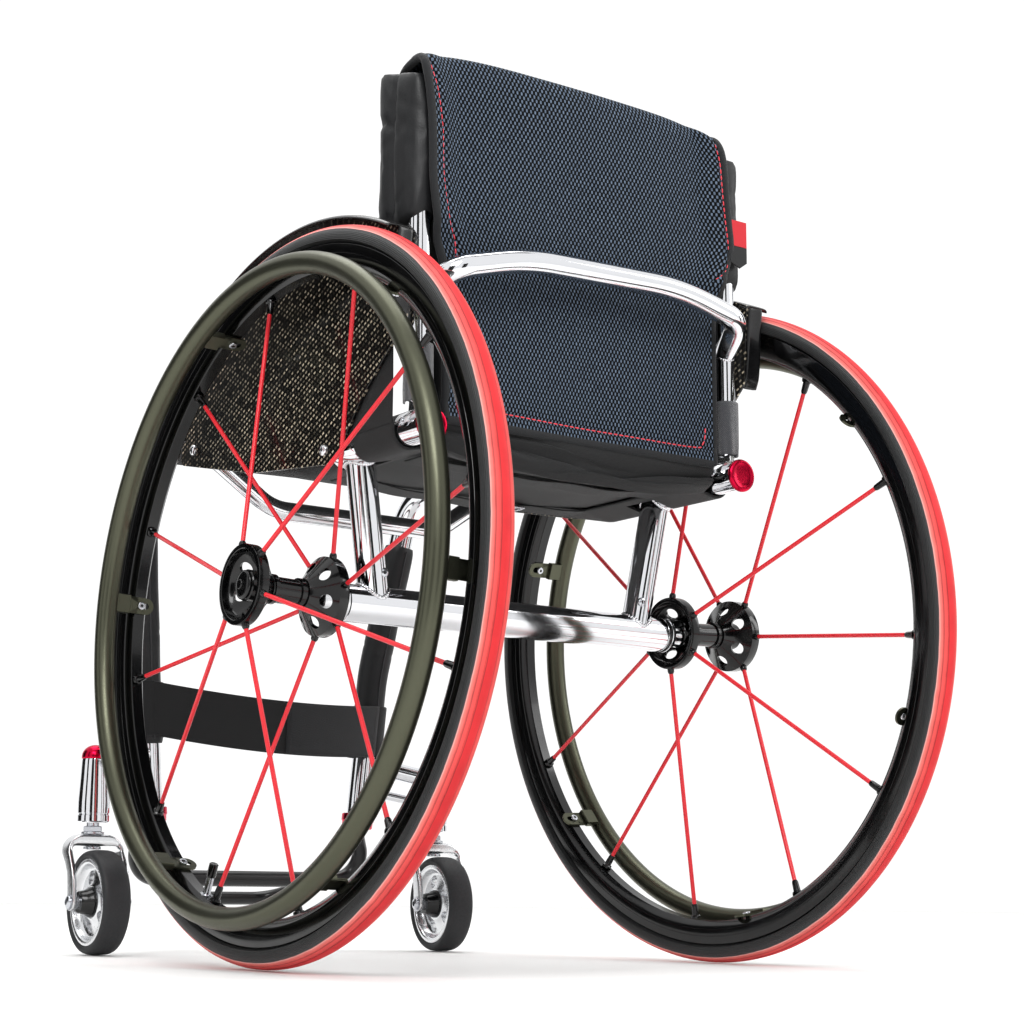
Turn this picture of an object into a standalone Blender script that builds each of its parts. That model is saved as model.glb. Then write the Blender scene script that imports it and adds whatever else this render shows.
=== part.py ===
"""Rigid-frame active wheelchair, modelled as separate pieces at real size.

X points to the user's right, Y forward, Z up, all in metres.
While the pieces are built, Y = 0 lies on the rear axle and Z = 0 on the floor;
the whole chair hangs from one empty that centres its footprint on the origin.
"""
import math

import bmesh
import bpy
from mathutils import Matrix, Quaternion, Vector

# Fits
GAP = 0.0003                 # clearance between touching pieces
PIN_PLAY = 0.00035           # radial play of a pin in its bore

# Rear wheels
WHEEL_RADIUS = 0.300         # over the tyre
TYRE_RADIUS = 0.0125         # tyre section
CAMBER = math.radians(2.4)
HALF_TRACK = 0.2253          # chair centre to wheel centre
WHEEL_SEGMENTS = 32
RIM_INNER = 0.262
RIM_SHOULDER = 0.0070        # radial height of the slanting rim sides
RIM_FLANGE = 0.2832          # top of the rim flanges
RIM_WELL = 0.0087            # from the flange tops down to where the tyre beads sit
RIM_HALF_WIDTH = 0.0098
RIM_WALL = 0.0017
LEFT_CLOCK = math.radians(18.7)    # first spoke above forward, left wheel
RIGHT_CLOCK = math.radians(5.6)    # first spoke above forward, right wheel

# Hubs and spokes
FLANGE_RADIUS = 0.033
FLANGE_FACE = 0.042          # wheel centre plane to flange face
FLANGE_BAND = 0.0085         # width of the band that holds the spokes
FLANGE_LIP = 0.0035
BARREL_RADIUS = 0.0118
BARREL_HALF = 0.0165
BOSS_RADIUS = 0.0128
BOSS_OUTER = 0.0365
BOSS_INNER = 0.0320
WEB_THICKNESS = 0.0040
HUB_SEGMENTS = 16
LIGHTENING_HOLES = 6
LIGHTENING_RADIUS = 0.0058
SPOKES_PER_FLANGE = 6
SPOKE_RADIUS = 0.0019
SPOKE_SEAT = 0.0012          # how far a spoke stands inside its band

# Handrims
HANDRIM_RADIUS = 0.262
HANDRIM_TUBE = 0.0092
HANDRIM_OFFSET = 0.0322      # wheel centre plane to handrim centre
TAB_COUNT = 6
TAB_WIDTH = 0.015
TAB_THICKNESS = 0.0020
TAB_REACH = 0.0125           # past the wheel centre plane
TAB_SLOT_WIDTH = 0.0056
TAB_SLOT_LENGTH = 0.0140
TAB_BLOCK_WIDTH = 0.0170
TAB_BLOCK_THICKNESS = 0.0058
TAB_BLOCK_START = 0.0122

# Quick-release axles
PIN_RADIUS = 0.00635
PIN_LENGTH_INSIDE = 0.092    # from the wheel centre plane inwards
PIN_HEAD_RADIUS = 0.0098
PIN_HEAD_THICKNESS = 0.0030
BUTTON_RADIUS = 0.0042
BUTTON_TRAVEL = 0.0040
BUTTON_PROUD = 0.0055
BUTTON_DEPTH = 0.0070

# Axle tube and camber inserts
AXLE_TUBE_RADIUS = 0.0157
AXLE_TUBE_WALL = 0.0030
AXLE_TUBE_Z = 0.2955
AXLE_TUBE_SHORT = 0.0543     # from a wheel's centre back to the end of the axle tube
INSERT_COLLAR = 0.0085
INSERT_NOSE_RADIUS = 0.0098
INSERT_DEPTH = 0.052

# Side tubes: seat rail and front tube in one bent piece
TUBE_RADIUS = 0.0127
RAIL_X = 0.165
RAIL_REAR_Y = -0.118
RAIL_REAR_Z = 0.4240
RAIL_KNEE_Y = 0.060          # where the rail starts to rise
RAIL_RISE = math.tan(math.radians(12.6))
FRONT_TOP_Y = 0.3965         # where the rail line meets the front tube line
FRONT_BEND = 0.048
FRONT_WAIST_Z = 0.290        # the front tubes draw in down to here, then less
FRONT_WAIST_X = 0.1365
FRONT_WAIST_Y = 0.4275
FRONT_END_Z = 0.1345
FRONT_END_X = 0.1225
FRONT_END_Y = 0.4312
TUBE_SIDES = 12
CAP_RADIUS = 0.0145
CAP_THICKNESS = 0.0045
CAP_SPIGOT = 0.0100
CAP_SPIGOT_RADIUS = 0.0100

# Struts and seat cross tube
STRUT_RADIUS = 0.0127
STRUT_TOP_X = 0.1625
STRUT_INSET = 0.0305         # from the end of the axle tube to a strut's foot
STRUT_TOP_Y = -0.010
STRUT_BOTTOM_Y = -0.002
SADDLE_WALL = 0.0024
SADDLE_LENGTH = 0.036
CROSS_Y = 0.250
CROSS_DROP = 0.047           # below the seat rails
CROSS_FLAT = 0.066           # half length of its level stretch
CROSS_RADIUS = 0.0092

# Castors
CASTOR_X = 0.1985
CASTOR_Y = 0.400
CASTOR_TRAIL = 0.020
LEFT_HEADING = math.radians(-2.5)    # how far the left castor is swivelled
RIGHT_HEADING = math.radians(-7.0)   # how far the right castor is swivelled
CASTOR_RADIUS = 0.0490
CASTOR_HALF_WIDTH = 0.0135
CASTOR_TYRE_DEPTH = 0.0080
CASTOR_SEGMENTS = 16
CASTOR_HUB_HALF = 0.0205
CASTOR_HUB_RADIUS = 0.0145
CASTOR_WINDOW = 0.0066       # radius of the openings between hub and rim
CASTOR_BOLT_RADIUS = 0.0040
HOUSING_RADIUS = 0.0152
HOUSING_TOP_RADIUS = 0.0130
HOUSING_BOTTOM_Z = 0.1240
HOUSING_TOP_Z = 0.1850
DOME_HEIGHT = 0.0135
DOME_EDGE = 0.0020
STEM_RADIUS = 0.0060
STEM_TOP_Z = 0.1750
STEM_NUT_RADIUS = 0.0110
STEM_NUT_HEIGHT = 0.0082
FORK_HALF_WIDTH = 0.0292
FORK_LEG_THICKNESS = 0.0050
FORK_LEG_WIDTH = 0.0160
FORK_CROWN_WIDTH = 0.0215
FORK_CROWN_TOP_Z = 0.1130
FORK_CROWN_BOTTOM_Z = 0.1015
FORK_SHOULDER = 0.0180
FORK_INNER_BEND = 0.0050
ARM_RADIUS = 0.0095
ARM_INNER_Z = 0.1960
ARM_OUTER_Z = 0.1790
BRACE_RADIUS = 0.0050
BRACE_INNER_Z = 0.1680
BRACE_OUTER_Z = 0.1520

# Clamps and footrest
CLAMP_RADIUS = 0.0172
CLAMP_HEIGHT = 0.0150
CLAMP_EAR = 0.0085
LEG_RADIUS = 0.0080
LEG_INSERTION = 0.0350       # how far a leg of the hoop goes up into its front tube
FOOT_BAR_Z = 0.0730
FOOT_BAR_Y = 0.4490
LEG_CRANK = 0.0130           # below the front tube's end, where a leg turns outwards
FOOT_BEND = 0.027
FOOT_SPREAD = 0.1330         # half width of the hoop at its widest
FOOT_SHOULDER_Y = 0.4390
FOOT_SHOULDER_Z = 0.1030
FRONT_BAR_Y = 0.5080
FRONT_BAR_Z = 0.0530
FRONT_BAR_RADIUS = 0.0068
FRONT_BAR_HALF = 0.0720
FRONT_BAR_BEND = 0.034

# Backrest frame
CANE_RADIUS = 0.0095
CANE_Y = -0.1000
CANE_TOP_Z = 0.7150
HINGE_Z = 0.4525
HINGE_PIN_RADIUS = 0.0030
LUG_THICKNESS = 0.0052
LUG_RADIUS = 0.0085
BRACKET_FRONT_Y = -0.0880
BRACKET_REAR_Y = -0.1095
BAR_RADIUS = 0.0097
BAR_JOINT_Z = 0.5350
BAR_CORNER_X = 0.1515
BAR_END_Z = 0.5565
BAR_MIDDLE_Z = 0.5765
BAR_Y = -0.1340
BAR_BEND = 0.020

# Soft parts
SLING_THICKNESS = 0.0024
SLING_REAR_Y = -0.0870
SLING_FRONT_Y = 0.3300
SLING_SAG = 0.0120
PAD_HALF_WIDTH = 0.1520
PAD_REAR_Y = -0.1050
PAD_BOTTOM_Z = 0.4360
PAD_TOP_Z = 0.7325
ROLL_HALF_WIDTH = 0.0146     # rolls are rounded pads round the canes
ROLL_HALF_DEPTH = 0.0325
ROLL_CORNER = 0.0080
ROLL_FORWARD = 0.0197        # the rolls sit this far forward of the canes
ROLL_BOTTOM_Z = 0.5890
COVER_THICKNESS = 0.0060
COVER_BOTTOM_Z = 0.4330
COVER_STEP_Z = 0.5830        # the cover is wider above this height
COVER_UPPER_HALF = 0.1580
COVER_TOP_HALF = 0.1660      # its corners reach out over the rolls
COVER_LOWER_HALF = 0.1450
COVER_FLAP_Z = 0.6500
COVER_CROWN = 0.0080         # its top edge is higher in the middle
COVER_FLARE = 0.0084         # its side edges stand back round the rolls
SLEEVE_WALL = 0.0013
SLEEVE_TOP_Z = 0.4920
SLEEVE_BOTTOM_Z = 0.4450
WRAP_RADIUS = 0.0163
WRAP_TOP_Z = 0.4300
WRAP_BOTTOM_Z = 0.2050
STRAP_HEIGHT = 0.0520
STRAP_THICKNESS = 0.0024
STRAP_LEFT_Z = 0.2390
STRAP_RIGHT_Z = 0.2295
STRAP_SAG = 0.0180           # backwards in the middle
STRAP_DROP = 0.0080          # downwards in the middle

# Side guards
GUARD_THICKNESS = 0.0024
GUARD_CLEARANCE = 0.0006
GUARD_ARC = 0.3172           # radius of its top edge
GUARD_ARC_CENTRE = (0.028, 0.300)
GUARD_ARC_REAR = math.radians(116.8)
GUARD_ARC_FRONT = math.radians(62.0)
GUARD_FRONT_EDGE = ((0.245, 0.5220), (0.2680, 0.4680), (0.2700, 0.4545))
GUARD_LOWER_EDGE = ((0.1335, 0.4244), (-0.0025, 0.4095), (-0.0460, 0.4580))
GUARD_REAR_EDGE = ((-0.0930, 0.4960), (-0.1090, 0.5120), (-0.1120, 0.5600))
FENDER_WIDTH = 0.0240
FENDER_THICKNESS = 0.0024

RIM_BED = RIM_FLANGE - RIM_WELL
AXLE_TUBE_HALF = HALF_TRACK - AXLE_TUBE_SHORT
HUB_Z = (WHEEL_RADIUS - TYRE_RADIUS) * math.cos(CAMBER) + TYRE_RADIUS
FRONT_MOST = FRONT_BAR_Y + FRONT_BAR_RADIUS
CENTRE_Y = (FRONT_MOST - WHEEL_RADIUS) / 2

SIDES = {"left": -1, "right": 1}
COLOURS = {
    "tyre": ((0.72, 0.05, 0.05), 0.75, 0.0),
    "black_gloss": ((0.015, 0.015, 0.017), 0.18, 0.0),
    "titanium": ((0.16, 0.15, 0.11), 0.35, 0.9),
    "spoke_red": ((0.70, 0.04, 0.05), 0.4, 0.0),
    "polished": ((0.80, 0.80, 0.82), 0.12, 1.0),
    "red_anodised": ((0.62, 0.02, 0.07), 0.25, 0.7),
    "black_metal": ((0.02, 0.02, 0.02), 0.35, 0.3),
    "rubber": ((0.03, 0.03, 0.03), 0.7, 0.0),
    "nylon": ((0.02, 0.02, 0.02), 0.85, 0.0),
    "vinyl": ((0.03, 0.03, 0.03), 0.45, 0.0),
    "mesh_fabric": ((0.05, 0.065, 0.085), 0.9, 0.0),
    "carbon": ((0.04, 0.035, 0.03), 0.3, 0.1),
}


def clear_scene():
    for item in list(bpy.data.objects):
        bpy.data.objects.remove(item)


def collection(name):
    made = bpy.data.collections.new(name)
    bpy.context.scene.collection.children.link(made)
    return made


def material(name):
    found = bpy.data.materials.get(name)
    if found:
        return found
    colour, roughness, metallic = COLOURS[name]
    made = bpy.data.materials.new(name)
    made.use_nodes = True
    shader = made.node_tree.nodes["Principled BSDF"]
    shader.inputs["Base Color"].default_value = (*colour, 1.0)
    shader.inputs["Roughness"].default_value = roughness
    shader.inputs["Metallic"].default_value = metallic
    return made


class Workshop:
    """Makes objects and hangs them from their parents."""

    def __init__(self):
        clear_scene()
        self.parts = collection("rigid_wheelchair")
        self.cutters = collection("cutters")
        self.parts.objects.link(bpy.data.objects.new("chair", None))
        self.chair = self.parts.objects["chair"]
        self.chair.location.y = -CENTRE_Y

    def empty(self, name, matrix, parent=None):
        made = bpy.data.objects.new(name, None)
        self.parts.objects.link(made)
        made.parent = parent or self.chair
        made.matrix_basis = matrix
        return made

    def place(self, name, data, finish, parent=None, matrix=None):
        made = bpy.data.objects.new(name, data)
        self.parts.objects.link(made)
        made.parent = parent or self.chair
        made.matrix_basis = matrix or Matrix()
        if finish:
            data.materials.append(material(finish))
        return made

    def from_bmesh(self, name, bm, finish, parent=None, matrix=None):
        data = bpy.data.meshes.new(name)
        bmesh.ops.recalc_face_normals(bm, faces=bm.faces)
        bm.to_mesh(data)
        bm.free()
        data.shade_smooth()
        data.set_sharp_from_angle(angle=math.radians(40))
        return self.place(name, data, finish, parent, matrix)

    def turned(self, name, profile, steps, finish, parent=None, matrix=None):
        """Profile of (radius, height) pairs turned about local Z; its outer side runs downwards."""
        data = bpy.data.meshes.new(name)
        points = [(radius, 0.0, height) for radius, height in profile]
        count = len(points)
        on_axis = profile[0][0] == 0 and profile[-1][0] == 0
        edges = [(i, (i + 1) % count) for i in range(count - 1 if on_axis else count)]
        data.from_pydata(points, edges, [])
        made = self.place(name, data, finish, parent, matrix)
        screw = made.modifiers.new("turn", "SCREW")
        screw.steps = steps
        screw.render_steps = steps
        screw.use_merge_vertices = True
        screw.merge_threshold = 0.00001
        screw.use_smooth_shade = True
        return made

    def tube(self, name, points, radius, finish, parent=None, matrix=None, sides=TUBE_SIDES):
        data = bpy.data.curves.new(name, "CURVE")
        data.dimensions = "3D"
        data.bevel_depth = radius
        data.bevel_resolution = (sides - 4) // 2
        data.use_fill_caps = True
        spline = data.splines.new("POLY")
        spline.points.add(len(points) - 1)
        for target, point in zip(spline.points, points):
            target.co = (*point, 1.0)
        return self.place(name, data, finish, parent, matrix)

    def loft(self, name, rings, finish, parent=None, matrix=None, closed=False):
        """Skin between rings of equally many points, capped at both ends unless closed."""
        bm = bmesh.new()
        rows = [[bm.verts.new(point) for point in ring] for ring in rings]
        pairs = list(zip(rows, rows[1:])) + ([(rows[-1], rows[0])] if closed else [])
        for near, far in pairs:
            for i in range(len(near)):
                j = (i + 1) % len(near)
                bm.faces.new((near[i], near[j], far[j], far[i]))
        if not closed:
            bm.faces.new(list(reversed(rows[0])))
            bm.faces.new(rows[-1])
        return self.from_bmesh(name, bm, finish, parent, matrix)

    def plate(self, name, outline, low, high, finish, parent=None, matrix=None):
        """Flat outline in local XY, filled from height low to height high."""
        rings = [[(x, y, height) for x, y in outline] for height in (low, high)]
        return self.loft(name, rings, finish, parent, matrix)

    def as_mesh(self, item):
        """Turn a curve, or a mesh with modifiers, into a plain welded mesh object."""
        evaluated = item.evaluated_get(bpy.context.evaluated_depsgraph_get())
        data = bpy.data.meshes.new_from_object(evaluated)
        bm = bmesh.new()
        bm.from_mesh(data)
        bmesh.ops.remove_doubles(bm, verts=bm.verts, dist=0.00001)
        bm.to_mesh(data)
        bm.free()
        data.shade_smooth()
        data.set_sharp_from_angle(angle=math.radians(40))
        name, parent, matrix = item.name, item.parent, item.matrix_basis.copy()
        bpy.data.objects.remove(item)
        return self.place(name, data, None, parent, matrix)

    def tool(self, item):
        """Move a piece to the cutters, where it only shapes another piece."""
        if item.type == "CURVE":
            item = self.as_mesh(item)
        self.parts.objects.unlink(item)
        self.cutters.objects.link(item)
        item.hide_render = True
        item.display_type = "WIRE"
        return item

    def shape(self, target, item, operation):
        if target.type == "CURVE":
            target = self.as_mesh(target)
        change = target.modifiers.new(operation.lower(), "BOOLEAN")
        change.operation = operation
        change.object = self.tool(item)
        return target

    def cut(self, target, item):
        return self.shape(target, item, "DIFFERENCE")

    def join(self, target, item):
        return self.shape(target, item, "UNION")

    def keep(self, target, item):
        return self.shape(target, item, "INTERSECT")


def bent(corners, bends):
    """Polyline through corners; each inner one has a bend of its own radius and number of chords."""
    corners = [Vector(corner) for corner in corners]
    path = [corners[0]]
    for before, corner, after, (radius, steps) in zip(corners, corners[1:], corners[2:], bends):
        back = (before - corner).normalized()
        ahead = (after - corner).normalized()
        half = back.angle(ahead) / 2
        reach = radius / math.tan(half)
        centre = corner + (back + ahead).normalized() * (radius / math.sin(half))
        start = corner + back * reach - centre
        finish = corner + ahead * reach - centre
        turn = start.rotation_difference(finish)
        for step in range(steps + 1):
            path.append(centre + Quaternion().slerp(turn, step / steps) @ start)
    path.append(corners[-1])
    return path


def circle(radius, count, phase=0.0):
    turn = 2 * math.pi / count
    angles = [phase + i * turn for i in range(count)]
    return [(radius * math.cos(angle), radius * math.sin(angle)) for angle in angles]


def frame_on(origin, direction, up=Vector((0, 0, 1))):
    """Matrix whose local Z runs along direction and whose local Y leans towards up."""
    z = Vector(direction).normalized()
    x = up.cross(z)
    if x.length < 1e-6:
        x = Vector((1, 0, 0))
    x.normalize()
    y = z.cross(x)
    rows = Matrix((x, y, z)).transposed().to_4x4()
    return Matrix.Translation(origin) @ rows


def rod(shop, name, start, end, radius, finish, parent=None, sides=12, grow=0.0):
    """Round bar between two points, grown by the same amount past both ends."""
    start, end = Vector(start), Vector(end)
    along = (end - start).normalized()
    return shop.tube(name, [start - along * grow, end + along * grow], radius, finish, parent, sides=sides)


def box(shop, name, low, high, finish, parent=None, matrix=None):
    bm = bmesh.new()
    bmesh.ops.create_cube(bm, size=1.0)
    low, high = Vector(low), Vector(high)
    bmesh.ops.scale(bm, vec=high - low, verts=bm.verts)
    bmesh.ops.translate(bm, vec=(low + high) / 2, verts=bm.verts)
    return shop.from_bmesh(name, bm, finish, parent, matrix)


def rail_z(y):
    """Height of the seat rail's centre line."""
    return RAIL_REAR_Z + max(0.0, y - RAIL_KNEE_Y) * RAIL_RISE


def front_point(z):
    """Point at a given height on the centre line of the right front tube's two straight stretches."""
    top = Vector((RAIL_X, FRONT_TOP_Y, rail_z(FRONT_TOP_Y)))
    waist = Vector((FRONT_WAIST_X, FRONT_WAIST_Y, FRONT_WAIST_Z))
    end = Vector((FRONT_END_X, FRONT_END_Y, FRONT_END_Z))
    low, high = (waist, top) if z > FRONT_WAIST_Z else (end, waist)
    return low.lerp(high, (z - low.z) / (high.z - low.z))


def mirrored(points, side):
    return [Vector((side * point[0], point[1], point[2])) for point in points]


def side_tube(shop, label, side):
    """Seat rail, front bend and front tube, bored at both ends."""
    corners = [
        (RAIL_X, RAIL_REAR_Y, RAIL_REAR_Z),
        (RAIL_X, RAIL_KNEE_Y, RAIL_REAR_Z),
        (RAIL_X, FRONT_TOP_Y, rail_z(FRONT_TOP_Y)),
        front_point(FRONT_WAIST_Z),
        (FRONT_END_X, FRONT_END_Y, FRONT_END_Z + GAP),
    ]
    path = bent(corners, ((0.20, 3), (FRONT_BEND, 6), (0.20, 2)))
    made = shop.tube(label + "_side_tube", mirrored(path, side), TUBE_RADIUS, "polished")
    rear = Vector((side * RAIL_X, RAIL_REAR_Y, RAIL_REAR_Z))
    mouth, floor = rear - Vector((0, 0.005, 0)), rear + Vector((0, CAP_SPIGOT + GAP, 0))
    bore = rod(shop, label + "_rail_bore", mouth, floor, CAP_SPIGOT_RADIUS + 2 * GAP, None, sides=16)
    made = shop.cut(made, bore)
    spot = front_axis(side)
    below, above = spot @ Vector((0, 0, -0.005)), spot @ Vector((0, 0, LEG_INSERTION + GAP))
    return shop.cut(made, rod(shop, label + "_leg_bore", below, above, LEG_RADIUS + 2 * GAP, None))


def rail_cap(shop, label, side):
    """Domed plug in the rear end of the seat rail."""
    face = -GAP
    profile = [
        (0.0, CAP_SPIGOT), (CAP_SPIGOT_RADIUS, CAP_SPIGOT), (CAP_SPIGOT_RADIUS, face), (CAP_RADIUS, face),
        (CAP_RADIUS, -CAP_THICKNESS * 0.30), (CAP_RADIUS * 0.88, -CAP_THICKNESS * 0.70),
        (CAP_RADIUS * 0.55, -CAP_THICKNESS * 0.93), (0.0, -CAP_THICKNESS),
    ]
    spot = frame_on((side * RAIL_X, RAIL_REAR_Y, RAIL_REAR_Z), (0, 1, 0))
    return shop.turned(label + "_rail_cap", profile, 16, "red_anodised", matrix=spot)


def axle_tube(shop):
    inner = AXLE_TUBE_RADIUS - AXLE_TUBE_WALL
    profile = [(AXLE_TUBE_RADIUS, AXLE_TUBE_HALF), (AXLE_TUBE_RADIUS, -AXLE_TUBE_HALF),
               (inner, -AXLE_TUBE_HALF), (inner, AXLE_TUBE_HALF)]
    return shop.turned("axle_tube", profile, 20, "polished", matrix=frame_on((0, 0, AXLE_TUBE_Z), (1, 0, 0)))


def wheel_matrix(side):
    """Local Z points out along the cambered axle and local X points forward."""
    outward = Vector((side * math.cos(CAMBER), 0, math.sin(CAMBER)))
    forward = Vector((0, 1, 0))
    rows = Matrix((forward, outward.cross(forward), outward)).transposed().to_4x4()
    return Matrix.Translation((side * HALF_TRACK, 0, HUB_Z)) @ rows


def camber_insert(shop, label, side):
    """Sleeve in the axle tube whose tilted bore gives the wheel its camber."""
    outer = AXLE_TUBE_RADIUS - AXLE_TUBE_WALL - GAP
    wheel = wheel_matrix(side)
    nose_end = (wheel @ Vector((0, 0, -BOSS_INNER - 2 * GAP))).x * side
    collar = AXLE_TUBE_HALF + GAP
    profile = [
        (INSERT_NOSE_RADIUS, nose_end), (INSERT_NOSE_RADIUS, collar + INSERT_COLLAR + 0.004),
        (AXLE_TUBE_RADIUS, collar + INSERT_COLLAR), (AXLE_TUBE_RADIUS, collar), (outer, collar),
        (outer, AXLE_TUBE_HALF - INSERT_DEPTH), (0.0, AXLE_TUBE_HALF - INSERT_DEPTH),
    ]
    spot = frame_on((0, 0, AXLE_TUBE_Z), (side, 0, 0))
    made = shop.turned(label + "_camber_insert", [(0.0, nose_end)] + profile, 16, "polished", matrix=spot)
    bore = rod(shop, label + "_camber_bore", wheel @ Vector((0, 0, -BOSS_INNER)),
               wheel @ Vector((0, 0, -PIN_LENGTH_INSIDE - 0.02)), PIN_RADIUS + PIN_PLAY, None, grow=0.01)
    return shop.cut(made, bore)


def strut(shop, label, side):
    """Tube from the axle tube up to a saddle under the seat rail."""
    top = Vector((side * STRUT_TOP_X, STRUT_TOP_Y, RAIL_REAR_Z - TUBE_RADIUS / 2))
    foot_x = side * (AXLE_TUBE_HALF - STRUT_INSET)
    bottom = Vector((foot_x, STRUT_BOTTOM_Y, AXLE_TUBE_Z))
    made = rod(shop, label + "_strut", bottom, top, STRUT_RADIUS, "polished", sides=16)
    half = SADDLE_LENGTH / 2
    outer = TUBE_RADIUS + GAP + SADDLE_WALL
    arc = [math.radians(angle) for angle in range(-160, -19, 20)]
    ring = [(outer * math.cos(a), outer * math.sin(a)) for a in arc]
    ring += [(TUBE_RADIUS * 0.6 * math.cos(a), TUBE_RADIUS * 0.6 * math.sin(a)) for a in reversed(arc)]
    centre = Vector((side * RAIL_X, STRUT_TOP_Y, RAIL_REAR_Z))
    rings = [[centre + Vector((x, y, z)) for x, z in ring] for y in (-half, half)]
    made = shop.join(made, shop.loft(label + "_saddle", rings, None))
    for cutter, height, radius, along in (("rail", RAIL_REAR_Z, TUBE_RADIUS, (0, 1, 0)),
                                          ("axle", AXLE_TUBE_Z, AXLE_TUBE_RADIUS, (1, 0, 0))):
        x = side * RAIL_X if cutter == "rail" else foot_x
        y = STRUT_TOP_Y if cutter == "rail" else 0.0
        middle = Vector((x, y, height))
        reach = Vector(along) * 0.06
        made = shop.cut(made, rod(shop, f"{label}_{cutter}_notch", middle - reach, middle + reach,
                                  radius + 2 * GAP, None, sides=16))
    return made


def cross_tube(shop):
    """Bent tube that ties the seat rails together below the seat."""
    height = rail_z(CROSS_Y)
    low = height - CROSS_DROP
    half = [(RAIL_X, CROSS_Y, height), (CROSS_FLAT + 0.030, CROSS_Y, low)]
    corners = mirrored(half, -1) + list(reversed(half))
    path = bent(corners, ((0.055, 4), (0.055, 4)))
    made = shop.tube("seat_cross_tube", path, CROSS_RADIUS, "polished", sides=10)
    slope = Vector((0, 1, RAIL_RISE)).normalized() * 0.05
    for label, side in SIDES.items():
        middle = Vector((side * RAIL_X, CROSS_Y, height))
        made = shop.cut(made, rod(shop, label + "_cross_notch", middle - slope, middle + slope,
                                  TUBE_RADIUS + 2 * GAP, None, sides=12))
    return made


def tyre_profile():
    """Clincher section: beads inside the rim flanges, round crown outside."""
    bead = RIM_HALF_WIDTH - RIM_WALL - GAP
    neck = RIM_FLANGE + GAP
    centre = WHEEL_RADIUS - TYRE_RADIUS
    crown = [math.radians(angle) for angle in (-10, 40, 90, 140, 190)]
    arc = [(centre + TYRE_RADIUS * math.sin(a), TYRE_RADIUS * math.cos(a)) for a in crown]
    bottom = RIM_BED + GAP
    return [(bottom, bead), (neck, bead)] + arc + [(neck, -bead), (bottom, -bead)]


def rim_profile():
    inner = RIM_HALF_WIDTH - RIM_WALL
    flank = RIM_INNER + RIM_SHOULDER
    nose = RIM_HALF_WIDTH * 0.55
    upper = [(RIM_INNER, nose), (flank, RIM_HALF_WIDTH), (RIM_FLANGE, RIM_HALF_WIDTH),
             (RIM_FLANGE, inner), (RIM_BED, inner)]
    return upper + [(radius, -height) for radius, height in reversed(upper)]


def hub_profile():
    """Two bells opening outwards on a slim barrel, bored for the axle pin."""
    web_foot = BARREL_HALF + WEB_THICKNESS * 1.3
    lip = FLANGE_RADIUS - FLANGE_LIP
    band = FLANGE_FACE - FLANGE_BAND
    bore = PIN_RADIUS + PIN_PLAY
    outer = [(FLANGE_RADIUS, FLANGE_FACE), (FLANGE_RADIUS, band), (BARREL_RADIUS, BARREL_HALF)]
    inner = [(BOSS_RADIUS, web_foot), (lip, band + WEB_THICKNESS - 0.002), (lip, FLANGE_FACE)]
    lower = [(radius, -height) for radius, height in reversed(outer)]
    lower += [(radius, -height) for radius, height in reversed(inner)]
    lower += [(BOSS_RADIUS, -BOSS_INNER), (bore, -BOSS_INNER)]
    return outer + lower + [(bore, BOSS_OUTER), (BOSS_RADIUS, BOSS_OUTER)] + inner


def bars(shop, name, ends, radius, sides, parent):
    """Several separate round bars in one tool object."""
    bm = bmesh.new()
    for start, end in ends:
        start, end = Vector(start), Vector(end)
        spot = frame_on((start + end) / 2, end - start)
        bmesh.ops.create_cone(bm, cap_ends=True, segments=sides, radius1=radius, radius2=radius,
                              depth=(end - start).length, matrix=spot)
    return shop.from_bmesh(name, bm, None, parent)


def rim_bore():
    """Radius that clears the inner faces of the faceted rim."""
    return RIM_INNER * math.cos(math.pi / WHEEL_SEGMENTS) - GAP


def spoke_ends():
    """Straight radial spokes, every other one to the other flange."""
    ends = []
    foot_height = FLANGE_FACE - FLANGE_BAND / 2
    for i in range(2 * SPOKES_PER_FLANGE):
        angle = math.pi * i / SPOKES_PER_FLANGE
        out = Vector((math.cos(angle), math.sin(angle), 0))
        foot = out * (FLANGE_RADIUS - SPOKE_SEAT)
        foot.z = foot_height if i % 2 == 0 else -foot_height
        ends.append((foot, out * (rim_bore() - SPOKE_RADIUS * 0.2)))
    return ends


def hub(shop, label, axis):
    """Hub with its spokes; the spokes end just inside the rim."""
    made = shop.turned(label + "_hub_and_spokes", hub_profile(), HUB_SEGMENTS, "black_gloss", axis)
    radius = (FLANGE_RADIUS - FLANGE_LIP + BOSS_RADIUS) / 2
    reach = Vector((0, 0, FLANGE_FACE + 0.005))
    holes = [Vector((x, y, 0)) for x, y in circle(radius, LIGHTENING_HOLES, math.pi / 2 / SPOKES_PER_FLANGE)]
    made = shop.cut(made, bars(shop, label + "_lightening", [(h - reach, h + reach) for h in holes],
                               LIGHTENING_RADIUS, 8, axis))
    return shop.join(made, bars(shop, label + "_spokes", spoke_ends(), SPOKE_RADIUS, 5, axis))


def tab_outline():
    """Slotted tab seen along the wheel's radius: x along the axle, y round the rim."""
    half = TAB_WIDTH / 2
    centre = -TAB_REACH + half
    turn = [math.radians(angle) for angle in (90, 135, 180, 225, 270)]
    end = [(centre + half * math.cos(a), half * math.sin(a)) for a in turn]
    return end + [(TAB_BLOCK_START + 0.002, -half), (TAB_BLOCK_START + 0.002, half)]


def block_outline():
    """Thicker root that joins a tab to the handrim tube."""
    half = TAB_BLOCK_WIDTH / 2
    near, far = TAB_BLOCK_START, HANDRIM_OFFSET
    return [(near, -half), (far, -half), (far, half), (near, half)]


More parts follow.
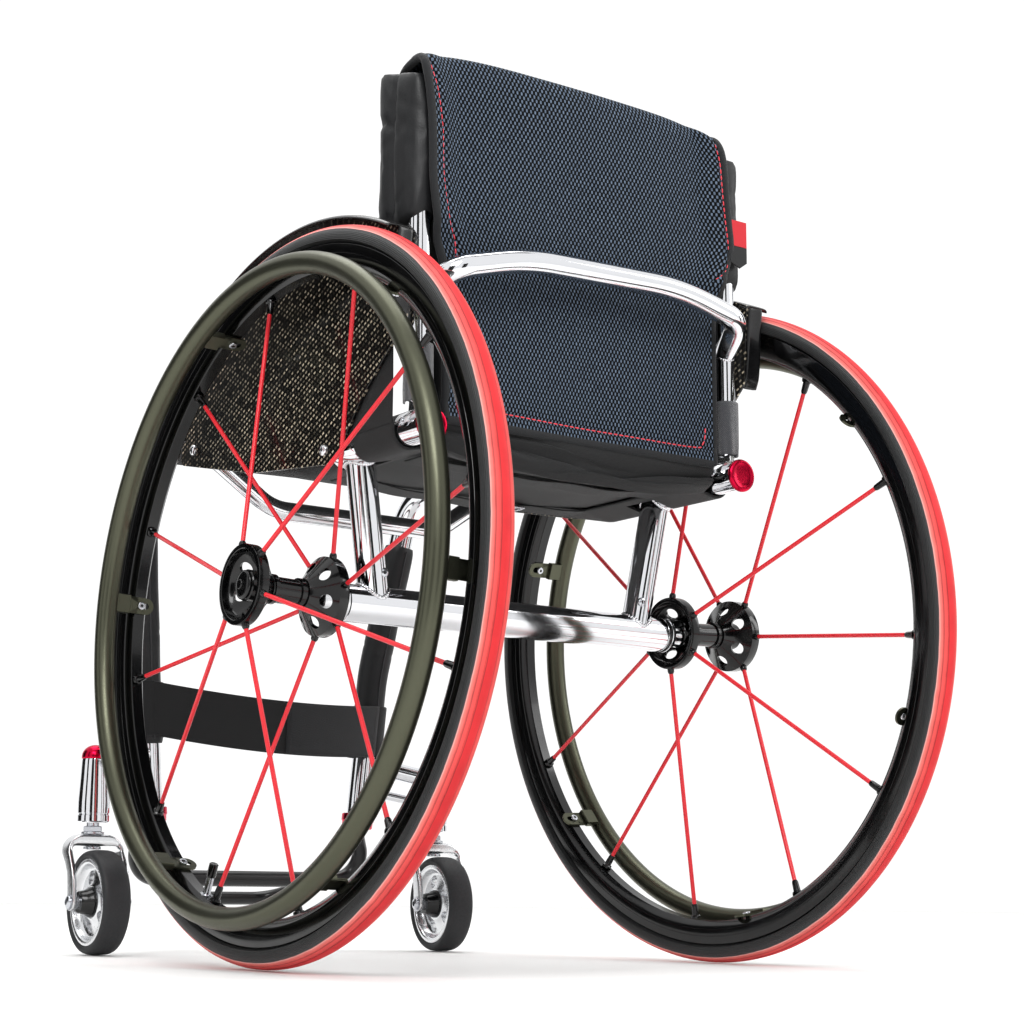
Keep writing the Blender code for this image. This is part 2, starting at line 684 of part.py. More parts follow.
def handrim(shop, label, axis):
    """Tubular ring with six slotted tabs that lie against the rim's inner face."""
    profile = [(HANDRIM_RADIUS + x, HANDRIM_OFFSET + y) for x, y in circle(HANDRIM_TUBE, 8, math.pi / 8)]
    made = shop.turned(label + "_handrim", list(reversed(profile)), WHEEL_SEGMENTS, "titanium", axis)
    tabs = bmesh.new()
    slots = bmesh.new()
    face = rim_bore()
    slot_middle = -TAB_REACH + TAB_SLOT_LENGTH / 2 + (TAB_WIDTH - TAB_SLOT_WIDTH) / 2
    for i in range(TAB_COUNT):
        turn = Matrix.Rotation(math.pi * (2 * i + 0.5) / TAB_COUNT, 4, "Z")
        step = TAB_THICKNESS / 2
        add_prism(tabs, tab_outline(), face - TAB_THICKNESS, face, turn)
        add_prism(tabs, block_outline(), face - TAB_BLOCK_THICKNESS + step, face + step, turn)
        add_prism(slots, slot_outline(slot_middle), face - 3 * TAB_THICKNESS, face + TAB_THICKNESS, turn)
    blocks = shop.from_bmesh(label + "_tabs", tabs, None, axis)
    made = shop.join(made, blocks)
    made.modifiers[-1].use_self = True
    return shop.cut(made, shop.from_bmesh(label + "_slots", slots, None, axis))


def slot_outline(middle):
    half = TAB_SLOT_WIDTH / 2
    flat = TAB_SLOT_LENGTH / 2 - half
    turn = [math.radians(angle) for angle in (-90, -30, 30, 90)]
    right = [(middle + flat + half * math.cos(a), half * math.sin(a)) for a in turn]
    left = [(middle - flat - half * math.cos(a), -half * math.sin(a)) for a in turn]
    return right + left


def add_prism(bm, outline, low, high, turn):
    """Prism standing on a radius: outline (along axle, round rim) from radius low to high."""
    rows = [[bm.verts.new(turn @ Vector((radius, across, along))) for along, across in outline]
            for radius in (low, high)]
    count = len(outline)
    for i in range(count):
        j = (i + 1) % count
        bm.faces.new((rows[0][i], rows[0][j], rows[1][j], rows[1][i]))
    bm.faces.new(list(reversed(rows[0])))
    bm.faces.new(rows[1])


def axle_pin(shop, label, axis):
    """Quick-release pin with a socket for its button."""
    head = BOSS_OUTER + GAP
    top = head + PIN_HEAD_THICKNESS
    socket = BUTTON_RADIUS + PIN_PLAY
    floor = top - BUTTON_DEPTH - BUTTON_TRAVEL - GAP
    tip = -PIN_LENGTH_INSIDE
    profile = [
        (0.0, floor), (socket, floor), (socket, top), (PIN_HEAD_RADIUS - 0.001, top),
        (PIN_HEAD_RADIUS, top - 0.001), (PIN_HEAD_RADIUS, head), (PIN_RADIUS, head),
        (PIN_RADIUS, tip + 0.002), (PIN_RADIUS - 0.002, tip), (0.0, tip),
    ]
    return shop.turned(label + "_axle_pin", profile, 14, "polished", axis)


def release_button(shop, label, axis):
    top = BOSS_OUTER + GAP + PIN_HEAD_THICKNESS
    profile = [
        (0.0, BUTTON_PROUD), (BUTTON_RADIUS - 0.001, BUTTON_PROUD), (BUTTON_RADIUS, BUTTON_PROUD - 0.001),
        (BUTTON_RADIUS, -BUTTON_DEPTH), (0.0, -BUTTON_DEPTH),
    ]
    spot = Matrix.Translation((0, 0, top))
    return shop.turned(label + "_release_button", profile, 12, "polished", axis, spot)


def rear_wheel(shop, label, side):
    place = wheel_matrix(side)
    hub_axis = shop.empty(label + "_wheel_axis", place)
    clock = RIGHT_CLOCK if side > 0 else -LEFT_CLOCK
    clocked = shop.empty(label + "_wheel_clock", Matrix.Rotation(clock, 4, "Z"), hub_axis)
    shop.turned(label + "_tyre", tyre_profile(), WHEEL_SEGMENTS, "tyre", hub_axis)
    shop.turned(label + "_rim", rim_profile(), WHEEL_SEGMENTS, "black_gloss", hub_axis)
    hub(shop, label, clocked)
    handrim(shop, label, clocked)
    axle_pin(shop, label, hub_axis)
    release_button(shop, label, hub_axis)


def castor_wheel(shop, label, swivel):
    axis = shop.empty(label + "_castor_axis", frame_on((0, -CASTOR_TRAIL, CASTOR_RADIUS), (1, 0, 0)), swivel)
    seat = CASTOR_RADIUS - CASTOR_TYRE_DEPTH
    half = CASTOR_HALF_WIDTH
    tyre = [(seat + GAP, half - 0.001), (CASTOR_RADIUS - 0.004, half), (CASTOR_RADIUS - 0.0008, half * 0.62),
            (CASTOR_RADIUS, half * 0.22)]
    tyre += [(radius, -height) for radius, height in reversed(tyre)]
    shop.turned(label + "_castor_tyre", tyre, CASTOR_SEGMENTS, "rubber", axis)
    bore = CASTOR_BOLT_RADIUS + PIN_PLAY
    rim = [
        (bore, CASTOR_HUB_HALF), (CASTOR_HUB_RADIUS * 0.72, CASTOR_HUB_HALF),
        (CASTOR_HUB_RADIUS, half * 0.5), (seat - 0.008, half * 0.25),
        (seat - 0.0035, half - 0.0012), (seat, half - 0.0012),
    ]
    rim += [(radius, -height) for radius, height in reversed(rim)]
    wheel = shop.turned(label + "_castor_rim", rim, CASTOR_SEGMENTS, "polished", axis)
    middle = (CASTOR_HUB_RADIUS + seat - 0.007) / 2
    reach = Vector((0, 0, half))
    windows = [Vector((x, y, 0)) for x, y in circle(middle, 5)]
    ends = [(window - reach, window + reach) for window in windows]
    shop.cut(wheel, bars(shop, label + "_castor_windows", ends, CASTOR_WINDOW, 8, axis))
    bolt_half = FORK_HALF_WIDTH + 0.0032
    bolt_head = 0.0066
    bolt = [(0.0, bolt_half), (bolt_head, bolt_half), (bolt_head, FORK_HALF_WIDTH + GAP),
            (CASTOR_BOLT_RADIUS, FORK_HALF_WIDTH + GAP)]
    bolt += [(radius, -height) for radius, height in reversed(bolt)]
    shop.turned(label + "_castor_bolt", bolt, 12, "polished", swivel, axis.matrix_basis.copy())


def shoulder(x, z, radius):
    """Quarter arc that rounds the corner at (x, z) of the fork's front outline."""
    turn = [math.radians(angle) for angle in (0, 30, 60, 90)]
    return [(x - radius + radius * math.cos(a), z - radius + radius * math.sin(a)) for a in turn]


def castor_fork(shop, label, swivel):
    """Flat-legged fork: a front outline crossed with a trailing side outline."""
    top, under = FORK_CROWN_TOP_Z, FORK_CROWN_BOTTOM_Z
    low = CASTOR_RADIUS - FORK_LEG_WIDTH
    outer = shoulder(FORK_HALF_WIDTH, top, FORK_SHOULDER)
    inner = shoulder(FORK_HALF_WIDTH - FORK_LEG_THICKNESS, under, FORK_INNER_BEND)
    right = [(FORK_HALF_WIDTH - FORK_LEG_THICKNESS, low), (FORK_HALF_WIDTH, low)] + outer
    left = [(-x, z) for x, z in reversed(right)]
    outline = right + left + [(-x, z) for x, z in inner] + list(reversed(inner))
    rings = [[(x, y, z) for x, z in outline] for y in (-0.06, 0.06)]
    made = shop.loft(label + "_castor_fork", rings, "polished", swivel)
    boss = FORK_LEG_WIDTH / 2
    crown = FORK_CROWN_WIDTH / 2
    hub_y, hub_z = -CASTOR_TRAIL, CASTOR_RADIUS
    turn = [math.radians(angle) for angle in range(180, 361, 30)]
    sole = [(hub_y + boss * math.cos(a), hub_z + boss * math.sin(a)) for a in turn]
    side = sole + [(hub_y + boss + 0.002, hub_z + 0.030), (crown, under + 0.002), (crown - 0.003, top),
                   (-crown + 0.003, top), (-crown, under + 0.002), (hub_y - boss + 0.002, hub_z + 0.022)]
    slab = [[(x, y, z) for y, z in side] for x in (-0.04, 0.04)]
    made = shop.keep(made, shop.loft(label + "_fork_side", slab, None, swivel))
    made = shop.cut(made, rod(shop, label + "_fork_bore", (-0.05, hub_y, hub_z), (0.05, hub_y, hub_z),
                              CASTOR_BOLT_RADIUS + PIN_PLAY, None, swivel))
    return shop.cut(made, rod(shop, label + "_stem_hole", (0, 0, under - 0.01), (0, 0, top + 0.01),
                              STEM_RADIUS + PIN_PLAY, None, swivel))


def castor_stem(shop, label, swivel):
    """Swivel bolt with its lock nut between fork and housing."""
    nut = FORK_CROWN_TOP_Z + GAP
    head = FORK_CROWN_BOTTOM_Z - GAP
    profile = [(0.0, STEM_TOP_Z), (STEM_RADIUS, STEM_TOP_Z), (STEM_RADIUS, nut + STEM_NUT_HEIGHT),
               (STEM_NUT_RADIUS, nut + STEM_NUT_HEIGHT), (STEM_NUT_RADIUS, nut), (STEM_RADIUS, nut),
               (STEM_RADIUS, head), (STEM_RADIUS + 0.003, head), (STEM_RADIUS + 0.003, head - 0.0022),
               (0.0, head - 0.0022)]
    return shop.turned(label + "_castor_stem", profile, 12, "polished", swivel)


def castor_housing(shop, label, side):
    """Bearing tube for the castor stem, welded to the two bars that hold it off the front tube."""
    spot = Matrix.Translation((side * CASTOR_X, CASTOR_Y, 0))
    profile = [
        (0.0, HOUSING_TOP_Z), (HOUSING_TOP_RADIUS, HOUSING_TOP_Z),
        (HOUSING_RADIUS, HOUSING_BOTTOM_Z + 0.02), (HOUSING_RADIUS, HOUSING_BOTTOM_Z),
        (0.0, HOUSING_BOTTOM_Z),
    ]
    made = shop.turned(label + "_castor_housing", profile, 16, "polished", matrix=spot)
    for part, radius, inner_z, outer_z in (("arm", ARM_RADIUS, ARM_INNER_Z, ARM_OUTER_Z),
                                           ("brace", BRACE_RADIUS, BRACE_INNER_Z, BRACE_OUTER_Z)):
        foot = front_point(inner_z)
        start = (side * foot.x, foot.y, inner_z)
        end = (side * CASTOR_X, CASTOR_Y, outer_z)
        made = shop.join(made, rod(shop, f"{label}_castor_{part}", start, end, radius, None, sides=10))
    made = shop.cut(made, tube_cutter(shop, label + "_housing_notch", side, FRONT_END_Z, FRONT_WAIST_Z))
    rim = Vector((side * CASTOR_X, CASTOR_Y, HOUSING_TOP_Z))
    seat = rod(shop, label + "_cap_seat", rim, rim + Vector((0, 0, 0.02)), HOUSING_TOP_RADIUS + 2 * GAP,
               None, sides=16)
    made = shop.cut(made, seat)
    bore = rod(shop, label + "_housing_bore", (side * CASTOR_X, CASTOR_Y, HOUSING_BOTTOM_Z - 0.01),
               (side * CASTOR_X, CASTOR_Y, STEM_TOP_Z + GAP), STEM_RADIUS + PIN_PLAY, None, sides=16)
    shop.cut(made, bore)


def housing_cap(shop, label, side):
    """Domed cap on top of the castor housing."""
    base = HOUSING_TOP_Z + GAP
    rise = DOME_HEIGHT - DOME_EDGE
    turn = [math.radians(angle) for angle in (90, 70, 48, 24, 0)]
    dome = [(HOUSING_TOP_RADIUS * math.cos(a), base + DOME_EDGE + rise * math.sin(a)) for a in turn]
    dome[0] = (0.0, dome[0][1])
    spot = Matrix.Translation((side * CASTOR_X, CASTOR_Y, 0))
    profile = dome + [(HOUSING_TOP_RADIUS, base), (0.0, base)]
    shop.turned(label + "_housing_cap", profile, 16, "red_anodised", matrix=spot)


def tube_cutter(shop, name, side, low, high):
    """Straight stretch of the front tube, grown by the usual gap."""
    start, end = front_point(low), front_point(high)
    return rod(shop, name, (side * start.x, start.y, start.z), (side * end.x, end.y, end.z),
               TUBE_RADIUS + 2 * GAP, None, sides=12)


def front_axis(side):
    """Matrix at the lower end of a front tube with local Z up along it."""
    low, high = front_point(FRONT_END_Z), front_point(FRONT_WAIST_Z)
    start = Vector((side * low.x, low.y, low.z))
    return frame_on(start, Vector((side * high.x, high.y, high.z)) - start, Vector((0, 1, 0)))


def footrest_clamp(shop, label, side):
    """Split collar that grips the front tube above and the footrest leg below."""
    spot = front_axis(side)
    half = CLAMP_HEIGHT / 2
    bore, step = TUBE_RADIUS + 2 * GAP, LEG_RADIUS + 2 * GAP
    profile = [(CLAMP_RADIUS - 0.001, half), (CLAMP_RADIUS, half - 0.001), (CLAMP_RADIUS, -half + 0.001),
               (CLAMP_RADIUS - 0.001, -half), (step, -half), (step, 0.0), (bore, 0.0), (bore, half)]
    made = shop.turned(label + "_footrest_clamp", profile, 16, "red_anodised", matrix=spot)
    inward = -CLAMP_RADIUS + 0.0018
    ear = box(shop, label + "_clamp_ear", (-0.0045, inward - CLAMP_EAR, -half + 0.001),
              (0.0045, inward, half - 0.001), None, matrix=spot)
    made = shop.join(made, ear)
    slit = box(shop, label + "_clamp_slit", (-0.0008, inward - CLAMP_EAR - 0.002, -half - 0.001),
               (0.0008, 0.0, half + 0.001), None, matrix=spot)
    return shop.cut(made, slit)


def footrest(shop):
    """Bent hoop below the front tubes and a second bar in front of it."""
    axis = front_axis(1)
    half = [axis @ Vector((0, 0, LEG_INSERTION)), axis @ Vector((0, 0, -LEG_CRANK)),
            Vector((FOOT_SPREAD - 0.002, FOOT_SHOULDER_Y, FOOT_SHOULDER_Z)),
            Vector((FOOT_SPREAD, FOOT_BAR_Y, FOOT_BAR_Z))]
    corners = half + mirrored(reversed(half), -1)
    bends = ((0.014, 2), (0.020, 1), (FOOT_BEND, 5))
    path = bent(corners, bends + bends[::-1])
    shop.tube("footrest_hoop", path, LEG_RADIUS, "black_metal", sides=10)
    bar = [(-FRONT_BAR_HALF, FOOT_BAR_Y, FOOT_BAR_Z), (-FRONT_BAR_HALF, FRONT_BAR_Y, FRONT_BAR_Z),
           (FRONT_BAR_HALF, FRONT_BAR_Y, FRONT_BAR_Z), (FRONT_BAR_HALF, FOOT_BAR_Y, FOOT_BAR_Z)]
    path = bent(bar, ((FRONT_BAR_BEND, 4), (FRONT_BAR_BEND, 4)))
    made = shop.tube("footrest_front_bar", path, FRONT_BAR_RADIUS, "black_metal", sides=10)
    reach = Vector((FOOT_SPREAD, 0, 0))
    middle = Vector((0, FOOT_BAR_Y, FOOT_BAR_Z))
    notch = rod(shop, "front_bar_notch", middle - reach, middle + reach, LEG_RADIUS + 2 * GAP, None, sides=10)
    return shop.cut(made, notch)


def hinge_bracket(shop, label, side):
    """Saddle on the seat rail with a lug for the backrest pivot."""
    spot = Matrix.Translation((side * RAIL_X, 0, 0))
    arc = [math.radians(angle) for angle in range(20, 161, 20)]
    outer = TUBE_RADIUS + GAP + SADDLE_WALL
    ring = [(outer * math.cos(a), outer * math.sin(a)) for a in arc]
    ring += [((TUBE_RADIUS + GAP) * math.cos(a), (TUBE_RADIUS + GAP) * math.sin(a)) for a in reversed(arc)]
    rings = [[(x, y, RAIL_REAR_Z + z) for x, z in ring] for y in (BRACKET_REAR_Y, BRACKET_FRONT_Y)]
    made = shop.loft(label + "_hinge_bracket", rings, "polished", matrix=spot)
    seat = RAIL_REAR_Z + TUBE_RADIUS + GAP + SADDLE_WALL / 2
    turn = [math.radians(angle) for angle in range(0, 181, 30)]
    head = [(CANE_Y + LUG_RADIUS * math.cos(a), HINGE_Z + LUG_RADIUS * math.sin(a)) for a in turn]
    lug = head + [(CANE_Y - LUG_RADIUS, seat), (BRACKET_FRONT_Y - 0.002, seat)]
    half = LUG_THICKNESS / 2
    slab = [[(x, y, z) for y, z in lug] for x in (-half, half)]
    made = shop.join(made, shop.loft(label + "_lug", slab, None, matrix=spot))
    bore = rod(shop, label + "_lug_bore", (-0.02, CANE_Y, HINGE_Z), (0.02, CANE_Y, HINGE_Z),
               HINGE_PIN_RADIUS + PIN_PLAY, None)
    bore.matrix_basis = spot
    return shop.cut(made, bore)


def cane(shop, label, side, pivot):
    """Backrest upright with a slotted, ball-ended foot over the hinge lug."""
    name = label + "_cane"
    made = shop.tube(name, [(0, 0, -0.0012), (0, 0, CANE_TOP_Z - HINGE_Z)], CANE_RADIUS, "polished", pivot,
                     Matrix.Translation((side * RAIL_X, 0, 0)), sides=14)
    spot = made.matrix_basis.copy()
    ball = bmesh.new()
    bmesh.ops.create_uvsphere(ball, u_segments=14, v_segments=8, radius=CANE_RADIUS * 0.97)
    made = shop.join(made, shop.from_bmesh(label + "_foot_ball", ball, None, pivot, spot))
    half = LUG_THICKNESS / 2 + GAP
    slot = box(shop, label + "_foot_slot", (-half, -0.02, -0.02), (half, 0.02, LUG_RADIUS + 0.002), None,
               pivot, spot)
    made = shop.cut(made, slot)
    hole = rod(shop, label + "_foot_bore", (-0.02, 0, 0), (0.02, 0, 0), HINGE_PIN_RADIUS + PIN_PLAY, None,
               pivot)
    hole.matrix_basis = spot
    made = shop.cut(made, hole)
    middle = Vector((side * RAIL_X, CANE_Y, HINGE_Z))
    reach = Vector((CANE_RADIUS - 0.0008, 0, 0))
    rod(shop, label + "_hinge_pin", middle - reach, middle + reach, HINGE_PIN_RADIUS, "polished")
    return made


def cane_sleeve(shop, label, side, pivot):
    """Webbing boot round the foot of the cane, open in front for the lug."""
    spot = Matrix.Translation((side * RAIL_X, 0, 0))
    inner = CANE_RADIUS + GAP
    outer = inner + SLEEVE_WALL
    low, high = SLEEVE_BOTTOM_Z - HINGE_Z, SLEEVE_TOP_Z - HINGE_Z
    profile = [(outer, high), (outer, low), (inner, low), (inner, high)]
    made = shop.turned(label + "_cane_sleeve", profile, 14, "nylon", pivot, spot)
    return shop.cut(made, box(shop, label + "_sleeve_mouth", (-0.02, 0.0, low - 0.005), (0.02, 0.02, 0.008),
                              None, pivot, spot))


def push_bar(shop, pivot):
    """Bent bar behind the back upholstery, notched onto both canes."""
    y = BAR_Y - CANE_Y
    joint, end, middle = BAR_JOINT_Z - HINGE_Z, BAR_END_Z - HINGE_Z, BAR_MIDDLE_Z - HINGE_Z
    half = [(RAIL_X, 0.0, joint), (BAR_CORNER_X, y, end), (BAR_CORNER_X * 0.55, y, middle)]
    corners = mirrored(half, -1) + list(reversed(half))
    path = bent(corners, ((BAR_BEND, 4), (0.25, 2), (0.25, 2), (BAR_BEND, 4)))
    made = shop.tube("push_bar", path, BAR_RADIUS, "polished", pivot)
    for label, side in SIDES.items():
        foot, head = (side * RAIL_X, 0, joint - 0.05), (side * RAIL_X, 0, joint + 0.06)
        notch = rod(shop, label + "_bar_notch", foot, head, CANE_RADIUS + 2 * GAP, None, pivot, sides=14)
        made = shop.cut(made, notch)
    return made


def back_pad(shop, pivot):
    """Back upholstery: a wedge between the canes with a roll round each cane."""
    rear = PAD_REAR_Y - CANE_Y
    half = PAD_HALF_WIDTH
    stations = ((PAD_BOTTOM_Z, 0.006, 0.006), (0.470, 0.022, 0.0), (0.540, 0.036, 0.0), (0.660, 0.044, 0.0),
                (PAD_TOP_Z - 0.012, 0.042, 0.0), (PAD_TOP_Z, 0.030, 0.010))
    rings = []
    for height, front, trim in stations:
        z = height - HINGE_Z
        back = rear + trim
        right = [
            (half - trim, back), (half - trim / 2, 0.0), (half - trim, front - 0.008), (half - 0.014, front),
        ]
        rings.append([(x, y, z) for x, y in right] + [(-x, y, z) for x, y in reversed(right)])
    made = shop.loft("back_upholstery", rings, "vinyl", pivot)
    low, high = ROLL_BOTTOM_Z - HINGE_Z, CANE_TOP_Z + 0.003 - HINGE_Z
    top = CANE_TOP_Z + GAP - HINGE_Z
    for label, side in SIDES.items():
        x = side * RAIL_X
        section = [(x + across, ROLL_FORWARD + deep) for across, deep in roll_section()]
        rings = [[(*spot, z) for spot in section] for z in (low, high)]
        roll = shop.loft(label + "_roll", rings, None, pivot)
        foot, head = Vector((x, 0, low - 0.02)), Vector((x, 0, top))
        bore = rod(shop, label + "_roll_bore", foot, head, CANE_RADIUS + GAP, None, pivot, sides=20)
        made = shop.cut(shop.join(made, roll), bore)
    return made


def roll_section():
    """Rounded rectangle round a cane, seen from above."""
    wide, deep = ROLL_HALF_WIDTH - ROLL_CORNER, ROLL_HALF_DEPTH - ROLL_CORNER
    made = []
    for first, x, y in ((0, wide, deep), (90, -wide, deep), (180, -wide, -deep), (270, wide, -deep)):
        turn = [math.radians(first + angle) for angle in (0, 30, 60, 90)]
        made += [(x + ROLL_CORNER * math.cos(a), y + ROLL_CORNER * math.sin(a)) for a in turn]
    return made


def cover_rows():
    """Rows (y, z, half width, crown, flare) up the back panel, over the top and down to its front edge."""
    rear = PAD_REAR_Y - 2 * GAP
    top = PAD_TOP_Z + 0.0015
    front = CANE_Y + 0.0445
    crown, flare = COVER_CROWN, COVER_FLARE
    rows = [
        (rear, COVER_BOTTOM_Z, COVER_LOWER_HALF, 0, 0),
        (rear, COVER_STEP_Z - 0.015, COVER_LOWER_HALF, 0, 0),
        (rear, COVER_STEP_Z, COVER_UPPER_HALF - 0.003, 0, flare),
        (rear, COVER_STEP_Z + 0.02, COVER_UPPER_HALF, 0, flare),
        (rear, top - 0.0155, COVER_UPPER_HALF, crown / 2, flare),
        (rear + 0.0045, top - 0.003, COVER_TOP_HALF - 0.004, crown, flare),
        (rear + 0.014, top, COVER_TOP_HALF, crown, 0),
        (front - 0.014, top, COVER_TOP_HALF - 0.006, crown, 0),
        (front - 0.004, top - 0.004, COVER_TOP_HALF - 0.010, crown, 0),
        (front, top - 0.016, PAD_HALF_WIDTH - 0.004, crown / 2, 0),
        (front + 0.0005, COVER_FLAP_Z, PAD_HALF_WIDTH - 0.004, 0, 0),
    ]
    return [(y - CANE_Y, z - HINGE_Z, half, crown, flare) for y, z, half, crown, flare in rows]


def back_cover(shop, pivot):
    """Spacer-mesh cover folded over the top of the upholstery and hanging behind it."""
    bm = bmesh.new()
    shares = (-1.0, -0.86, -0.45, 0.0, 0.45, 0.86, 1.0)
    rows = []
    for y, z, half, crown, flare in cover_rows():
        row = []
        for share in shares:
            back = flare if abs(share) == 1.0 else 0.0
            row.append(bm.verts.new((half * share, y - back, z + crown * (1 - share ** 2))))
        rows.append(row)
    for near, far in zip(rows, rows[1:]):
        for i in range(len(shares) - 1):
            bm.faces.new((near[i], near[i + 1], far[i + 1], far[i]))
    bmesh.ops.recalc_face_normals(bm, faces=bm.faces)
    data = bpy.data.meshes.new("back_cover")
    bm.to_mesh(data)
    bm.free()
    made = shop.place("back_cover", data, "mesh_fabric", pivot)
    solid = made.modifiers.new("thickness", "SOLIDIFY")
    solid.thickness = COVER_THICKNESS
    solid.offset = 1.0
    solid.use_even_offset = True
    return made


def backrest(shop):
    pivot = shop.empty("backrest_pivot", Matrix.Translation((0, CANE_Y, HINGE_Z)))
    for label, side in SIDES.items():
        hinge_bracket(shop, label, side)
        cane(shop, label, side, pivot)
        cane_sleeve(shop, label, side, pivot)
    push_bar(shop, pivot)
    back_pad(shop, pivot)
    back_cover(shop, pivot)


def seat_sling(shop):
    """Sling hemmed round both seat rails, notched for struts, cross tube and brackets."""
    grow = TUBE_RADIUS + GAP + SLING_THICKNESS
    hem = [math.radians(angle) for angle in range(20, 341, 40)]
    right = [(RAIL_X - grow * math.cos(a), -grow * math.sin(a)) for a in hem]
    sheet = SLING_THICKNESS / 2 + 0.0005
    under = [(RAIL_X * share, -SLING_SAG * (1 - share * share) - sheet) for share in (0.8, 0.45)]
    over = [(x, z + 2 * sheet) for x, z in under]
    half = list(reversed(under)) + right + over
    ring = half + [(-x, z) for x, z in reversed(half)]
    stations = [SLING_REAR_Y, RAIL_KNEE_Y - 0.02, RAIL_KNEE_Y, RAIL_KNEE_Y + 0.02, SLING_FRONT_Y]
    lift = {RAIL_KNEE_Y: 0.0011}
    rings = [[(x, y, rail_z(y) + lift.get(y, 0.0) + z) for x, z in ring] for y in stations]
    made = shop.loft("seat_sling", rings, "nylon")
    corners = [(0, -0.2, RAIL_REAR_Z), (0, RAIL_KNEE_Y, RAIL_REAR_Z), (0, FRONT_TOP_Y, rail_z(FRONT_TOP_Y))]
    knee = bent(corners, ((0.20, 3),))
    for label, side in SIDES.items():
        path = [Vector((side * RAIL_X, point.y, point.z)) for point in knee]
        made = shop.cut(made, shop.tube(label + "_hem_bore", path, TUBE_RADIUS + 2 * GAP, None))
        x = side * RAIL_X
        reach = SADDLE_LENGTH / 2 + 0.001
        made = shop.cut(made, box(shop, label + "_strut_notch", (x - 0.022, STRUT_TOP_Y - reach, 0.38),
                                  (x + 0.022, STRUT_TOP_Y + reach, RAIL_REAR_Z - 0.001), None))
        z = rail_z(CROSS_Y)
        near, far = sorted((x - side * 0.030, x + side * 0.022))
        made = shop.cut(made, box(shop, label + "_sling_notch", (near, CROSS_Y - 0.014, z - 0.05),
                                  (far, CROSS_Y + 0.014, z + 0.003), None))
    return made


def side_guard(shop, label, side):
    """Carbon guard plate whose top edge carries a fender lip over the tyre."""
    inner_x = RAIL_X + TUBE_RADIUS + GAP + SLING_THICKNESS + GUARD_CLEARANCE
    steps = 10
    centre_y, centre_z = GUARD_ARC_CENTRE
    arc = []
    lip = []
    for i in range(steps + 1):
        angle = GUARD_ARC_REAR + (GUARD_ARC_FRONT - GUARD_ARC_REAR) * i / steps
        out = Vector((0, math.cos(angle), math.sin(angle)))
        centre = Vector((0, centre_y, centre_z))
        foot, edge = centre + out * (GUARD_ARC - FENDER_THICKNESS), centre + out * GUARD_ARC
        head = centre + out * (GUARD_ARC + 0.0002)
        arc.append((edge.y, edge.z))
        near, far = side * (inner_x + 0.0004), side * (inner_x + FENDER_WIDTH)
        corners = ((near, foot), (far, foot), (far, head), (near, head))
        lip.append([(x, spot.y, spot.z) for x, spot in corners])
    outline = arc + list(GUARD_FRONT_EDGE + GUARD_LOWER_EDGE + GUARD_REAR_EDGE)
    rings = [[(side * x, y, z) for y, z in outline] for x in (inner_x, inner_x + GUARD_THICKNESS)]
    made = shop.loft(label + "_side_guard", rings, "carbon")
    return shop.join(made, shop.loft(label + "_fender", lip, None))


def tube_wrap(shop, label, side):
    """Padded wrap round the front tube, from the bend down to the calf strap."""
    waist = front_point(FRONT_WAIST_Z)
    path = bent(mirrored([front_point(WRAP_TOP_Z), waist, front_point(WRAP_BOTTOM_Z)], side), ((0.20, 2),))
    made = shop.tube(label + "_front_tube_wrap", path, WRAP_RADIUS, "vinyl", sides=14)
    inside = bent(mirrored([front_point(WRAP_TOP_Z + 0.01), waist, front_point(FRONT_END_Z)], side),
                  ((0.20, 2),))
    bore = shop.tube(label + "_wrap_bore", inside, TUBE_RADIUS + 2 * GAP, None, sides=12)
    return shop.cut(made, bore)


def calf_strap(shop):
    """Webbing band behind the calves, looped round both front tubes."""
    loop = WRAP_RADIUS + GAP * 2
    outer = loop + STRAP_THICKNESS
    rings = []
    for share in (-0.5, 0.0, 0.5):
        ends = []
        for side, height in ((-1, STRAP_LEFT_Z), (1, STRAP_RIGHT_Z)):
            point = front_point(height + share * STRAP_HEIGHT)
            ends.append(Vector((side * point.x, point.y, point.z)))
        left, right = ends
        rings.append(strap_outline(left, right, outer))
    made = shop.loft("calf_strap", rings, "nylon")
    for label, side in SIDES.items():
        high, low = front_point(FRONT_WAIST_Z + 0.01), front_point(STRAP_RIGHT_Z - STRAP_HEIGHT)
        ends = mirrored([high, front_point(FRONT_WAIST_Z), low], side)
        path = bent(ends, ((0.20, 2),))
        made = shop.cut(made, shop.tube(label + "_strap_bore", path, loop + GAP, None, sides=14))
        made.modifiers[-1].use_self = True
    return made


def strap_outline(left, right, outer):
    """Plan of the strap at one height: a loop at each end and a sagging band between."""
    first = math.radians(-90)
    last = -2 * math.pi - math.asin(1 - STRAP_THICKNESS / outer)
    turn = [first + (last - first) * i / 11 for i in range(12)]
    loop = [(outer * math.cos(a), outer * math.sin(a)) for a in turn]
    points = [left + Vector((x, y, 0)) for x, y in loop]
    points += band(left, right, outer - STRAP_THICKNESS)
    points += [right + Vector((-x, y, 0)) for x, y in reversed(loop)]
    points += reversed(band(left, right, outer))
    return points


def band(left, right, back):
    """Points of one face of the hanging band, from left to right."""
    made = []
    for share in (0.2, 0.4, 0.6, 0.8):
        point = left.lerp(right, share)
        sag = 4 * share * (1 - share)
        point.y -= STRAP_SAG * sag + back
        point.z -= STRAP_DROP * sag
        made.append(point)
    return made


def castors(shop):
    for label, side in SIDES.items():
        heading = Matrix.Rotation(RIGHT_HEADING if side > 0 else LEFT_HEADING, 4, "Z")
        spot = Matrix.Translation((side * CASTOR_X, CASTOR_Y, 0)) @ heading
        swivel = shop.empty(label + "_castor_swivel", spot)
        castor_wheel(shop, label, swivel)
        castor_fork(shop, label, swivel)
        castor_stem(shop, label, swivel)
        castor_housing(shop, label, side)
        housing_cap(shop, label, side)


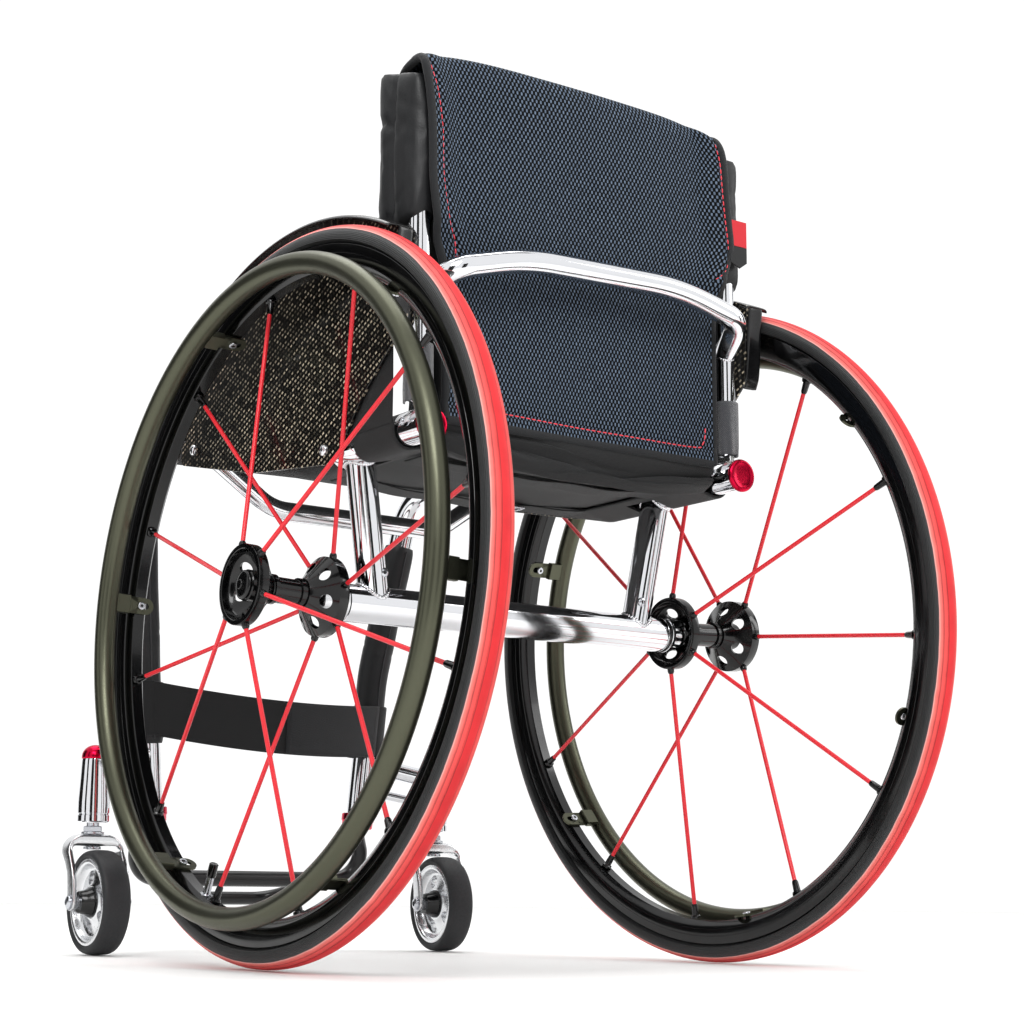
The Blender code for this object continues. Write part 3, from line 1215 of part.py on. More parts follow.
def frame(shop):
    axle_tube(shop)
    cross_tube(shop)
    footrest(shop)
    for label, side in SIDES.items():
        side_tube(shop, label, side)
        rail_cap(shop, label, side)
        strut(shop, label, side)
        camber_insert(shop, label, side)
        footrest_clamp(shop, label, side)


def main():
    shop = Workshop()
    frame(shop)
    castors(shop)
    for label, side in SIDES.items():
        rear_wheel(shop, label, side)
        side_guard(shop, label, side)
        tube_wrap(shop, label, side)
    seat_sling(shop)
    calf_strap(shop)
    backrest(shop)


if __name__ == "__main__":
    main()
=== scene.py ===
"""Looks of the rigid wheelchair: fine surfaces, finishes, soft goods, a pale studio and the camera.

Lengths are metres. Every class works in the axle frame: X to the user's right, Y forward from the
rear axle, Z up from the floor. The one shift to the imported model's frame is made in add_piece.
"""
from __future__ import annotations

import logging
import math
import sys
from collections.abc import Iterable, Sequence
from dataclasses import dataclass, field
from enum import Enum

import bmesh
import bpy
import numpy as np
from mathutils import Matrix, Vector

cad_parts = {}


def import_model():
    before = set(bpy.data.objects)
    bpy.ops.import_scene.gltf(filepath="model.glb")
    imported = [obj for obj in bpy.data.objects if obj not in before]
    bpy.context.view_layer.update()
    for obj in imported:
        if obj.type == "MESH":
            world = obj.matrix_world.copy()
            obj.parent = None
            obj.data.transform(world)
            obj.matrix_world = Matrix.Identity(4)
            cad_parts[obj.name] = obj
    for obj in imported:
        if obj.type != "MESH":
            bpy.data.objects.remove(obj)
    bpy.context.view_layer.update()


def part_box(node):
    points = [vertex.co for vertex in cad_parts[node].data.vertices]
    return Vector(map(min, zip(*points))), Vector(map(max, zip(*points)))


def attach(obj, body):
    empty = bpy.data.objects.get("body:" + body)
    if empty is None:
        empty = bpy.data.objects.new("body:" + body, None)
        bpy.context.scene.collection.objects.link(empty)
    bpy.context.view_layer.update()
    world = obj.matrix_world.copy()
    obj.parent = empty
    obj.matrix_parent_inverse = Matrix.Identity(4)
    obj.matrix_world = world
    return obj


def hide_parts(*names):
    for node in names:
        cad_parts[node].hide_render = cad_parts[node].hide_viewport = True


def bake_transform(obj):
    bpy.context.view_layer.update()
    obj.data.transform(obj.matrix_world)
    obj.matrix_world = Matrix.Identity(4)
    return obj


LOG = logging.getLogger("wheelchair")
SIDES = {"left": -1, "right": 1}
GAP = 0.0003                      # air left between two pieces that only touch
DOUBLED = 0.00002                 # points nearer than this are one point
ON_AXIS = 1e-5                    # radius that stands for a profile's end on its axis


class Finishes(Enum):
    """Names of the record's material slots; each new piece is passed one, but its finish comes with its
    skins.
    """

    TYRE = "tyre_red"
    RIM = "gloss_black"
    HANDRIM = "titanium_satin"
    SPOKES = "spoke_black_red"
    POLISHED = "polished"
    STEEL = "steel"
    RED = "red_anodised"
    BLACK_METAL = "black_metal"
    CASTOR_RUBBER = "castor_rubber"
    NYLON = "nylon"
    VINYL = "vinyl"
    MESH = "mesh_fabric"
    CARBON = "carbon"


def linear(colour: str) -> tuple[float, float, float, float]:
    """Turn an sRGB hex colour into linear red, green, blue and a full alpha.

    Args:
        colour: Six hex digits after a hash sign.

    Returns:
        The colour as Blender's shaders expect it.
    """
    parts = [int(colour[i:i + 2], 16) / 255 for i in (1, 3, 5)]
    straight = [part / 12.92 if part <= 0.04045 else ((part + 0.055) / 1.055) ** 2.4 for part in parts]
    return (*straight, 1.0)


def add(tree: bpy.types.NodeTree, kind: str, inputs: dict | None = None,
        **settings: object) -> bpy.types.Node:
    """Add a shader node with its settings, values and links.

    Args:
        tree: The material's or world's node tree.
        kind: The node's type without its ShaderNode prefix.
        inputs: Socket name or number to a value, or to the socket that feeds it.
        settings: The node's own properties.

    Returns:
        The new node.
    """
    node = tree.nodes.new("ShaderNode" + kind)
    for key, value in settings.items():
        setattr(node, key, value)
    for key, value in (inputs or {}).items():
        if isinstance(value, bpy.types.NodeSocket):
            tree.links.new(value, node.inputs[key])
        else:
            node.inputs[key].default_value = value
    return node


@dataclass(frozen=True)
class Finish:
    """A surface with the values of its Principled shader; subclasses draw its pattern."""

    name: str
    colour: str
    roughness: float = 0.5
    metallic: float = 0.0
    coat: float = 0.0
    sheen: float = 0.0
    glare: float = 0.5            # the shader's specular level; open cloth traps most of it

    def material(self) -> bpy.types.Material:
        """Make the material once and reuse it.

        Returns:
            The material with its pattern.
        """
        found = bpy.data.materials.get(self.name)
        if found:
            return found
        made = bpy.data.materials.new(self.name)
        made.use_nodes = True
        tree = made.node_tree
        shader = tree.nodes["Principled BSDF"]
        shader.inputs["Base Color"].default_value = linear(self.colour)
        shader.inputs["Roughness"].default_value = self.roughness
        shader.inputs["Metallic"].default_value = self.metallic
        shader.inputs["Coat Weight"].default_value = self.coat
        shader.inputs["Coat Roughness"].default_value = 0.04
        shader.inputs["Sheen Weight"].default_value = self.sheen
        shader.inputs["Sheen Roughness"].default_value = 0.4
        shader.inputs["Specular IOR Level"].default_value = self.glare
        self.pattern(tree, shader)
        made.diffuse_color = linear(self.colour)
        return made

    def pattern(self, tree: bpy.types.NodeTree, shader: bpy.types.Node) -> None:
        """Leave the plain values as they are.

        Args:
            tree: The material's nodes.
            shader: Its Principled shader.
        """

    def bump(self, tree: bpy.types.NodeTree, shader: bpy.types.Node, height: bpy.types.NodeSocket,
             depth: float) -> None:
        """Raise the surface by a height pattern.

        Args:
            tree: The material's nodes.
            shader: Its Principled shader.
            height: The pattern, from 0 to 1.
            depth: Its full height in metres.
        """
        node = add(tree, "Bump", {"Height": height, "Distance": depth, "Strength": 1.0})
        tree.links.new(node.outputs["Normal"], shader.inputs["Normal"])

    def waves(self, tree: bpy.types.NodeTree, sizes: Sequence[float], kind: str) -> bpy.types.NodeSocket:
        """Multiply a wave along the UV map's u by one along its v.

        Args:
            tree: The material's nodes.
            sizes: Length of each wave in metres.
            kind: SINE or COSINE.

        Returns:
            The product, from -1 to 1.
        """
        split = add(tree, "SeparateXYZ", {0: add(tree, "UVMap").outputs[0]})
        parts = []
        for axis, size in enumerate(sizes):
            turns = add(tree, "Math", {0: split.outputs[axis], 1: 2 * math.pi / size}, operation="MULTIPLY")
            parts.append(add(tree, "Math", {0: turns.outputs[0]}, operation=kind).outputs[0])
        return add(tree, "Math", {0: parts[0], 1: parts[1]}, operation="MULTIPLY").outputs[0]


@dataclass(frozen=True)
class BuffedMetal(Finish):
    """Metal polished or satin-finished by a wheel: fine haze changes its roughness from place to place."""

    haze: float = 0.05
    grain: float = 0.004          # size of the haze patches
    relief: float = 0.000004      # depth of the finest waviness

    def pattern(self, tree: bpy.types.NodeTree, shader: bpy.types.Node) -> None:
        """Vary the roughness with the product of two noises, one fine and one broad.

        Args:
            tree: The material's nodes.
            shader: Its Principled shader.
        """
        place = add(tree, "TexCoord").outputs["Object"]
        fine = add(tree, "TexNoise", {"Vector": place, "Scale": 1 / self.grain, "Detail": 4.0})
        broad = add(tree, "TexNoise", {"Vector": place, "Scale": 14.0, "Detail": 2.0})
        mixed = add(tree, "Math", {0: fine.outputs[0], 1: broad.outputs[0]}, operation="MULTIPLY")
        rough = add(tree, "MapRange", {"Value": mixed.outputs[0], "From Min": 0.15, "From Max": 0.40,
                                       "To Min": self.roughness, "To Max": self.roughness + self.haze})
        tree.links.new(rough.outputs[0], shader.inputs["Roughness"])
        self.bump(tree, shader, fine.outputs[0], self.relief)


@dataclass(frozen=True)
class SprayedPaint(Finish):
    """Powder coat or gloss paint: a slight orange peel under a clear skin."""

    peel: float = 0.0012

    def pattern(self, tree: bpy.types.NodeTree, shader: bpy.types.Node) -> None:
        """Raise a shallow noise.

        Args:
            tree: The material's nodes.
            shader: Its Principled shader.
        """
        place = add(tree, "TexCoord").outputs["Object"]
        peel = add(tree, "TexNoise", {"Vector": place, "Scale": 1 / self.peel, "Detail": 1.0})
        self.bump(tree, shader, peel.outputs[0], 0.000012)
        mottle = add(tree, "TexNoise", {"Vector": place, "Scale": 30.0, "Detail": 5.0})
        rough = add(tree, "MapRange", {"Value": mottle.outputs[0], "From Min": 0.4, "From Max": 0.75,
                                       "To Min": self.roughness, "To Max": self.roughness + 0.10})
        tree.links.new(rough.outputs[0], shader.inputs["Roughness"])


@dataclass(frozen=True)
class TyreRubber(Finish):
    """Two-colour cycle tyre: a coloured tread band, with a painted highlight towards its edges and painted
    shade in its grooves, between dark, finely filed side walls.

    The piece's UV map runs round the tyre in metres (u) and across it in metres from the crown (v).
    """

    # distance from the crown in mm and colour: the red pales to pink from 4.9 to 12.5 mm as a painted
    # highlight, and darkens over the grooves at 4.4 and 8.7 mm as painted shade; from 12.9 mm the walls
    # darken towards the bead
    tones_with_painted_light: tuple = ((0.0, "#CE252B"), (4.1, "#D02B31"), (4.4, "#86191E"), (4.9, "#DA4B49"), (8.3, "#DC5552"),
                    (8.7, "#9C3A39"), (9.2, "#DF625D"), (11.4, "#E07A73"), (12.5, "#E8A9A2"),
                    (12.9, "#5A4C4C"), (13.4, "#454647"), (15.5, "#3C3D3E"), (17.5, "#2B2C2D"),
                    (22.0, "#1D1E1F"))
    ribs: tuple = ((0.0, "#FFFFFF"), (4.1, "#FFFFFF"), (4.5, "#000000"), (4.9, "#FFFFFF"), (8.3, "#FFFFFF"),
                   (8.7, "#000000"), (9.1, "#FFFFFF"), (14.0, "#FFFFFF"))
    tread_half: float = 0.0132    # from the crown to the colour's edge, along the section
    file_pitch: float = 0.0017    # drawn coarser than the real 1 mm so that it shows

    def pattern(self, tree: bpy.types.NodeTree, shader: bpy.types.Node) -> None:
        """Split the colours at the tread's edge, with painted light and shade on the tread; file the walls
        and groove the tread.

        Args:
            tree: The material's nodes.
            shader: Its Principled shader.
        """
        split = add(tree, "SeparateXYZ", {0: add(tree, "UVMap").outputs[0]})
        along, across = split.outputs[0], split.outputs[1]
        off = add(tree, "Math", {0: across}, operation="ABSOLUTE").outputs[0]
        noise = add(tree, "TexNoise", {"Vector": add(tree, "TexCoord").outputs["Object"], "Scale": 60.0,
                                       "Detail": 6.0})
        edge = add(tree, "Math", {0: noise.outputs[0], 1: 0.0012}, operation="MULTIPLY").outputs[0]
        shifted = add(tree, "Math", {0: off, 1: edge}, operation="ADD").outputs[0]
        wall = add(tree, "MapRange", {"Value": shifted, "From Min": self.tread_half,
                                      "From Max": self.tread_half + 0.0006}).outputs[0]
        # the tones carry the painted highlight and the painted groove shade; the noise below adds random
        # mottle
        tones_with_painted_light = self.banded(tree, shifted, self.tones_with_painted_light)
        shade = add(tree, "MapRange", {"Value": noise.outputs[0], "From Min": 0.3, "From Max": 0.7,
                                       "To Min": 0.90, "To Max": 1.04}).outputs[0]
        mottle = add(tree, "Mix", {"Factor": 1.0, 6: tones_with_painted_light, 7: shade}, data_type="RGBA", blend_type="MULTIPLY")
        tree.links.new(mottle.outputs[2], shader.inputs["Base Color"])
        turns = add(tree, "Math", {0: along, 1: 2 * math.pi / self.file_pitch}, operation="MULTIPLY")
        lean = add(tree, "Math", {0: across, 1: 2 * math.pi / (1.6 * self.file_pitch)}, operation="MULTIPLY")
        one = add(tree, "Math", {0: turns.outputs[0], 1: lean.outputs[0]}, operation="ADD")
        two = add(tree, "Math", {0: turns.outputs[0], 1: lean.outputs[0]}, operation="SUBTRACT")
        waves = [add(tree, "Math", {0: phase.outputs[0]}, operation="SINE").outputs[0]
                 for phase in (one, two)]
        diamonds = add(tree, "Math", {0: waves[0], 1: waves[1]}, operation="MULTIPLY").outputs[0]
        filed = add(tree, "Math", {0: diamonds, 1: wall}, operation="MULTIPLY").outputs[0]
        ribs = self.banded(tree, off, self.ribs)
        height = add(tree, "Math", {0: filed, 1: ribs}, operation="ADD").outputs[0]
        rough = add(tree, "MapRange", {"Value": wall, "To Min": 0.62, "To Max": 0.42}).outputs[0]
        tree.links.new(rough, shader.inputs["Roughness"])
        self.bump(tree, shader, height, 0.00035)

    def banded(self, tree: bpy.types.NodeTree, off: bpy.types.NodeSocket,
               bands: Sequence[tuple[float, str]]) -> bpy.types.NodeSocket:
        """Give every distance from the crown its own colour.

        Args:
            tree: The material's nodes.
            off: Distance from the crown in metres.
            bands: Distance in millimetres and colour of each stop.

        Returns:
            The colour.
        """
        reach = bands[-1][0]
        share = add(tree, "MapRange", {"Value": off, "From Max": reach / 1000}).outputs[0]
        node = add(tree, "ValToRGB", {0: share})
        ramp = node.color_ramp
        while len(ramp.elements) > 1:
            ramp.elements.remove(ramp.elements[-1])
        ramp.elements[0].position = 0.0
        ramp.elements[0].color = linear(bands[0][1])
        for place, colour in bands[1:]:
            ramp.elements.new(place / reach).color = linear(colour)
        return node.outputs[0]


@dataclass(frozen=True)
class SpacerMesh(Finish):
    """Warp-knitted spacer fabric: staggered cells painted near-black as the shade inside them, between
    blue-grey strands. UV in metres.
    """

    cell: tuple[float, float] = (0.0040, 0.0066)
    pale: str = "#8292A6"
    # near-black painted into the open cells as the shade inside them
    hole: str = "#040506"

    def pattern(self, tree: bpy.types.NodeTree, shader: bpy.types.Node) -> None:
        """Paint shade into the cells where the product of two cosines is positive: staggered ovals.

        Args:
            tree: The material's nodes.
            shader: Its Principled shader.
        """
        cells = self.waves(tree, self.cell, "COSINE")
        open_part = add(tree, "MapRange", {"Value": cells, "From Min": -0.30, "From Max": 0.02}).outputs[0]
        place = add(tree, "TexCoord").outputs["Object"]
        yarn = add(tree, "TexNoise", {"Vector": place, "Scale": 420.0, "Detail": 3.0}).outputs[0]
        strand = add(tree, "Mix", {"Factor": yarn, 6: linear(self.colour), 7: linear(self.pale)},
                     data_type="RGBA").outputs[2]
        mixed = add(tree, "Mix", {"Factor": open_part, 6: strand, 7: linear(self.hole)}, data_type="RGBA")
        tree.links.new(mixed.outputs[2], shader.inputs["Base Color"])
        height = add(tree, "Math", {0: 1.0, 1: open_part}, operation="SUBTRACT").outputs[0]
        self.bump(tree, shader, height, 0.0007)


@dataclass(frozen=True)
class Woven(Finish):
    """Woven webbing or cloth: over-and-under threads, drawn from the UV map in metres."""

    thread: float = 0.0012
    depth: float = 0.00020
    fuzz: float = 0.0

    def pattern(self, tree: bpy.types.NodeTree, shader: bpy.types.Node) -> None:
        """Raise crossing threads with the product of two sines, plus loose fibre where it is fuzzy, and paint
        shade into the hollows and a highlight on the crossings.

        Args:
            tree: The material's nodes.
            shader: Its Principled shader.
        """
        weave = self.waves(tree, (self.thread, self.thread), "SINE")
        place = add(tree, "TexCoord").outputs["Object"]
        fibre = add(tree, "TexNoise", {"Vector": place, "Scale": 900.0, "Detail": 4.0}).outputs[0]
        loose = add(tree, "Math", {0: fibre, 1: self.fuzz}, operation="MULTIPLY").outputs[0]
        height = add(tree, "Math", {0: weave, 1: loose}, operation="ADD").outputs[0]
        # the colour follows the height: painted shade in the hollows between threads and a painted highlight
        # on their crossings; the fuzz adds random fibre tone
        shade = add(tree, "MapRange", {"Value": height, "From Min": -1.0, "To Min": 0.55,
                                       "To Max": 1.25}).outputs[0]
        tint = add(tree, "Mix", {"Factor": 1.0, 6: linear(self.colour), 7: shade}, data_type="RGBA",
                   blend_type="MULTIPLY").outputs[2]
        tree.links.new(tint, shader.inputs["Base Color"])
        self.bump(tree, shader, height, self.depth)


@dataclass(frozen=True)
class GrainedVinyl(Finish):
    """Calendered vinyl on a knit backing: a pebbled grain that breaks up its sheen."""

    grain: float = 0.0014
    depth: float = 0.00007

    def pattern(self, tree: bpy.types.NodeTree, shader: bpy.types.Node) -> None:
        """Raise small pebbles and rub the gloss unevenly.

        Args:
            tree: The material's nodes.
            shader: Its Principled shader.
        """
        place = add(tree, "TexCoord").outputs["Object"]
        pebble = add(tree, "TexVoronoi", {"Vector": place, "Scale": 1 / self.grain}).outputs["Distance"]
        broad = add(tree, "TexNoise", {"Vector": place, "Scale": 38.0, "Detail": 5.0}).outputs[0]
        rough = add(tree, "MapRange", {"Value": broad, "From Min": 0.3, "From Max": 0.7,
                                       "To Min": self.roughness, "To Max": self.roughness + 0.16}).outputs[0]
        tree.links.new(rough, shader.inputs["Roughness"])
        self.bump(tree, shader, pebble, self.depth)


@dataclass(frozen=True)
class CarbonTwill(Finish):
    """Carbon cloth under clear resin: slanting rows of tows with painted glints on black, in Object
    coordinates.
    """

    row: float = 0.0047           # from one slanting row to the next
    dash: float = 0.0048          # one bright and one dark tow along a row
    slant: float = math.radians(27.5)
    bright: str = "#D8CCB4"

    def pattern(self, tree: bpy.types.NodeTree, shader: bpy.types.Node) -> None:
        """Cut the plane into rows, each row into tows, and paint every tow a glint of its own strength.

        Args:
            tree: The material's nodes.
            shader: Its Principled shader.
        """
        place = add(tree, "TexCoord").outputs["Object"]
        turned_place = add(tree, "Mapping", {"Vector": place, "Rotation": (self.slant, 0, 0)}).outputs[0]
        split = add(tree, "SeparateXYZ", {0: turned_place})
        step = add(tree, "Math", {0: split.outputs[2], 1: self.row}, operation="DIVIDE").outputs[0]
        rank = add(tree, "Math", {0: step}, operation="FLOOR").outputs[0]
        inside = add(tree, "Math", {0: step}, operation="FRACT").outputs[0]
        run = add(tree, "Math", {0: split.outputs[1], 1: self.dash}, operation="DIVIDE").outputs[0]
        shift = add(tree, "Math", {0: rank, 1: 0.37}, operation="MULTIPLY").outputs[0]
        moved = add(tree, "Math", {0: run, 1: shift}, operation="ADD").outputs[0]
        number = add(tree, "Math", {0: moved}, operation="FLOOR").outputs[0]
        part = add(tree, "Math", {0: moved}, operation="FRACT").outputs[0]
        masks = []
        for value, half in ((part, 0.24), (inside, 0.12)):
            off = add(tree, "Math", {0: value, 1: 0.5}, operation="SUBTRACT").outputs[0]
            size = add(tree, "Math", {0: off}, operation="ABSOLUTE").outputs[0]
            masks.append(add(tree, "MapRange", {"Value": size, "From Min": half + 0.12,
                                                "From Max": half}).outputs[0])
        seed = add(tree, "CombineXYZ", {0: number, 1: rank}).outputs[0]
        chance = add(tree, "TexWhiteNoise", {"Vector": seed}).outputs[0]
        # how strongly each tow's painted glint shows
        painted_glint_strength = add(tree, "MapRange", {"Value": chance, "From Min": 0.15, "To Min": 0.05,
                                      "To Max": 0.9}).outputs[0]
        spot = add(tree, "Math", {0: masks[0], 1: masks[1]}, operation="MULTIPLY").outputs[0]
        mask = add(tree, "Math", {0: spot, 1: painted_glint_strength}, operation="MULTIPLY").outputs[0]
        colour = add(tree, "Mix", {"Factor": mask, 6: linear(self.colour), 7: linear(self.bright)},
                     data_type="RGBA").outputs[2]
        tree.links.new(colour, shader.inputs["Base Color"])


@dataclass
class Skin:
    """One surface: points, faces and a pattern place for each face corner."""

    points: np.ndarray
    faces: list
    uv: list

    def moved(self, place: Matrix | np.ndarray) -> Skin:
        """Carry the surface to its place.

        Args:
            place: A 4 by 4 matrix.

        Returns:
            The same surface, moved.
        """
        table = np.array(place)
        return Skin(self.points @ table[:3, :3].T + table[:3, 3], self.faces, self.uv)


def grid(points: np.ndarray, rows: np.ndarray | None = None, columns: np.ndarray | None = None, *,
         wrap_rows: bool = False, wrap_columns: bool = False, caps: bool = False) -> Skin:
    """Skin a grid of points: every four neighbours make one face.

    Args:
        points: Array of rows by columns by 3.
        rows: The v coordinate of each row, with one more value where rows wrap.
        columns: The u coordinate of each column, with one more value where columns wrap.
        wrap_rows: Join the last row to the first.
        wrap_columns: Join the last column to the first.
        caps: Close the first and the last row with a face each.

    Returns:
        The surface.
    """
    high, wide = points.shape[:2]
    rows = np.arange(high + 1.0) if rows is None else np.asarray(rows, dtype=float)
    columns = np.arange(wide + 1.0) if columns is None else np.asarray(columns, dtype=float)
    i, j = np.meshgrid(np.arange(high - (not wrap_rows)), np.arange(wide - (not wrap_columns)), indexing="ij")
    i, j = i.ravel(), j.ravel()
    down, over = (i + 1) % high, (j + 1) % wide
    faces = np.stack([i * wide + j, i * wide + over, down * wide + over, down * wide + j], axis=1).tolist()
    corners = [(i, j), (i, j + 1), (i + 1, j + 1), (i + 1, j)]
    uv = np.stack([np.stack([columns[b], rows[a]], axis=1) for a, b in corners], axis=1).tolist()
    if caps:
        first, last = list(range(wide))[::-1], list(range((high - 1) * wide, high * wide))
        faces += [first, last]
        uv += [[[0.0, 0.0]] * wide, [[0.0, 0.0]] * wide]
    return Skin(points.reshape(-1, 3), faces, uv)


def turned(profile: Sequence[tuple[float, float]], steps: int = 96, closed: bool = False) -> Skin:
    """Turn a profile about Z: a point at radius r and height h goes to (r cos t, r sin t, h).

    Args:
        profile: Radius and height of each point.
        steps: Number of points round the axis.
        closed: Whether the profile is a loop; if not, ends off the axis are left open.

    Returns:
        The surface, with u round it and v along the profile, both in metres.
    """
    pairs = np.array(profile, dtype=float)
    turn = np.linspace(0, 2 * np.pi, steps, endpoint=False)
    radius, height = pairs[:, :1], pairs[:, 1:]
    points = np.stack([radius * np.cos(turn), radius * np.sin(turn), height + 0 * turn], axis=2)
    walk = walked(pairs)
    round_it = np.linspace(0, 2 * np.pi * pairs[:, 0].max(), steps + 1)
    return grid(points, np.append(walk, walk[-1] + 0.001), round_it, wrap_rows=closed, wrap_columns=True)


def walked(path: np.ndarray) -> np.ndarray:
    """Distance walked along a path up to each of its points."""
    return np.append(0.0, np.cumsum(np.linalg.norm(np.diff(path, axis=0), axis=1)))


def along(path: np.ndarray, up: Vector | None = None) -> tuple[np.ndarray, np.ndarray]:
    """Carry a pair of cross directions along a path without twist.

    Args:
        path: The path's points.
        up: A rough direction for the first side vector.

    Returns:
        The two side vectors at each point. Each is the last one with its part along the path taken out.
    """
    tangent = np.gradient(path, axis=0)
    tangent /= np.linalg.norm(tangent, axis=1)[:, None]
    start = np.array(up if up is not None else (0.13, 0.21, 0.97), dtype=float)
    sides = []
    for direction in tangent:
        start = start - direction * np.dot(start, direction)
        start = start / np.linalg.norm(start)
        sides.append(start)
    side = np.array(sides)
    return side, np.cross(tangent, side)


def piped(path: np.ndarray, radius: float | np.ndarray, sides: int = 32, *, closed: bool = False,
          section: np.ndarray | None = None, up: Sequence[float] | None = None) -> Skin:
    """Carry a round or given section along a path: centre + radius (a cos t + b sin t).

    Args:
        path: The path's points.
        radius: The radius, or one for each point.
        sides: Number of points round a round section.
        closed: Whether the path is a loop.
        section: Unit section of its own, as pairs.
        up: A rough direction for the section's first axis.

    Returns:
        The surface, capped at its ends unless it is a loop, with v along the path and u round it.
    """
    path = np.array([tuple(point) for point in path], dtype=float)
    side, other = along(path, up)
    if section is None:
        turn = np.linspace(0, 2 * np.pi, sides, endpoint=False)
        section = np.stack([np.cos(turn), np.sin(turn)], axis=1)
    radii = np.broadcast_to(np.asarray(radius, dtype=float), (len(path),))[:, None, None]
    points = path[:, None] + radii * (section[:, :1] * side[:, None] + section[:, 1:] * other[:, None])
    walk = walked(path)
    girth = 2 * np.pi * float(np.max(radii))
    return grid(points, np.append(walk, walk[-1] + 0.001), np.linspace(0, girth, len(section) + 1),
                wrap_rows=closed, wrap_columns=True, caps=not closed)


def bent(corners: Iterable[Sequence[float]], radii: Sequence[float], step: float = 0.05) -> np.ndarray:
    """Path through corners that are rounded to arcs, with points where it is straight too.

    Args:
        corners: The path's corners.
        radii: Bend radius at each inner corner.
        step: Angle between points on an arc, in radians.

    Returns:
        The path's points. An arc starts and ends at radius / tan(half the corner's angle) from its corner.
    """
    spots = [np.array(tuple(corner), dtype=float) for corner in corners]
    path = [spots[0]]
    for before, corner, after, radius in zip(spots, spots[1:], spots[2:], radii):
        back, ahead = before - corner, after - corner
        back, ahead = back / np.linalg.norm(back), ahead / np.linalg.norm(ahead)
        half = math.acos(float(np.clip(np.dot(back, ahead), -1, 1))) / 2
        reach, hub = radius / math.tan(half), radius / math.sin(half)
        middle = (back + ahead) / np.linalg.norm(back + ahead)
        centre = corner + middle * hub
        side = back - middle * np.dot(back, middle)
        side /= np.linalg.norm(side)
        sweep = math.pi / 2 - half
        count = max(2, int(2 * sweep / step))
        for angle in np.linspace(-sweep, sweep, count + 1):
            path.append(centre - radius * (middle * math.cos(angle) + side * math.sin(angle)))
        if np.linalg.norm(path[-count - 1] - (corner + back * reach)) > 1e-6:
            path[-count - 1:] = path[-count - 1:][::-1]
    path.append(spots[-1])
    return refined(np.array(path), 0.02)


def refined(path: np.ndarray, longest: float) -> np.ndarray:
    """Add evenly spaced points where two neighbours are far apart.

    Args:
        path: The path's points.
        longest: The longest step to leave.

    Returns:
        The finer path.
    """
    made = [path[:1]]
    for start, end in zip(path, path[1:]):
        count = max(1, math.ceil(np.linalg.norm(end - start) / longest))
        share = np.linspace(0, 1, count + 1)[1:, None]
        made.append(start + (end - start) * share)
    return np.concatenate(made)


def smoothed(points: Sequence[Sequence[float]], count: int) -> np.ndarray:
    """Curve through the points: each span blends its four neighbours with cubic weights.

    Args:
        points: Points that the curve passes.
        count: Points on each span.

    Returns:
        The curve's points.
    """
    knots = np.array([tuple(point) for point in points], dtype=float)
    ring = np.concatenate([2 * knots[:1] - knots[1:2], knots, 2 * knots[-1:] - knots[-2:-1]])
    t = np.linspace(0, 1, count, endpoint=False)[:, None]
    spans = []
    for p0, p1, p2, p3 in zip(ring, ring[1:], ring[2:], ring[3:]):
        spans.append(0.5 * (2 * p1 + (p2 - p0) * t + (2 * p0 - 5 * p1 + 4 * p2 - p3) * t ** 2
                            + (3 * p1 - p0 - 3 * p2 + p3) * t ** 3))
    return np.concatenate([*spans, knots[-1:]])


def aimed(origin: Sequence[float], direction: Sequence[float], up: Sequence[float] = (0, 0, 1)) -> Matrix:
    """Matrix whose Z runs along a direction and whose Y leans towards up.

    Args:
        origin: Where its origin goes.
        direction: Its Z axis.
        up: Where its Y axis leans.

    Returns:
        The 4 by 4 matrix.
    """
    z = Vector(direction).normalized()
    x = Vector(up).cross(z)
    x = Vector((1, 0, 0)) if x.length < 1e-6 else x.normalized()
    return Matrix.Translation(Vector(origin)) @ Matrix((x, z.cross(x), z)).transposed().to_4x4()


def upright(x: float = 0.0, side: int = 1) -> Matrix:
    """Stand a flat outline up along the chair: (y, z, height) goes to (x + side times height, y, z).

    Args:
        x: Where the outline's plane goes.
        side: 1 if its height runs to the right and -1 if it runs to the left.

    Returns:
        The 4 by 4 matrix.
    """
    return Matrix(((0, 0, side, x), (1, 0, 0, 0), (0, 1, 0, 0), (0, 0, 0, 1)))


def arc(radius: float, angles: Iterable[float], across: float = 0.0,
        up: float = 0.0) -> list[tuple[float, float]]:
    """Points of an arc: (across + radius cos a, up + radius sin a) for every angle a.

    Args:
        radius: The arc's radius.
        angles: The angles, in order.
        across: First coordinate of its centre.
        up: Second coordinate of its centre.

    Returns:
        The points.
    """
    return [(across + radius * math.cos(a), up + radius * math.sin(a)) for a in angles]


def rounded(low: float, high: float, radius: float, edge: float, steps: int = 4) -> list[tuple[float, float]]:
    """Profile of a cylinder with rounded edges, from its bottom's centre to its top's centre.

    Args:
        low: Height of the bottom.
        high: Height of the top.
        radius: The cylinder's radius.
        edge: Radius of the rounding.
        steps: Points on each rounding.

    Returns:
        Radius and height pairs.
    """
    turn = np.linspace(0, np.pi / 2, steps + 1)
    lower = [(radius - edge + edge * math.sin(a), low + edge - edge * math.cos(a)) for a in turn]
    upper = [(radius - edge + edge * math.cos(a), high - edge + edge * math.sin(a)) for a in turn]
    return [(ON_AXIS, low), *lower, *upper, (ON_AXIS, high)]


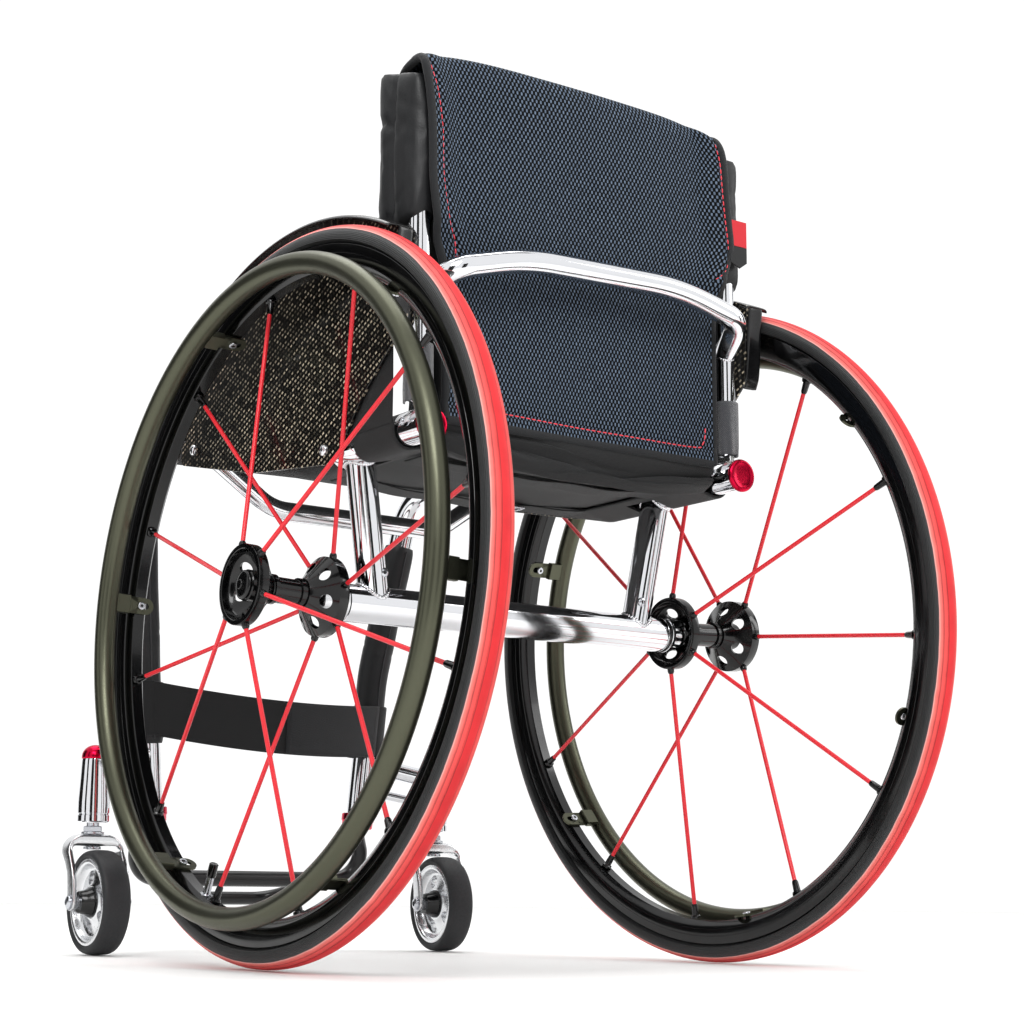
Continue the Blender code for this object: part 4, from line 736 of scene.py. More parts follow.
def slab(outline: Sequence[tuple[float, float]], low: float, high: float, edge: float = 0.0003) -> Skin:
    """Flat plate: its outline in XY from height low to high, with small chamfers.

    Args:
        outline: The corners, in order.
        low: Height of one face.
        high: Height of the other.
        edge: Size of the chamfer.

    Returns:
        The closed surface. A chamfer's outline is the outline drawn in towards its middle by the edge.
    """
    corners = np.array(outline, dtype=float)
    ahead, back = np.roll(corners, -1, axis=0) - corners, corners - np.roll(corners, 1, axis=0)
    normals = [np.stack([d[:, 1], -d[:, 0]], axis=1) / np.linalg.norm(d, axis=1)[:, None]
               for d in (ahead, back)]
    bisector = normals[0] + normals[1]
    bisector /= np.maximum(np.linalg.norm(bisector, axis=1), 1e-9)[:, None]
    area = np.sum(corners[:, 0] * np.roll(corners[:, 1], -1) - corners[:, 1] * np.roll(corners[:, 0], -1))
    inner = corners - bisector * edge * (1 if area > 0 else -1)
    rows = [(inner, low), (corners, low + edge), (corners, high - edge), (inner, high)]
    points = np.array([np.column_stack([flat, np.full(len(flat), z)]) for flat, z in rows])
    return grid(points, wrap_columns=True, caps=True)


def joined(skins: Iterable[Skin]) -> Skin:
    """Put several surfaces into one.

    Args:
        skins: The surfaces.

    Returns:
        One surface with all their points and faces.
    """
    skins = list(skins)
    starts = np.cumsum([0] + [len(skin.points) for skin in skins])
    faces = [[index + start for index in face] for skin, start in zip(skins, starts) for face in skin.faces]
    return Skin(np.concatenate([skin.points for skin in skins]), faces,
                [face for skin in skins for face in skin.uv])


def linked(name: str, data: bpy.types.ID) -> bpy.types.Object:
    """Put some data into the scene.

    Args:
        name: The new object's name.
        data: Its mesh, light or camera.

    Returns:
        The new object.
    """
    made = bpy.data.objects.new(name, data)
    bpy.context.scene.collection.objects.link(made)
    return made


def meshed(name: str, skin: Skin) -> bpy.types.Mesh:
    """Turn a surface into a mesh.

    Args:
        name: The mesh's name.
        skin: The surface.

    Returns:
        The mesh.
    """
    data = bpy.data.meshes.new(name)
    data.from_pydata(skin.points, [], skin.faces)
    return data


def cleaned(data: bpy.types.Mesh) -> bpy.types.Mesh:
    """Merge doubled points at poles and seams, and turn the faces outwards.

    Args:
        data: The mesh.

    Returns:
        The same mesh.
    """
    bm = bmesh.new()
    bm.from_mesh(data)
    bmesh.ops.remove_doubles(bm, verts=bm.verts, dist=DOUBLED)
    bmesh.ops.recalc_face_normals(bm, faces=bm.faces)
    bm.to_mesh(data)
    bm.free()
    return data


def settle(piece: bpy.types.Object) -> None:
    """Apply all of an object's modifiers.

    Args:
        piece: The object whose evaluated mesh becomes its own.
    """
    bpy.context.view_layer.update()
    graph = bpy.context.evaluated_depsgraph_get()
    data = bpy.data.meshes.new_from_object(piece.evaluated_get(graph))
    piece.modifiers.clear()
    piece.data = data


@dataclass
class Workshop:
    """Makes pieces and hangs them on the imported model's bodies."""

    shift: float = 0.0
    made: list[str] = field(default_factory=list)

    def add_piece(self, name: str, skins: Sequence[tuple[Skin, Finish]], body: str, *, slot: Finishes,
                  replaces: Sequence[str] = (), crease: float = 38.0) -> bpy.types.Object:
        """Join skins into one object, place it, dress it and hang it on a body.

        Args:
            name: The piece's name.
            skins: Surfaces with their finishes.
            body: The body that it moves with, or nothing where it lies between two and rides on neither.
            slot: Not used.
            replaces: CAD nodes that it stands for.
            crease: Edges sharper than this many degrees stay sharp.

        Returns:
            The new object.
        """
        finishes = list(dict.fromkeys(finish for _, finish in skins))
        whole = joined(skin for skin, _ in skins)
        data = meshed(name, self.shifted(whole))
        layer = data.uv_layers.new(name="surface")
        layer.data.foreach_set("uv", np.array([pair for face in whole.uv for pair in face],
                                              dtype=float).ravel())
        data.polygons.foreach_set("material_index", [finishes.index(finish) for skin, finish in skins
                                                     for _ in skin.faces])
        for finish in finishes:
            data.materials.append(finish.material())
        cleaned(data).shade_smooth()
        data.set_sharp_from_angle(angle=math.radians(crease))
        piece = linked(name, data)
        self.hang(piece, body, replaces)
        return piece

    def shifted(self, skin: Skin) -> Skin:
        """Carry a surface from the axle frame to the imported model's frame."""
        return Skin(skin.points + np.array((0, self.shift, 0)), skin.faces, skin.uv)

    def hang(self, piece: bpy.types.Object, body: str, replaces: Sequence[str]) -> None:
        """Hang a finished object on its body and report it.

        Args:
            piece: The object.
            body: The body that it moves with.
            replaces: CAD nodes that it stands for.
        """
        if body:
            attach(piece, body)
        if replaces:
            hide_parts(*replaces)
        self.made.append(piece.name)
        LOG.info("%s rides on %s, %d faces", piece.name, body, len(piece.data.polygons))

    def cut(self, piece: bpy.types.Object, cutters: Sequence[Skin], crease: float = 38.0,
            smooth: bool = False) -> None:
        """Cut holes through a piece and keep the result as its mesh.

        Args:
            piece: The object to cut.
            cutters: Closed surfaces in the axle frame.
            crease: Edges sharper than this many degrees stay sharp.
            smooth: Whether the holes' walls are shaded as round.
        """
        tool = linked("cutter", cleaned(meshed("cutter", self.shifted(joined(cutters)))))
        change = piece.modifiers.new("holes", "BOOLEAN")
        change.object = tool
        change.use_self = True
        settle(piece)
        bpy.data.objects.remove(tool)
        if smooth:
            piece.data.shade_smooth()
        piece.data.set_sharp_from_angle(angle=math.radians(crease))


# Finishes, each named for its material and how it was made

# Tube turned bright on a buffing wheel: a mirror with a breath of haze
POLISHED_ALUMINIUM = BuffedMetal("buffed_aluminium", "#E4E5E8", 0.06, 1.0, haze=0.06, grain=0.012,
                                 relief=0.000002)
# Cast and machined castor parts: bright but a little softer than the tubes
MACHINED_ALUMINIUM = BuffedMetal("machined_aluminium", "#DCDDDF", 0.16, 1.0, haze=0.12, grain=0.003)
# Dyed anodising over turned aluminium: deep crimson with a metal glow
CRIMSON_ANODISED = BuffedMetal("crimson_anodised_aluminium", "#C8173F", 0.22, 1.0, haze=0.08, grain=0.002)
# Bead-blasted titanium tube: olive grey and satin all over
SATIN_TITANIUM = BuffedMetal("blasted_titanium", "#5F6052", 0.30, 0.9, haze=0.10, grain=0.0015)
# Zinc-plated fasteners
PLATED_STEEL = BuffedMetal("zinc_plated_steel", "#C9CBD0", 0.20, 1.0, haze=0.10, grain=0.002)
# Hard black anodising with a gloss: nearly a black mirror
BLACK_ANODISED = SprayedPaint("gloss_black_anodised_aluminium", "#050506", 0.13, 0.0, coat=0.25)
# Red powder coat on drawn spokes
RED_POWDER = SprayedPaint("red_powder_coated_spoke", "#D92A36", 0.34, 0.0, coat=0.25, peel=0.0006)
# Satin black powder coat on the footrest tubes
BLACK_POWDER = SprayedPaint("black_powder_coat", "#0D0D0E", 0.30, 0.0, coat=0.3)
# Solid castor tyre: matt black rubber, faintly mottled by dust
CASTOR_RUBBER = BuffedMetal("moulded_castor_rubber", "#2A2B2D", 0.50, 0.0, haze=0.20, grain=0.002)
# Vulcanised tyre: red tread with a painted highlight and painted shade in its grooves, dark walls
RED_TREAD = TyreRubber("two_colour_tyre_rubber", "#E5393B", 0.6)
# Warp-knitted spacer fabric of the back cover: blue-grey, with cells painted near-black as shade
SPACER_MESH = SpacerMesh("knitted_spacer_mesh", "#2E3744", 0.66, sheen=0.02, glare=0.12)
# Nylon webbing and sling cloth: black, with painted shade between the threads and painted glints on their
# crossings
BLACK_NYLON = Woven("woven_black_nylon", "#101113", 0.60, sheen=0.10)
# Thin tape that binds the cover's edges
BINDING_TAPE = Woven("woven_binding_tape", "#14161A", 0.62, sheen=0.12, thread=0.0009, depth=0.00012)
# Napped hook-and-loop webbing of the boots: grey-black fuzz
NAPPED_WEBBING = Woven("napped_loop_webbing", "#47484C", 0.85, sheen=0.8, thread=0.0016, depth=0.0004,
                       fuzz=2.2)
# Loop side of the calf strap's fastening: black, a little furry
NAPPED_BLACK = Woven("napped_black_loop", "#1A1B1E", 0.80, sheen=0.35, thread=0.0016, depth=0.0003, fuzz=1.6)
# Grained vinyl of the rolls and the tube wraps: black, with a soft broken sheen
BLACK_VINYL = GrainedVinyl("grained_black_vinyl", "#191A1C", 0.40)
# Carbon cloth in clear resin: slanting rows of painted pale glints on black
CARBON_TWILL = CarbonTwill("clear_coated_carbon_twill", "#060505", 0.30, coat=0.5)
# Moulded gloss-black plastic of the fender lip
GLOSS_PLASTIC = SprayedPaint("moulded_gloss_abs", "#0C0C0E", 0.22, 0.0, coat=0.4)
# Red polyester thread, lock-stitched
RED_THREAD = Finish("red_polyester_thread", "#E0404E", 0.5, sheen=0.4)
# Black bonded thread
BLACK_THREAD = Finish("black_bonded_thread", "#2A2B2E", 0.5, sheen=0.3)
# Red woven tag at the back cover's edge
RED_CLOTH = Woven("woven_red_tag", "#C9202E", 0.7, sheen=0.3, thread=0.0008, depth=0.0001)


@dataclass(frozen=True)
class Layout:
    """Lines and sizes that several sub-assemblies share."""

    tube: float = 0.0127          # radius of the side tubes and struts
    rail_x: float = 0.165
    rail_rear: tuple[float, float] = (-0.118, 0.4240)             # y and z of the rail's rear end
    knee_y: float = 0.060         # the rail is level up to here
    rise: float = math.tan(math.radians(12.6))
    top_y: float = 0.3965         # where the rail turns down into the front tube
    waist: tuple[float, float, float] = (0.1365, 0.4275, 0.290)   # the front tube's slight bend
    end: tuple[float, float, float] = (0.1225, 0.4312, 0.1345)    # its lower end
    front_bend: float = 0.048
    axle_z: float = 0.2955
    axle_radius: float = 0.0157
    axle_half: float = 0.171
    cane_y: float = -0.100
    hinge_z: float = 0.4525
    cane_radius: float = 0.0095
    cane_top: float = 0.7150
    castor: tuple[float, float] = (0.1985, 0.400)                 # x and y of the stem

    def rail(self, y: float | np.ndarray) -> float | np.ndarray:
        """Height of the seat rail's centre line at a given y."""
        return self.rail_rear[1] + np.maximum(0.0, y - self.knee_y) * self.rise

    def front(self, z: float) -> Vector:
        """Find a point on the right front tube's centre line.

        Args:
            z: Its height.

        Returns:
            The point, on the straight line between the tube's corners above and below.
        """
        top = Vector((self.rail_x, self.top_y, self.rail(self.top_y)))
        low, high = (Vector(self.waist), top) if z > self.waist[2] else (Vector(self.end), Vector(self.waist))
        return low.lerp(high, (z - low.z) / (high.z - low.z))

    def foot_axis(self, side: int) -> Matrix:
        """Place of a front tube's lower end.

        Args:
            side: 1 for right and -1 for left.

        Returns:
            A matrix with Z up along the tube and Y forwards.
        """
        low, high = Vector(self.end), Vector(self.waist)
        low.x, high.x = side * low.x, side * high.x
        return aimed(low, high - low, (0, 1, 0))


@dataclass
class Assembly:
    """Part of the chair: it makes its pieces in the shared workshop, on the shared lines."""

    shop: Workshop
    line: Layout = field(default_factory=Layout, kw_only=True)

    body = "frame"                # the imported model's body that its pieces ride on
    start = ""                    # what the names of its pieces and of their CAD nodes start with

    def piece(self, name: str, skins: Sequence[tuple[Skin, Finish]], slot: Finishes, *, replaces: str = "",
              body: str | None = None, crease: float = 38.0) -> bpy.types.Object:
        """Make one of the part's pieces.

        Args:
            name: The piece's name without its start.
            skins: Surfaces with their finishes.
            slot: Not used; it is only passed on to the workshop.
            replaces: The CAD node that it stands for, if any, without the name's start.
            body: The body that it moves with, where that isn't the part's own.
            crease: Edges sharper than this many degrees stay sharp.

        Returns:
            The new object.
        """
        return self.shop.add_piece(self.start + name, skins, self.body if body is None else body, slot=slot,
                                   replaces=[self.start + replaces] if replaces else [], crease=crease)


@dataclass
class SideAssembly(Assembly):
    """Part that the chair has on both sides, once on each."""

    side: int                     # 1 for right and -1 for left
    label: str                    # the side's name

    @property
    def start(self) -> str:
        """What its names start with."""
        return self.label + "_"


@dataclass
class RearWheel(SideAssembly):
    """Cambered 24-inch wheel with tyre, rim, spokes, bell hub, handrim and quick-release pin."""

    camber: float = math.radians(2.4)
    half_track: float = 0.2253
    tyre_outer: float = 0.300
    tyre_section: float = 0.0125
    tread_groove: float = 0.00035
    rim_inner: float = 0.262
    rim_shoulder: float = 0.269
    rim_bed: float = 0.2745
    rim_flange: float = 0.2832
    rim_half: float = 0.0098
    rim_wall: float = 0.0017
    flange_radius: float = 0.033
    flange_face: float = 0.042
    flange_band: float = 0.0085
    barrel_radius: float = 0.0112
    barrel_half: float = 0.0165
    boss_radius: float = 0.0128
    boss_outer: float = 0.0365
    boss_inner: float = 0.0320
    bell_wall: float = 0.0036
    hole_radius: float = 0.0058
    pin_radius: float = 0.00635
    pin_inside: float = 0.092
    spoke_radius: float = 0.0019
    spokes: int = 12
    handrim_radius: float = 0.262
    handrim_tube: float = 0.0092
    handrim_offset: float = 0.0322
    tabs: int = 6
    tab_width: float = 0.015
    tab_reach: float = 0.0125
    tab_thickness: float = 0.0020
    tab_slot: tuple[float, float] = (0.0056, 0.0140)
    block_width: float = 0.0170
    block_thickness: float = 0.0058
    block_start: float = 0.0122
    clocks: tuple[float, float] = (math.radians(18.7), math.radians(5.6))         # left, right
    tab_lead: float = math.radians(15.0)
    steps: int = 224              # faces round the tyre and the handrim
    grooves: tuple = (-0.0135, -0.0046, 0.0046, 0.0135)           # from the crown, along the section
    drill_tilt: float = math.radians(38)
    drill_spot: tuple[float, float] = (0.0225, 0.0105)            # radius, and height past the barrel
    # radius and height of the collar at the flange, and of the nipple back from the spoke's head
    collar: tuple = ((ON_AXIS, 0.0), (0.0031, 0.0), (0.0031, 0.0030), (0.0027, 0.0042), (0.0022, 0.0050),
                     (ON_AXIS, 0.0052))
    nipple: tuple = ((ON_AXIS, 0.0135), (0.0023, 0.0132), (0.0028, 0.0118), (0.0032, 0.0030),
                     (0.0045, 0.0022), (0.0048, 0.0004), (ON_AXIS, 0.0))
    valve_turns: tuple[float, float] = (math.radians(-49.0), math.radians(75.0))  # left, right
    valve_stem: tuple = ((ON_AXIS, -0.001), (0.0052, -0.001), (0.0052, 0.0008), (0.0032, 0.0014),
                         (0.0030, 0.016), (ON_AXIS, 0.016))
    recess: tuple[float, float] = (0.0046, 0.0095)                # radius and depth, in the pin's head
    button_radius: float = 0.0042

    @property
    def place(self) -> Matrix:
        """Place of the hub.

        Returns:
            A matrix with Z out along the axle and X forward.
        """
        hub_z = (self.tyre_outer - self.tyre_section) * math.cos(self.camber) + self.tyre_section
        outward = Vector((self.side * math.cos(self.camber), 0, math.sin(self.camber)))
        forward = Vector((0, 1, 0))
        turn = Matrix((forward, outward.cross(forward), outward)).transposed().to_4x4()
        return Matrix.Translation((self.side * self.half_track, 0, hub_z)) @ turn

    @property
    def body(self) -> str:
        """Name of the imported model's body that turns with the wheel."""
        return self.label + "_wheel"

    @property
    def clock(self) -> float:
        """Angle of the first outer spoke about local Z."""
        return self.clocks[1] if self.side > 0 else -self.clocks[0]

    def build(self) -> None:
        """Make every piece of the wheel."""
        self.tyre()
        self.rim()
        self.hub()
        self.spoke_set()
        self.handrim()
        self.valve()
        self.axle()

    def tyre(self) -> None:
        """Turn the tyre: a round section with beads, and grooves where tread and walls meet."""
        centre = self.tyre_outer - self.tyre_section
        turn = np.radians(np.linspace(-10, 190, 61))
        across = self.tyre_section * (turn - np.pi / 2)
        groove = sum(np.exp(-((across - at) / 0.0005) ** 2) for at in self.grooves)
        section = self.tyre_section - self.tread_groove * groove
        section -= 0.0004 * np.exp(-(across / 0.006) ** 2)
        crown = np.stack([centre + section * np.sin(turn), section * np.cos(turn)], axis=1)
        bead = self.rim_half - self.rim_wall - GAP
        neck, bottom = self.rim_flange + GAP, self.rim_bed + GAP
        profile = [(bottom, bead), (neck, bead), *crown.tolist(), (neck, -bead), (bottom, -bead)]
        skin = turned(profile, self.steps, closed=True)
        walk = np.concatenate([[-0.030, -0.026], across, [0.026, 0.030, 0.031]])
        rows = np.repeat(np.arange(len(profile)), self.steps)
        skin.uv = [[[u, walk[row + (k > 1)]] for k, (u, _) in enumerate(face)]
                   for face, row in zip(skin.uv, rows)]
        piece = self.piece("road_tyre", [(skin.moved(self.place), RED_TREAD)], Finishes.TYRE, replaces="tyre",
                           crease=50)
        piece.data.uv_layers[0].active_render = True

    def rim(self) -> None:
        """Turn the rim: flanges, a shallow bed and flanks that slant in to a narrow inner face."""
        inner = self.rim_half - self.rim_wall
        nose = self.rim_half * 0.55
        turn = np.linspace(0, np.pi / 2, 5)
        lip = [(self.rim_flange - 0.0008 + 0.0008 * math.sin(a),
                self.rim_half - 0.0008 + 0.0008 * math.cos(a)) for a in turn]
        upper = [(self.rim_inner, 0.0), (self.rim_inner, nose - 0.0006), (self.rim_inner + 0.0005, nose),
                 (self.rim_shoulder - 0.0006, self.rim_half - 0.0005),
                 (self.rim_shoulder + 0.0008, self.rim_half), (self.rim_shoulder + 0.006, self.rim_half),
                 (self.rim_shoulder + 0.0062, self.rim_half - 0.0003),
                 (self.rim_shoulder + 0.0068, self.rim_half - 0.0003),
                 (self.rim_shoulder + 0.007, self.rim_half), *lip, (self.rim_flange, inner),
                 (self.rim_bed, inner), (self.rim_bed, 0.0)]
        lower = [(radius, -height) for radius, height in reversed(upper[1:-1])]
        skin = turned(upper + lower, 192, closed=True)
        self.piece("alloy_rim", [(skin.moved(self.place), BLACK_ANODISED)], Finishes.RIM, replaces="rim",
                   crease=28)

    def bell(self) -> list[tuple[float, float]]:
        """Profile of one hub half, from the barrel's middle out to its flange face and back in to the bore.

        Returns:
            Radius and height pairs.
        """
        band = self.flange_face - self.flange_band
        lip = self.flange_radius - 0.0042
        bore = self.pin_radius + 0.0003
        cone = np.linspace(0, 1, 9)
        spread = self.flange_radius - 0.0012 - self.barrel_radius
        outer = [(self.barrel_radius + 0.0012 + spread * t ** 1.15,
                  self.barrel_half + (band - 0.0006 - self.barrel_half) * t) for t in cone]
        face = [(self.flange_radius, band + 0.0006), (self.flange_radius, self.flange_face - 0.0008),
                (self.flange_radius - 0.0003, self.flange_face - 0.0002),
                (self.flange_radius - 0.0009, self.flange_face), (lip + 0.0005, self.flange_face),
                (lip, self.flange_face - 0.0005)]
        dish = [(lip - 0.0004 - (lip - self.boss_radius - 0.001) * t ** 1.25,
                 band + self.bell_wall - 0.001 - (band + self.bell_wall - self.barrel_half - 0.006) * t)
                for t in cone]
        boss = [(self.boss_radius, self.barrel_half + 0.0058), (self.boss_radius, self.boss_outer - 0.001),
                (self.boss_radius - 0.0008, self.boss_outer), (bore, self.boss_outer)]
        return outer + face + dish + boss

    def hub(self) -> None:
        """Turn the hub and drill the round windows through both bells, between the spokes."""
        rings = [(self.barrel_radius - 0.0006, 0.0), (self.barrel_radius - 0.0006, self.barrel_half - 0.0062),
                 (self.barrel_radius + 0.0010, self.barrel_half - 0.0058),
                 (self.barrel_radius + 0.0010, self.barrel_half - 0.0024),
                 (self.barrel_radius - 0.0002, self.barrel_half - 0.0020),
                 (self.barrel_radius - 0.0002, self.barrel_half - 0.0004)]
        half = rings + self.bell()
        shorter = self.boss_outer - self.boss_inner
        far = []
        for radius, height in half:
            on_boss = radius <= self.boss_radius and height > self.barrel_half + 0.006
            far.append((radius, -height + (shorter if on_boss else 0)))
        profile = far[::-1] + half[1:]
        skin = turned(profile, 96, closed=True).moved(self.place)
        piece = self.piece("bell_hub", [(skin, BLACK_ANODISED)], Finishes.SPOKES, crease=30)
        drills = []
        for end in (1, -1):
            for k in range(self.tabs):
                offset = 0.5 if end > 0 else 0.0
                angle = self.clock + 2 * math.pi * (k + offset) / self.tabs
                out = Vector((math.cos(angle), math.sin(angle), 0))
                aim = out * math.sin(self.drill_tilt) - Vector((0, 0, end)) * math.cos(self.drill_tilt)
                height = end * (self.barrel_half + self.drill_spot[1])
                middle = out * self.drill_spot[0] + Vector((0, 0, height))
                drill = turned(rounded(-0.009, 0.009, self.hole_radius, 0.0002), 28)
                drills.append(drill.moved(self.place @ aimed(middle, aim)))
        self.shop.cut(piece, drills, crease=30, smooth=True)

    def spoke_set(self) -> None:
        """Straight spokes with a black nipple at the rim and a black collar at the flange."""
        skins = []
        height = self.flange_face - self.flange_band / 2
        for k in range(self.spokes):
            angle = self.clock + 2 * math.pi * k / self.spokes
            out = Vector((math.cos(angle), math.sin(angle), 0))
            foot = out * (self.flange_radius - 0.001) + Vector((0, 0, height if k % 2 == 0 else -height))
            head = out * (self.rim_inner - 0.0006)
            length = (head - foot).length
            place = self.place @ aimed(foot, head - foot)
            rod = [(ON_AXIS, 0.004), (self.spoke_radius, 0.004), (self.spoke_radius, length - 0.008),
                   (ON_AXIS, length - 0.008)]
            nipple = [(radius, length - back) for radius, back in self.nipple]
            skins += [(turned(rod, 14).moved(place), RED_POWDER),
                      (turned(self.collar, 18).moved(place), BLACK_ANODISED),
                      (turned(nipple, 18).moved(place), BLACK_ANODISED)]
        self.piece("spoke_set", skins, Finishes.SPOKES, replaces="hub_and_spokes")

    def tab(self) -> list[Skin]:
        """One handrim tab seen along the wheel's radius: block, slotted loop and bolt.

        Returns:
            Surfaces with x along the axle, y round the rim and z out along the radius.
        """
        half, slot_half = self.tab_width / 2, self.tab_slot[0] / 2
        turn = np.linspace(np.pi / 2, 3 * np.pi / 2, 15)
        centre = -self.tab_reach + half
        outer = np.array([(self.block_start + 0.002, half), *arc(half, turn, centre),
                          (self.block_start + 0.002, -half)])
        flat = self.tab_slot[1] / 2 - slot_half
        middle = -self.tab_reach + self.tab_slot[1] / 2 + (half - slot_half)
        hole = np.array([(middle + flat, slot_half), *arc(slot_half, turn, middle - flat),
                         (middle + flat, -slot_half)])
        high = self.rim_inner - GAP
        low = high - self.tab_thickness
        loop_skin = self.band(outer, hole, low, high)
        bridge = slab([(middle + flat, -half), (self.block_start + 0.003, -half),
                       (self.block_start + 0.003, half), (middle + flat, half)], low, high, 0.0002)
        wide = self.block_width / 2
        block = slab([(self.block_start, -wide), (self.handrim_offset, -wide), (self.handrim_offset, wide),
                      (self.block_start, wide)], high - self.block_thickness, self.rim_inner + 0.0006, 0.0008)
        bolt_low = low - 0.0024
        bolt = turned(rounded(bolt_low, bolt_low + 0.0024, 0.0036, 0.0007), 24)
        socket = turned([(ON_AXIS, bolt_low - 0.00005), (0.0016, bolt_low - 0.00005),
                         (0.0017, bolt_low + 0.0006)], 6)
        at = Matrix.Translation((middle + 0.001, 0, 0))
        return [loop_skin, bridge, block, bolt.moved(at), socket.moved(at)]

    def band(self, outer: np.ndarray, hole: np.ndarray, low: float, high: float) -> Skin:
        """Flat ring piece between an outline and a hole with as many points.

        Args:
            outer: The outline's points.
            hole: The hole's points.
            low: Height of one face.
            high: Height of the other.

        Returns:
            The surface, a section of four corners carried round the gap between the two lines.
        """
        rows = [(outer, low), (outer, high), (hole, high), (hole, low)]
        points = np.array([np.column_stack([flat, np.full(len(flat), z)]) for flat, z in rows])
        return grid(points.transpose(1, 0, 2), wrap_columns=True, caps=True)

    def handrim(self) -> None:
        """Bend the handrim and weld its tabs on; the bolts hold the tabs to the rim."""
        turn = np.linspace(0, 2 * np.pi, 28, endpoint=False)
        ring = arc(self.handrim_tube, turn, self.handrim_radius, self.handrim_offset)
        skins = [(turned(ring, self.steps, closed=True).moved(self.place), SATIN_TITANIUM)]
        for k in range(self.tabs):
            angle = self.clock + self.tab_lead + 2 * math.pi * k / self.tabs
            axes = Matrix(((0, 0, 1, 0), (0, 1, 0, 0), (1, 0, 0, 0), (0, 0, 0, 1)))
            place = self.place @ Matrix.Rotation(angle, 4, "Z") @ axes
            pieces = self.tab()
            skins += [(skin.moved(place), SATIN_TITANIUM) for skin in pieces[:3]]
            skins += [(pieces[3].moved(place), PLATED_STEEL), (pieces[4].moved(place), BLACK_ANODISED)]
        self.piece("push_rim", skins, Finishes.HANDRIM, replaces="handrim")

    def valve(self) -> None:
        """Valve stem with its cap, standing in from the rim."""
        angle = self.side * (self.clock + self.valve_turns[self.side > 0])
        inward = aimed((self.rim_inner, 0, 0), (-1, 0, 0), (0, 1, 0))
        place = self.place @ Matrix.Rotation(angle, 4, "Z") @ inward
        cap = rounded(0.0155, 0.0275, 0.0038, 0.0012)
        ribs = [(radius * (1.0 + 0.06 * (i % 2)), height) for i, (radius, height) in enumerate(cap)]
        skins = [(turned(self.valve_stem, 20).moved(place), PLATED_STEEL),
                 (turned(ribs, 20).moved(place), BLACK_ANODISED)]
        self.piece("valve", skins, Finishes.RIM)

    def axle(self) -> None:
        """Quick-release pin with a domed head, and the button in its middle."""
        head = self.boss_outer + GAP
        bore, depth = self.recess
        turn = np.linspace(0, np.pi / 2, 8)
        dome = [(bore + 0.0074 * math.cos(a), head + 0.0012 + 0.0024 * math.sin(a)) for a in turn]
        pin = [(ON_AXIS, -self.pin_inside), (self.pin_radius - 0.002, -self.pin_inside),
               (self.pin_radius, -self.pin_inside + 0.002), (self.pin_radius, head), (0.0120, head), *dome,
               (bore, head - depth), (ON_AXIS, head - depth)]
        self.piece("quick_release_pin", [(turned(pin[:4], 32).moved(self.place), PLATED_STEEL),
                                         (turned(pin[3:], 64).moved(self.place), BLACK_ANODISED)],
                   Finishes.STEEL, replaces="axle_pin", body="frame")
        button = rounded(head - 0.004, head + 0.0030 + 0.0026, self.button_radius, 0.0012, 6)
        self.piece("pin_button", [(turned(button, 48).moved(self.place), BLACK_ANODISED)], Finishes.STEEL,
                   replaces="release_button", body=self.label + "_release")


def both_ways(half: np.ndarray) -> list[tuple[float, float]]:
    """Close a profile with its mirror image: the same radii back again at the opposite heights.

    Args:
        half: Radius and height pairs of the upper half.

    Returns:
        The whole loop.
    """
    return [tuple(pair) for pair in half] + [(radius, -height) for radius, height in half[::-1]]


def mirrored(points: Iterable[Sequence[float]], side: int) -> list[Vector]:
    """Flip points to one side of the chair.

    Args:
        points: Points on the right side.
        side: 1 for right and -1 for left.

    Returns:
        The points with x times the side.
    """
    return [Vector((side * point[0], point[1], point[2])) for point in points]


def saddle(start: Sequence[float], end: Sequence[float], radius: float, spot: Sequence[float],
           run: Sequence[float], big: float, count: int = 72) -> np.ndarray:
    """Closed line where a slim tube comes out of a thicker one.

    Args:
        start: Point on the slim tube's axis, inside the thick one.
        end: Point on the slim tube's axis, outside.
        radius: The slim tube's radius.
        spot: Point on the thick tube's axis.
        run: Direction of the thick tube's axis.
        big: The thick tube's radius.
        count: Points on the line.

    Returns:
        The points, where each line along the slim tube is one thick radius from the thick tube's axis:
        the larger root of |q + t d| = big, both seen along that axis.
    """
    start, end, spot = (np.array(tuple(v), dtype=float) for v in (start, end, spot))
    run = np.array(tuple(run), dtype=float) / np.linalg.norm(run)
    d = (end - start) / np.linalg.norm(end - start)
    side, other = along(np.array([start, end]))
    turn = np.linspace(0, 2 * np.pi, count, endpoint=False)[:, None]
    from_axis = start - spot + radius * (np.cos(turn) * side[0] + np.sin(turn) * other[0])
    q = from_axis - (from_axis @ run)[:, None] * run
    flat = d - (d @ run) * run
    a, b, c = flat @ flat, q @ flat, np.sum(q * q, axis=1) - big ** 2
    t = (-b + np.sqrt(np.maximum(b * b - a * c, 0.0))) / a
    return from_axis + spot + t[:, None] * d


def bead(path: np.ndarray, radius: float = 0.0019, ripple: float = 0.0024) -> Skin:
    """Weld bead along a closed line, with the overlapping scales that the torch leaves.

    Args:
        path: The closed line.
        radius: The bead's radius.
        ripple: Length of one scale.

    Returns:
        The surface: a pipe whose radius swells and drops once per scale.
    """
    ring = np.concatenate([path, path[:1]])
    length = np.linalg.norm(np.diff(ring, axis=0), axis=1).sum()
    scales = max(12, round(length / ripple))
    at = np.linspace(0, len(path), scales * 5, endpoint=False)
    fine = np.stack([np.interp(at, np.arange(len(ring)), ring[:, k]) for k in range(3)], axis=1)
    phase = np.tile(np.array([0.86, 0.96, 1.04, 1.08, 1.00]), scales)
    return piped(fine, radius * phase, 10, closed=True)


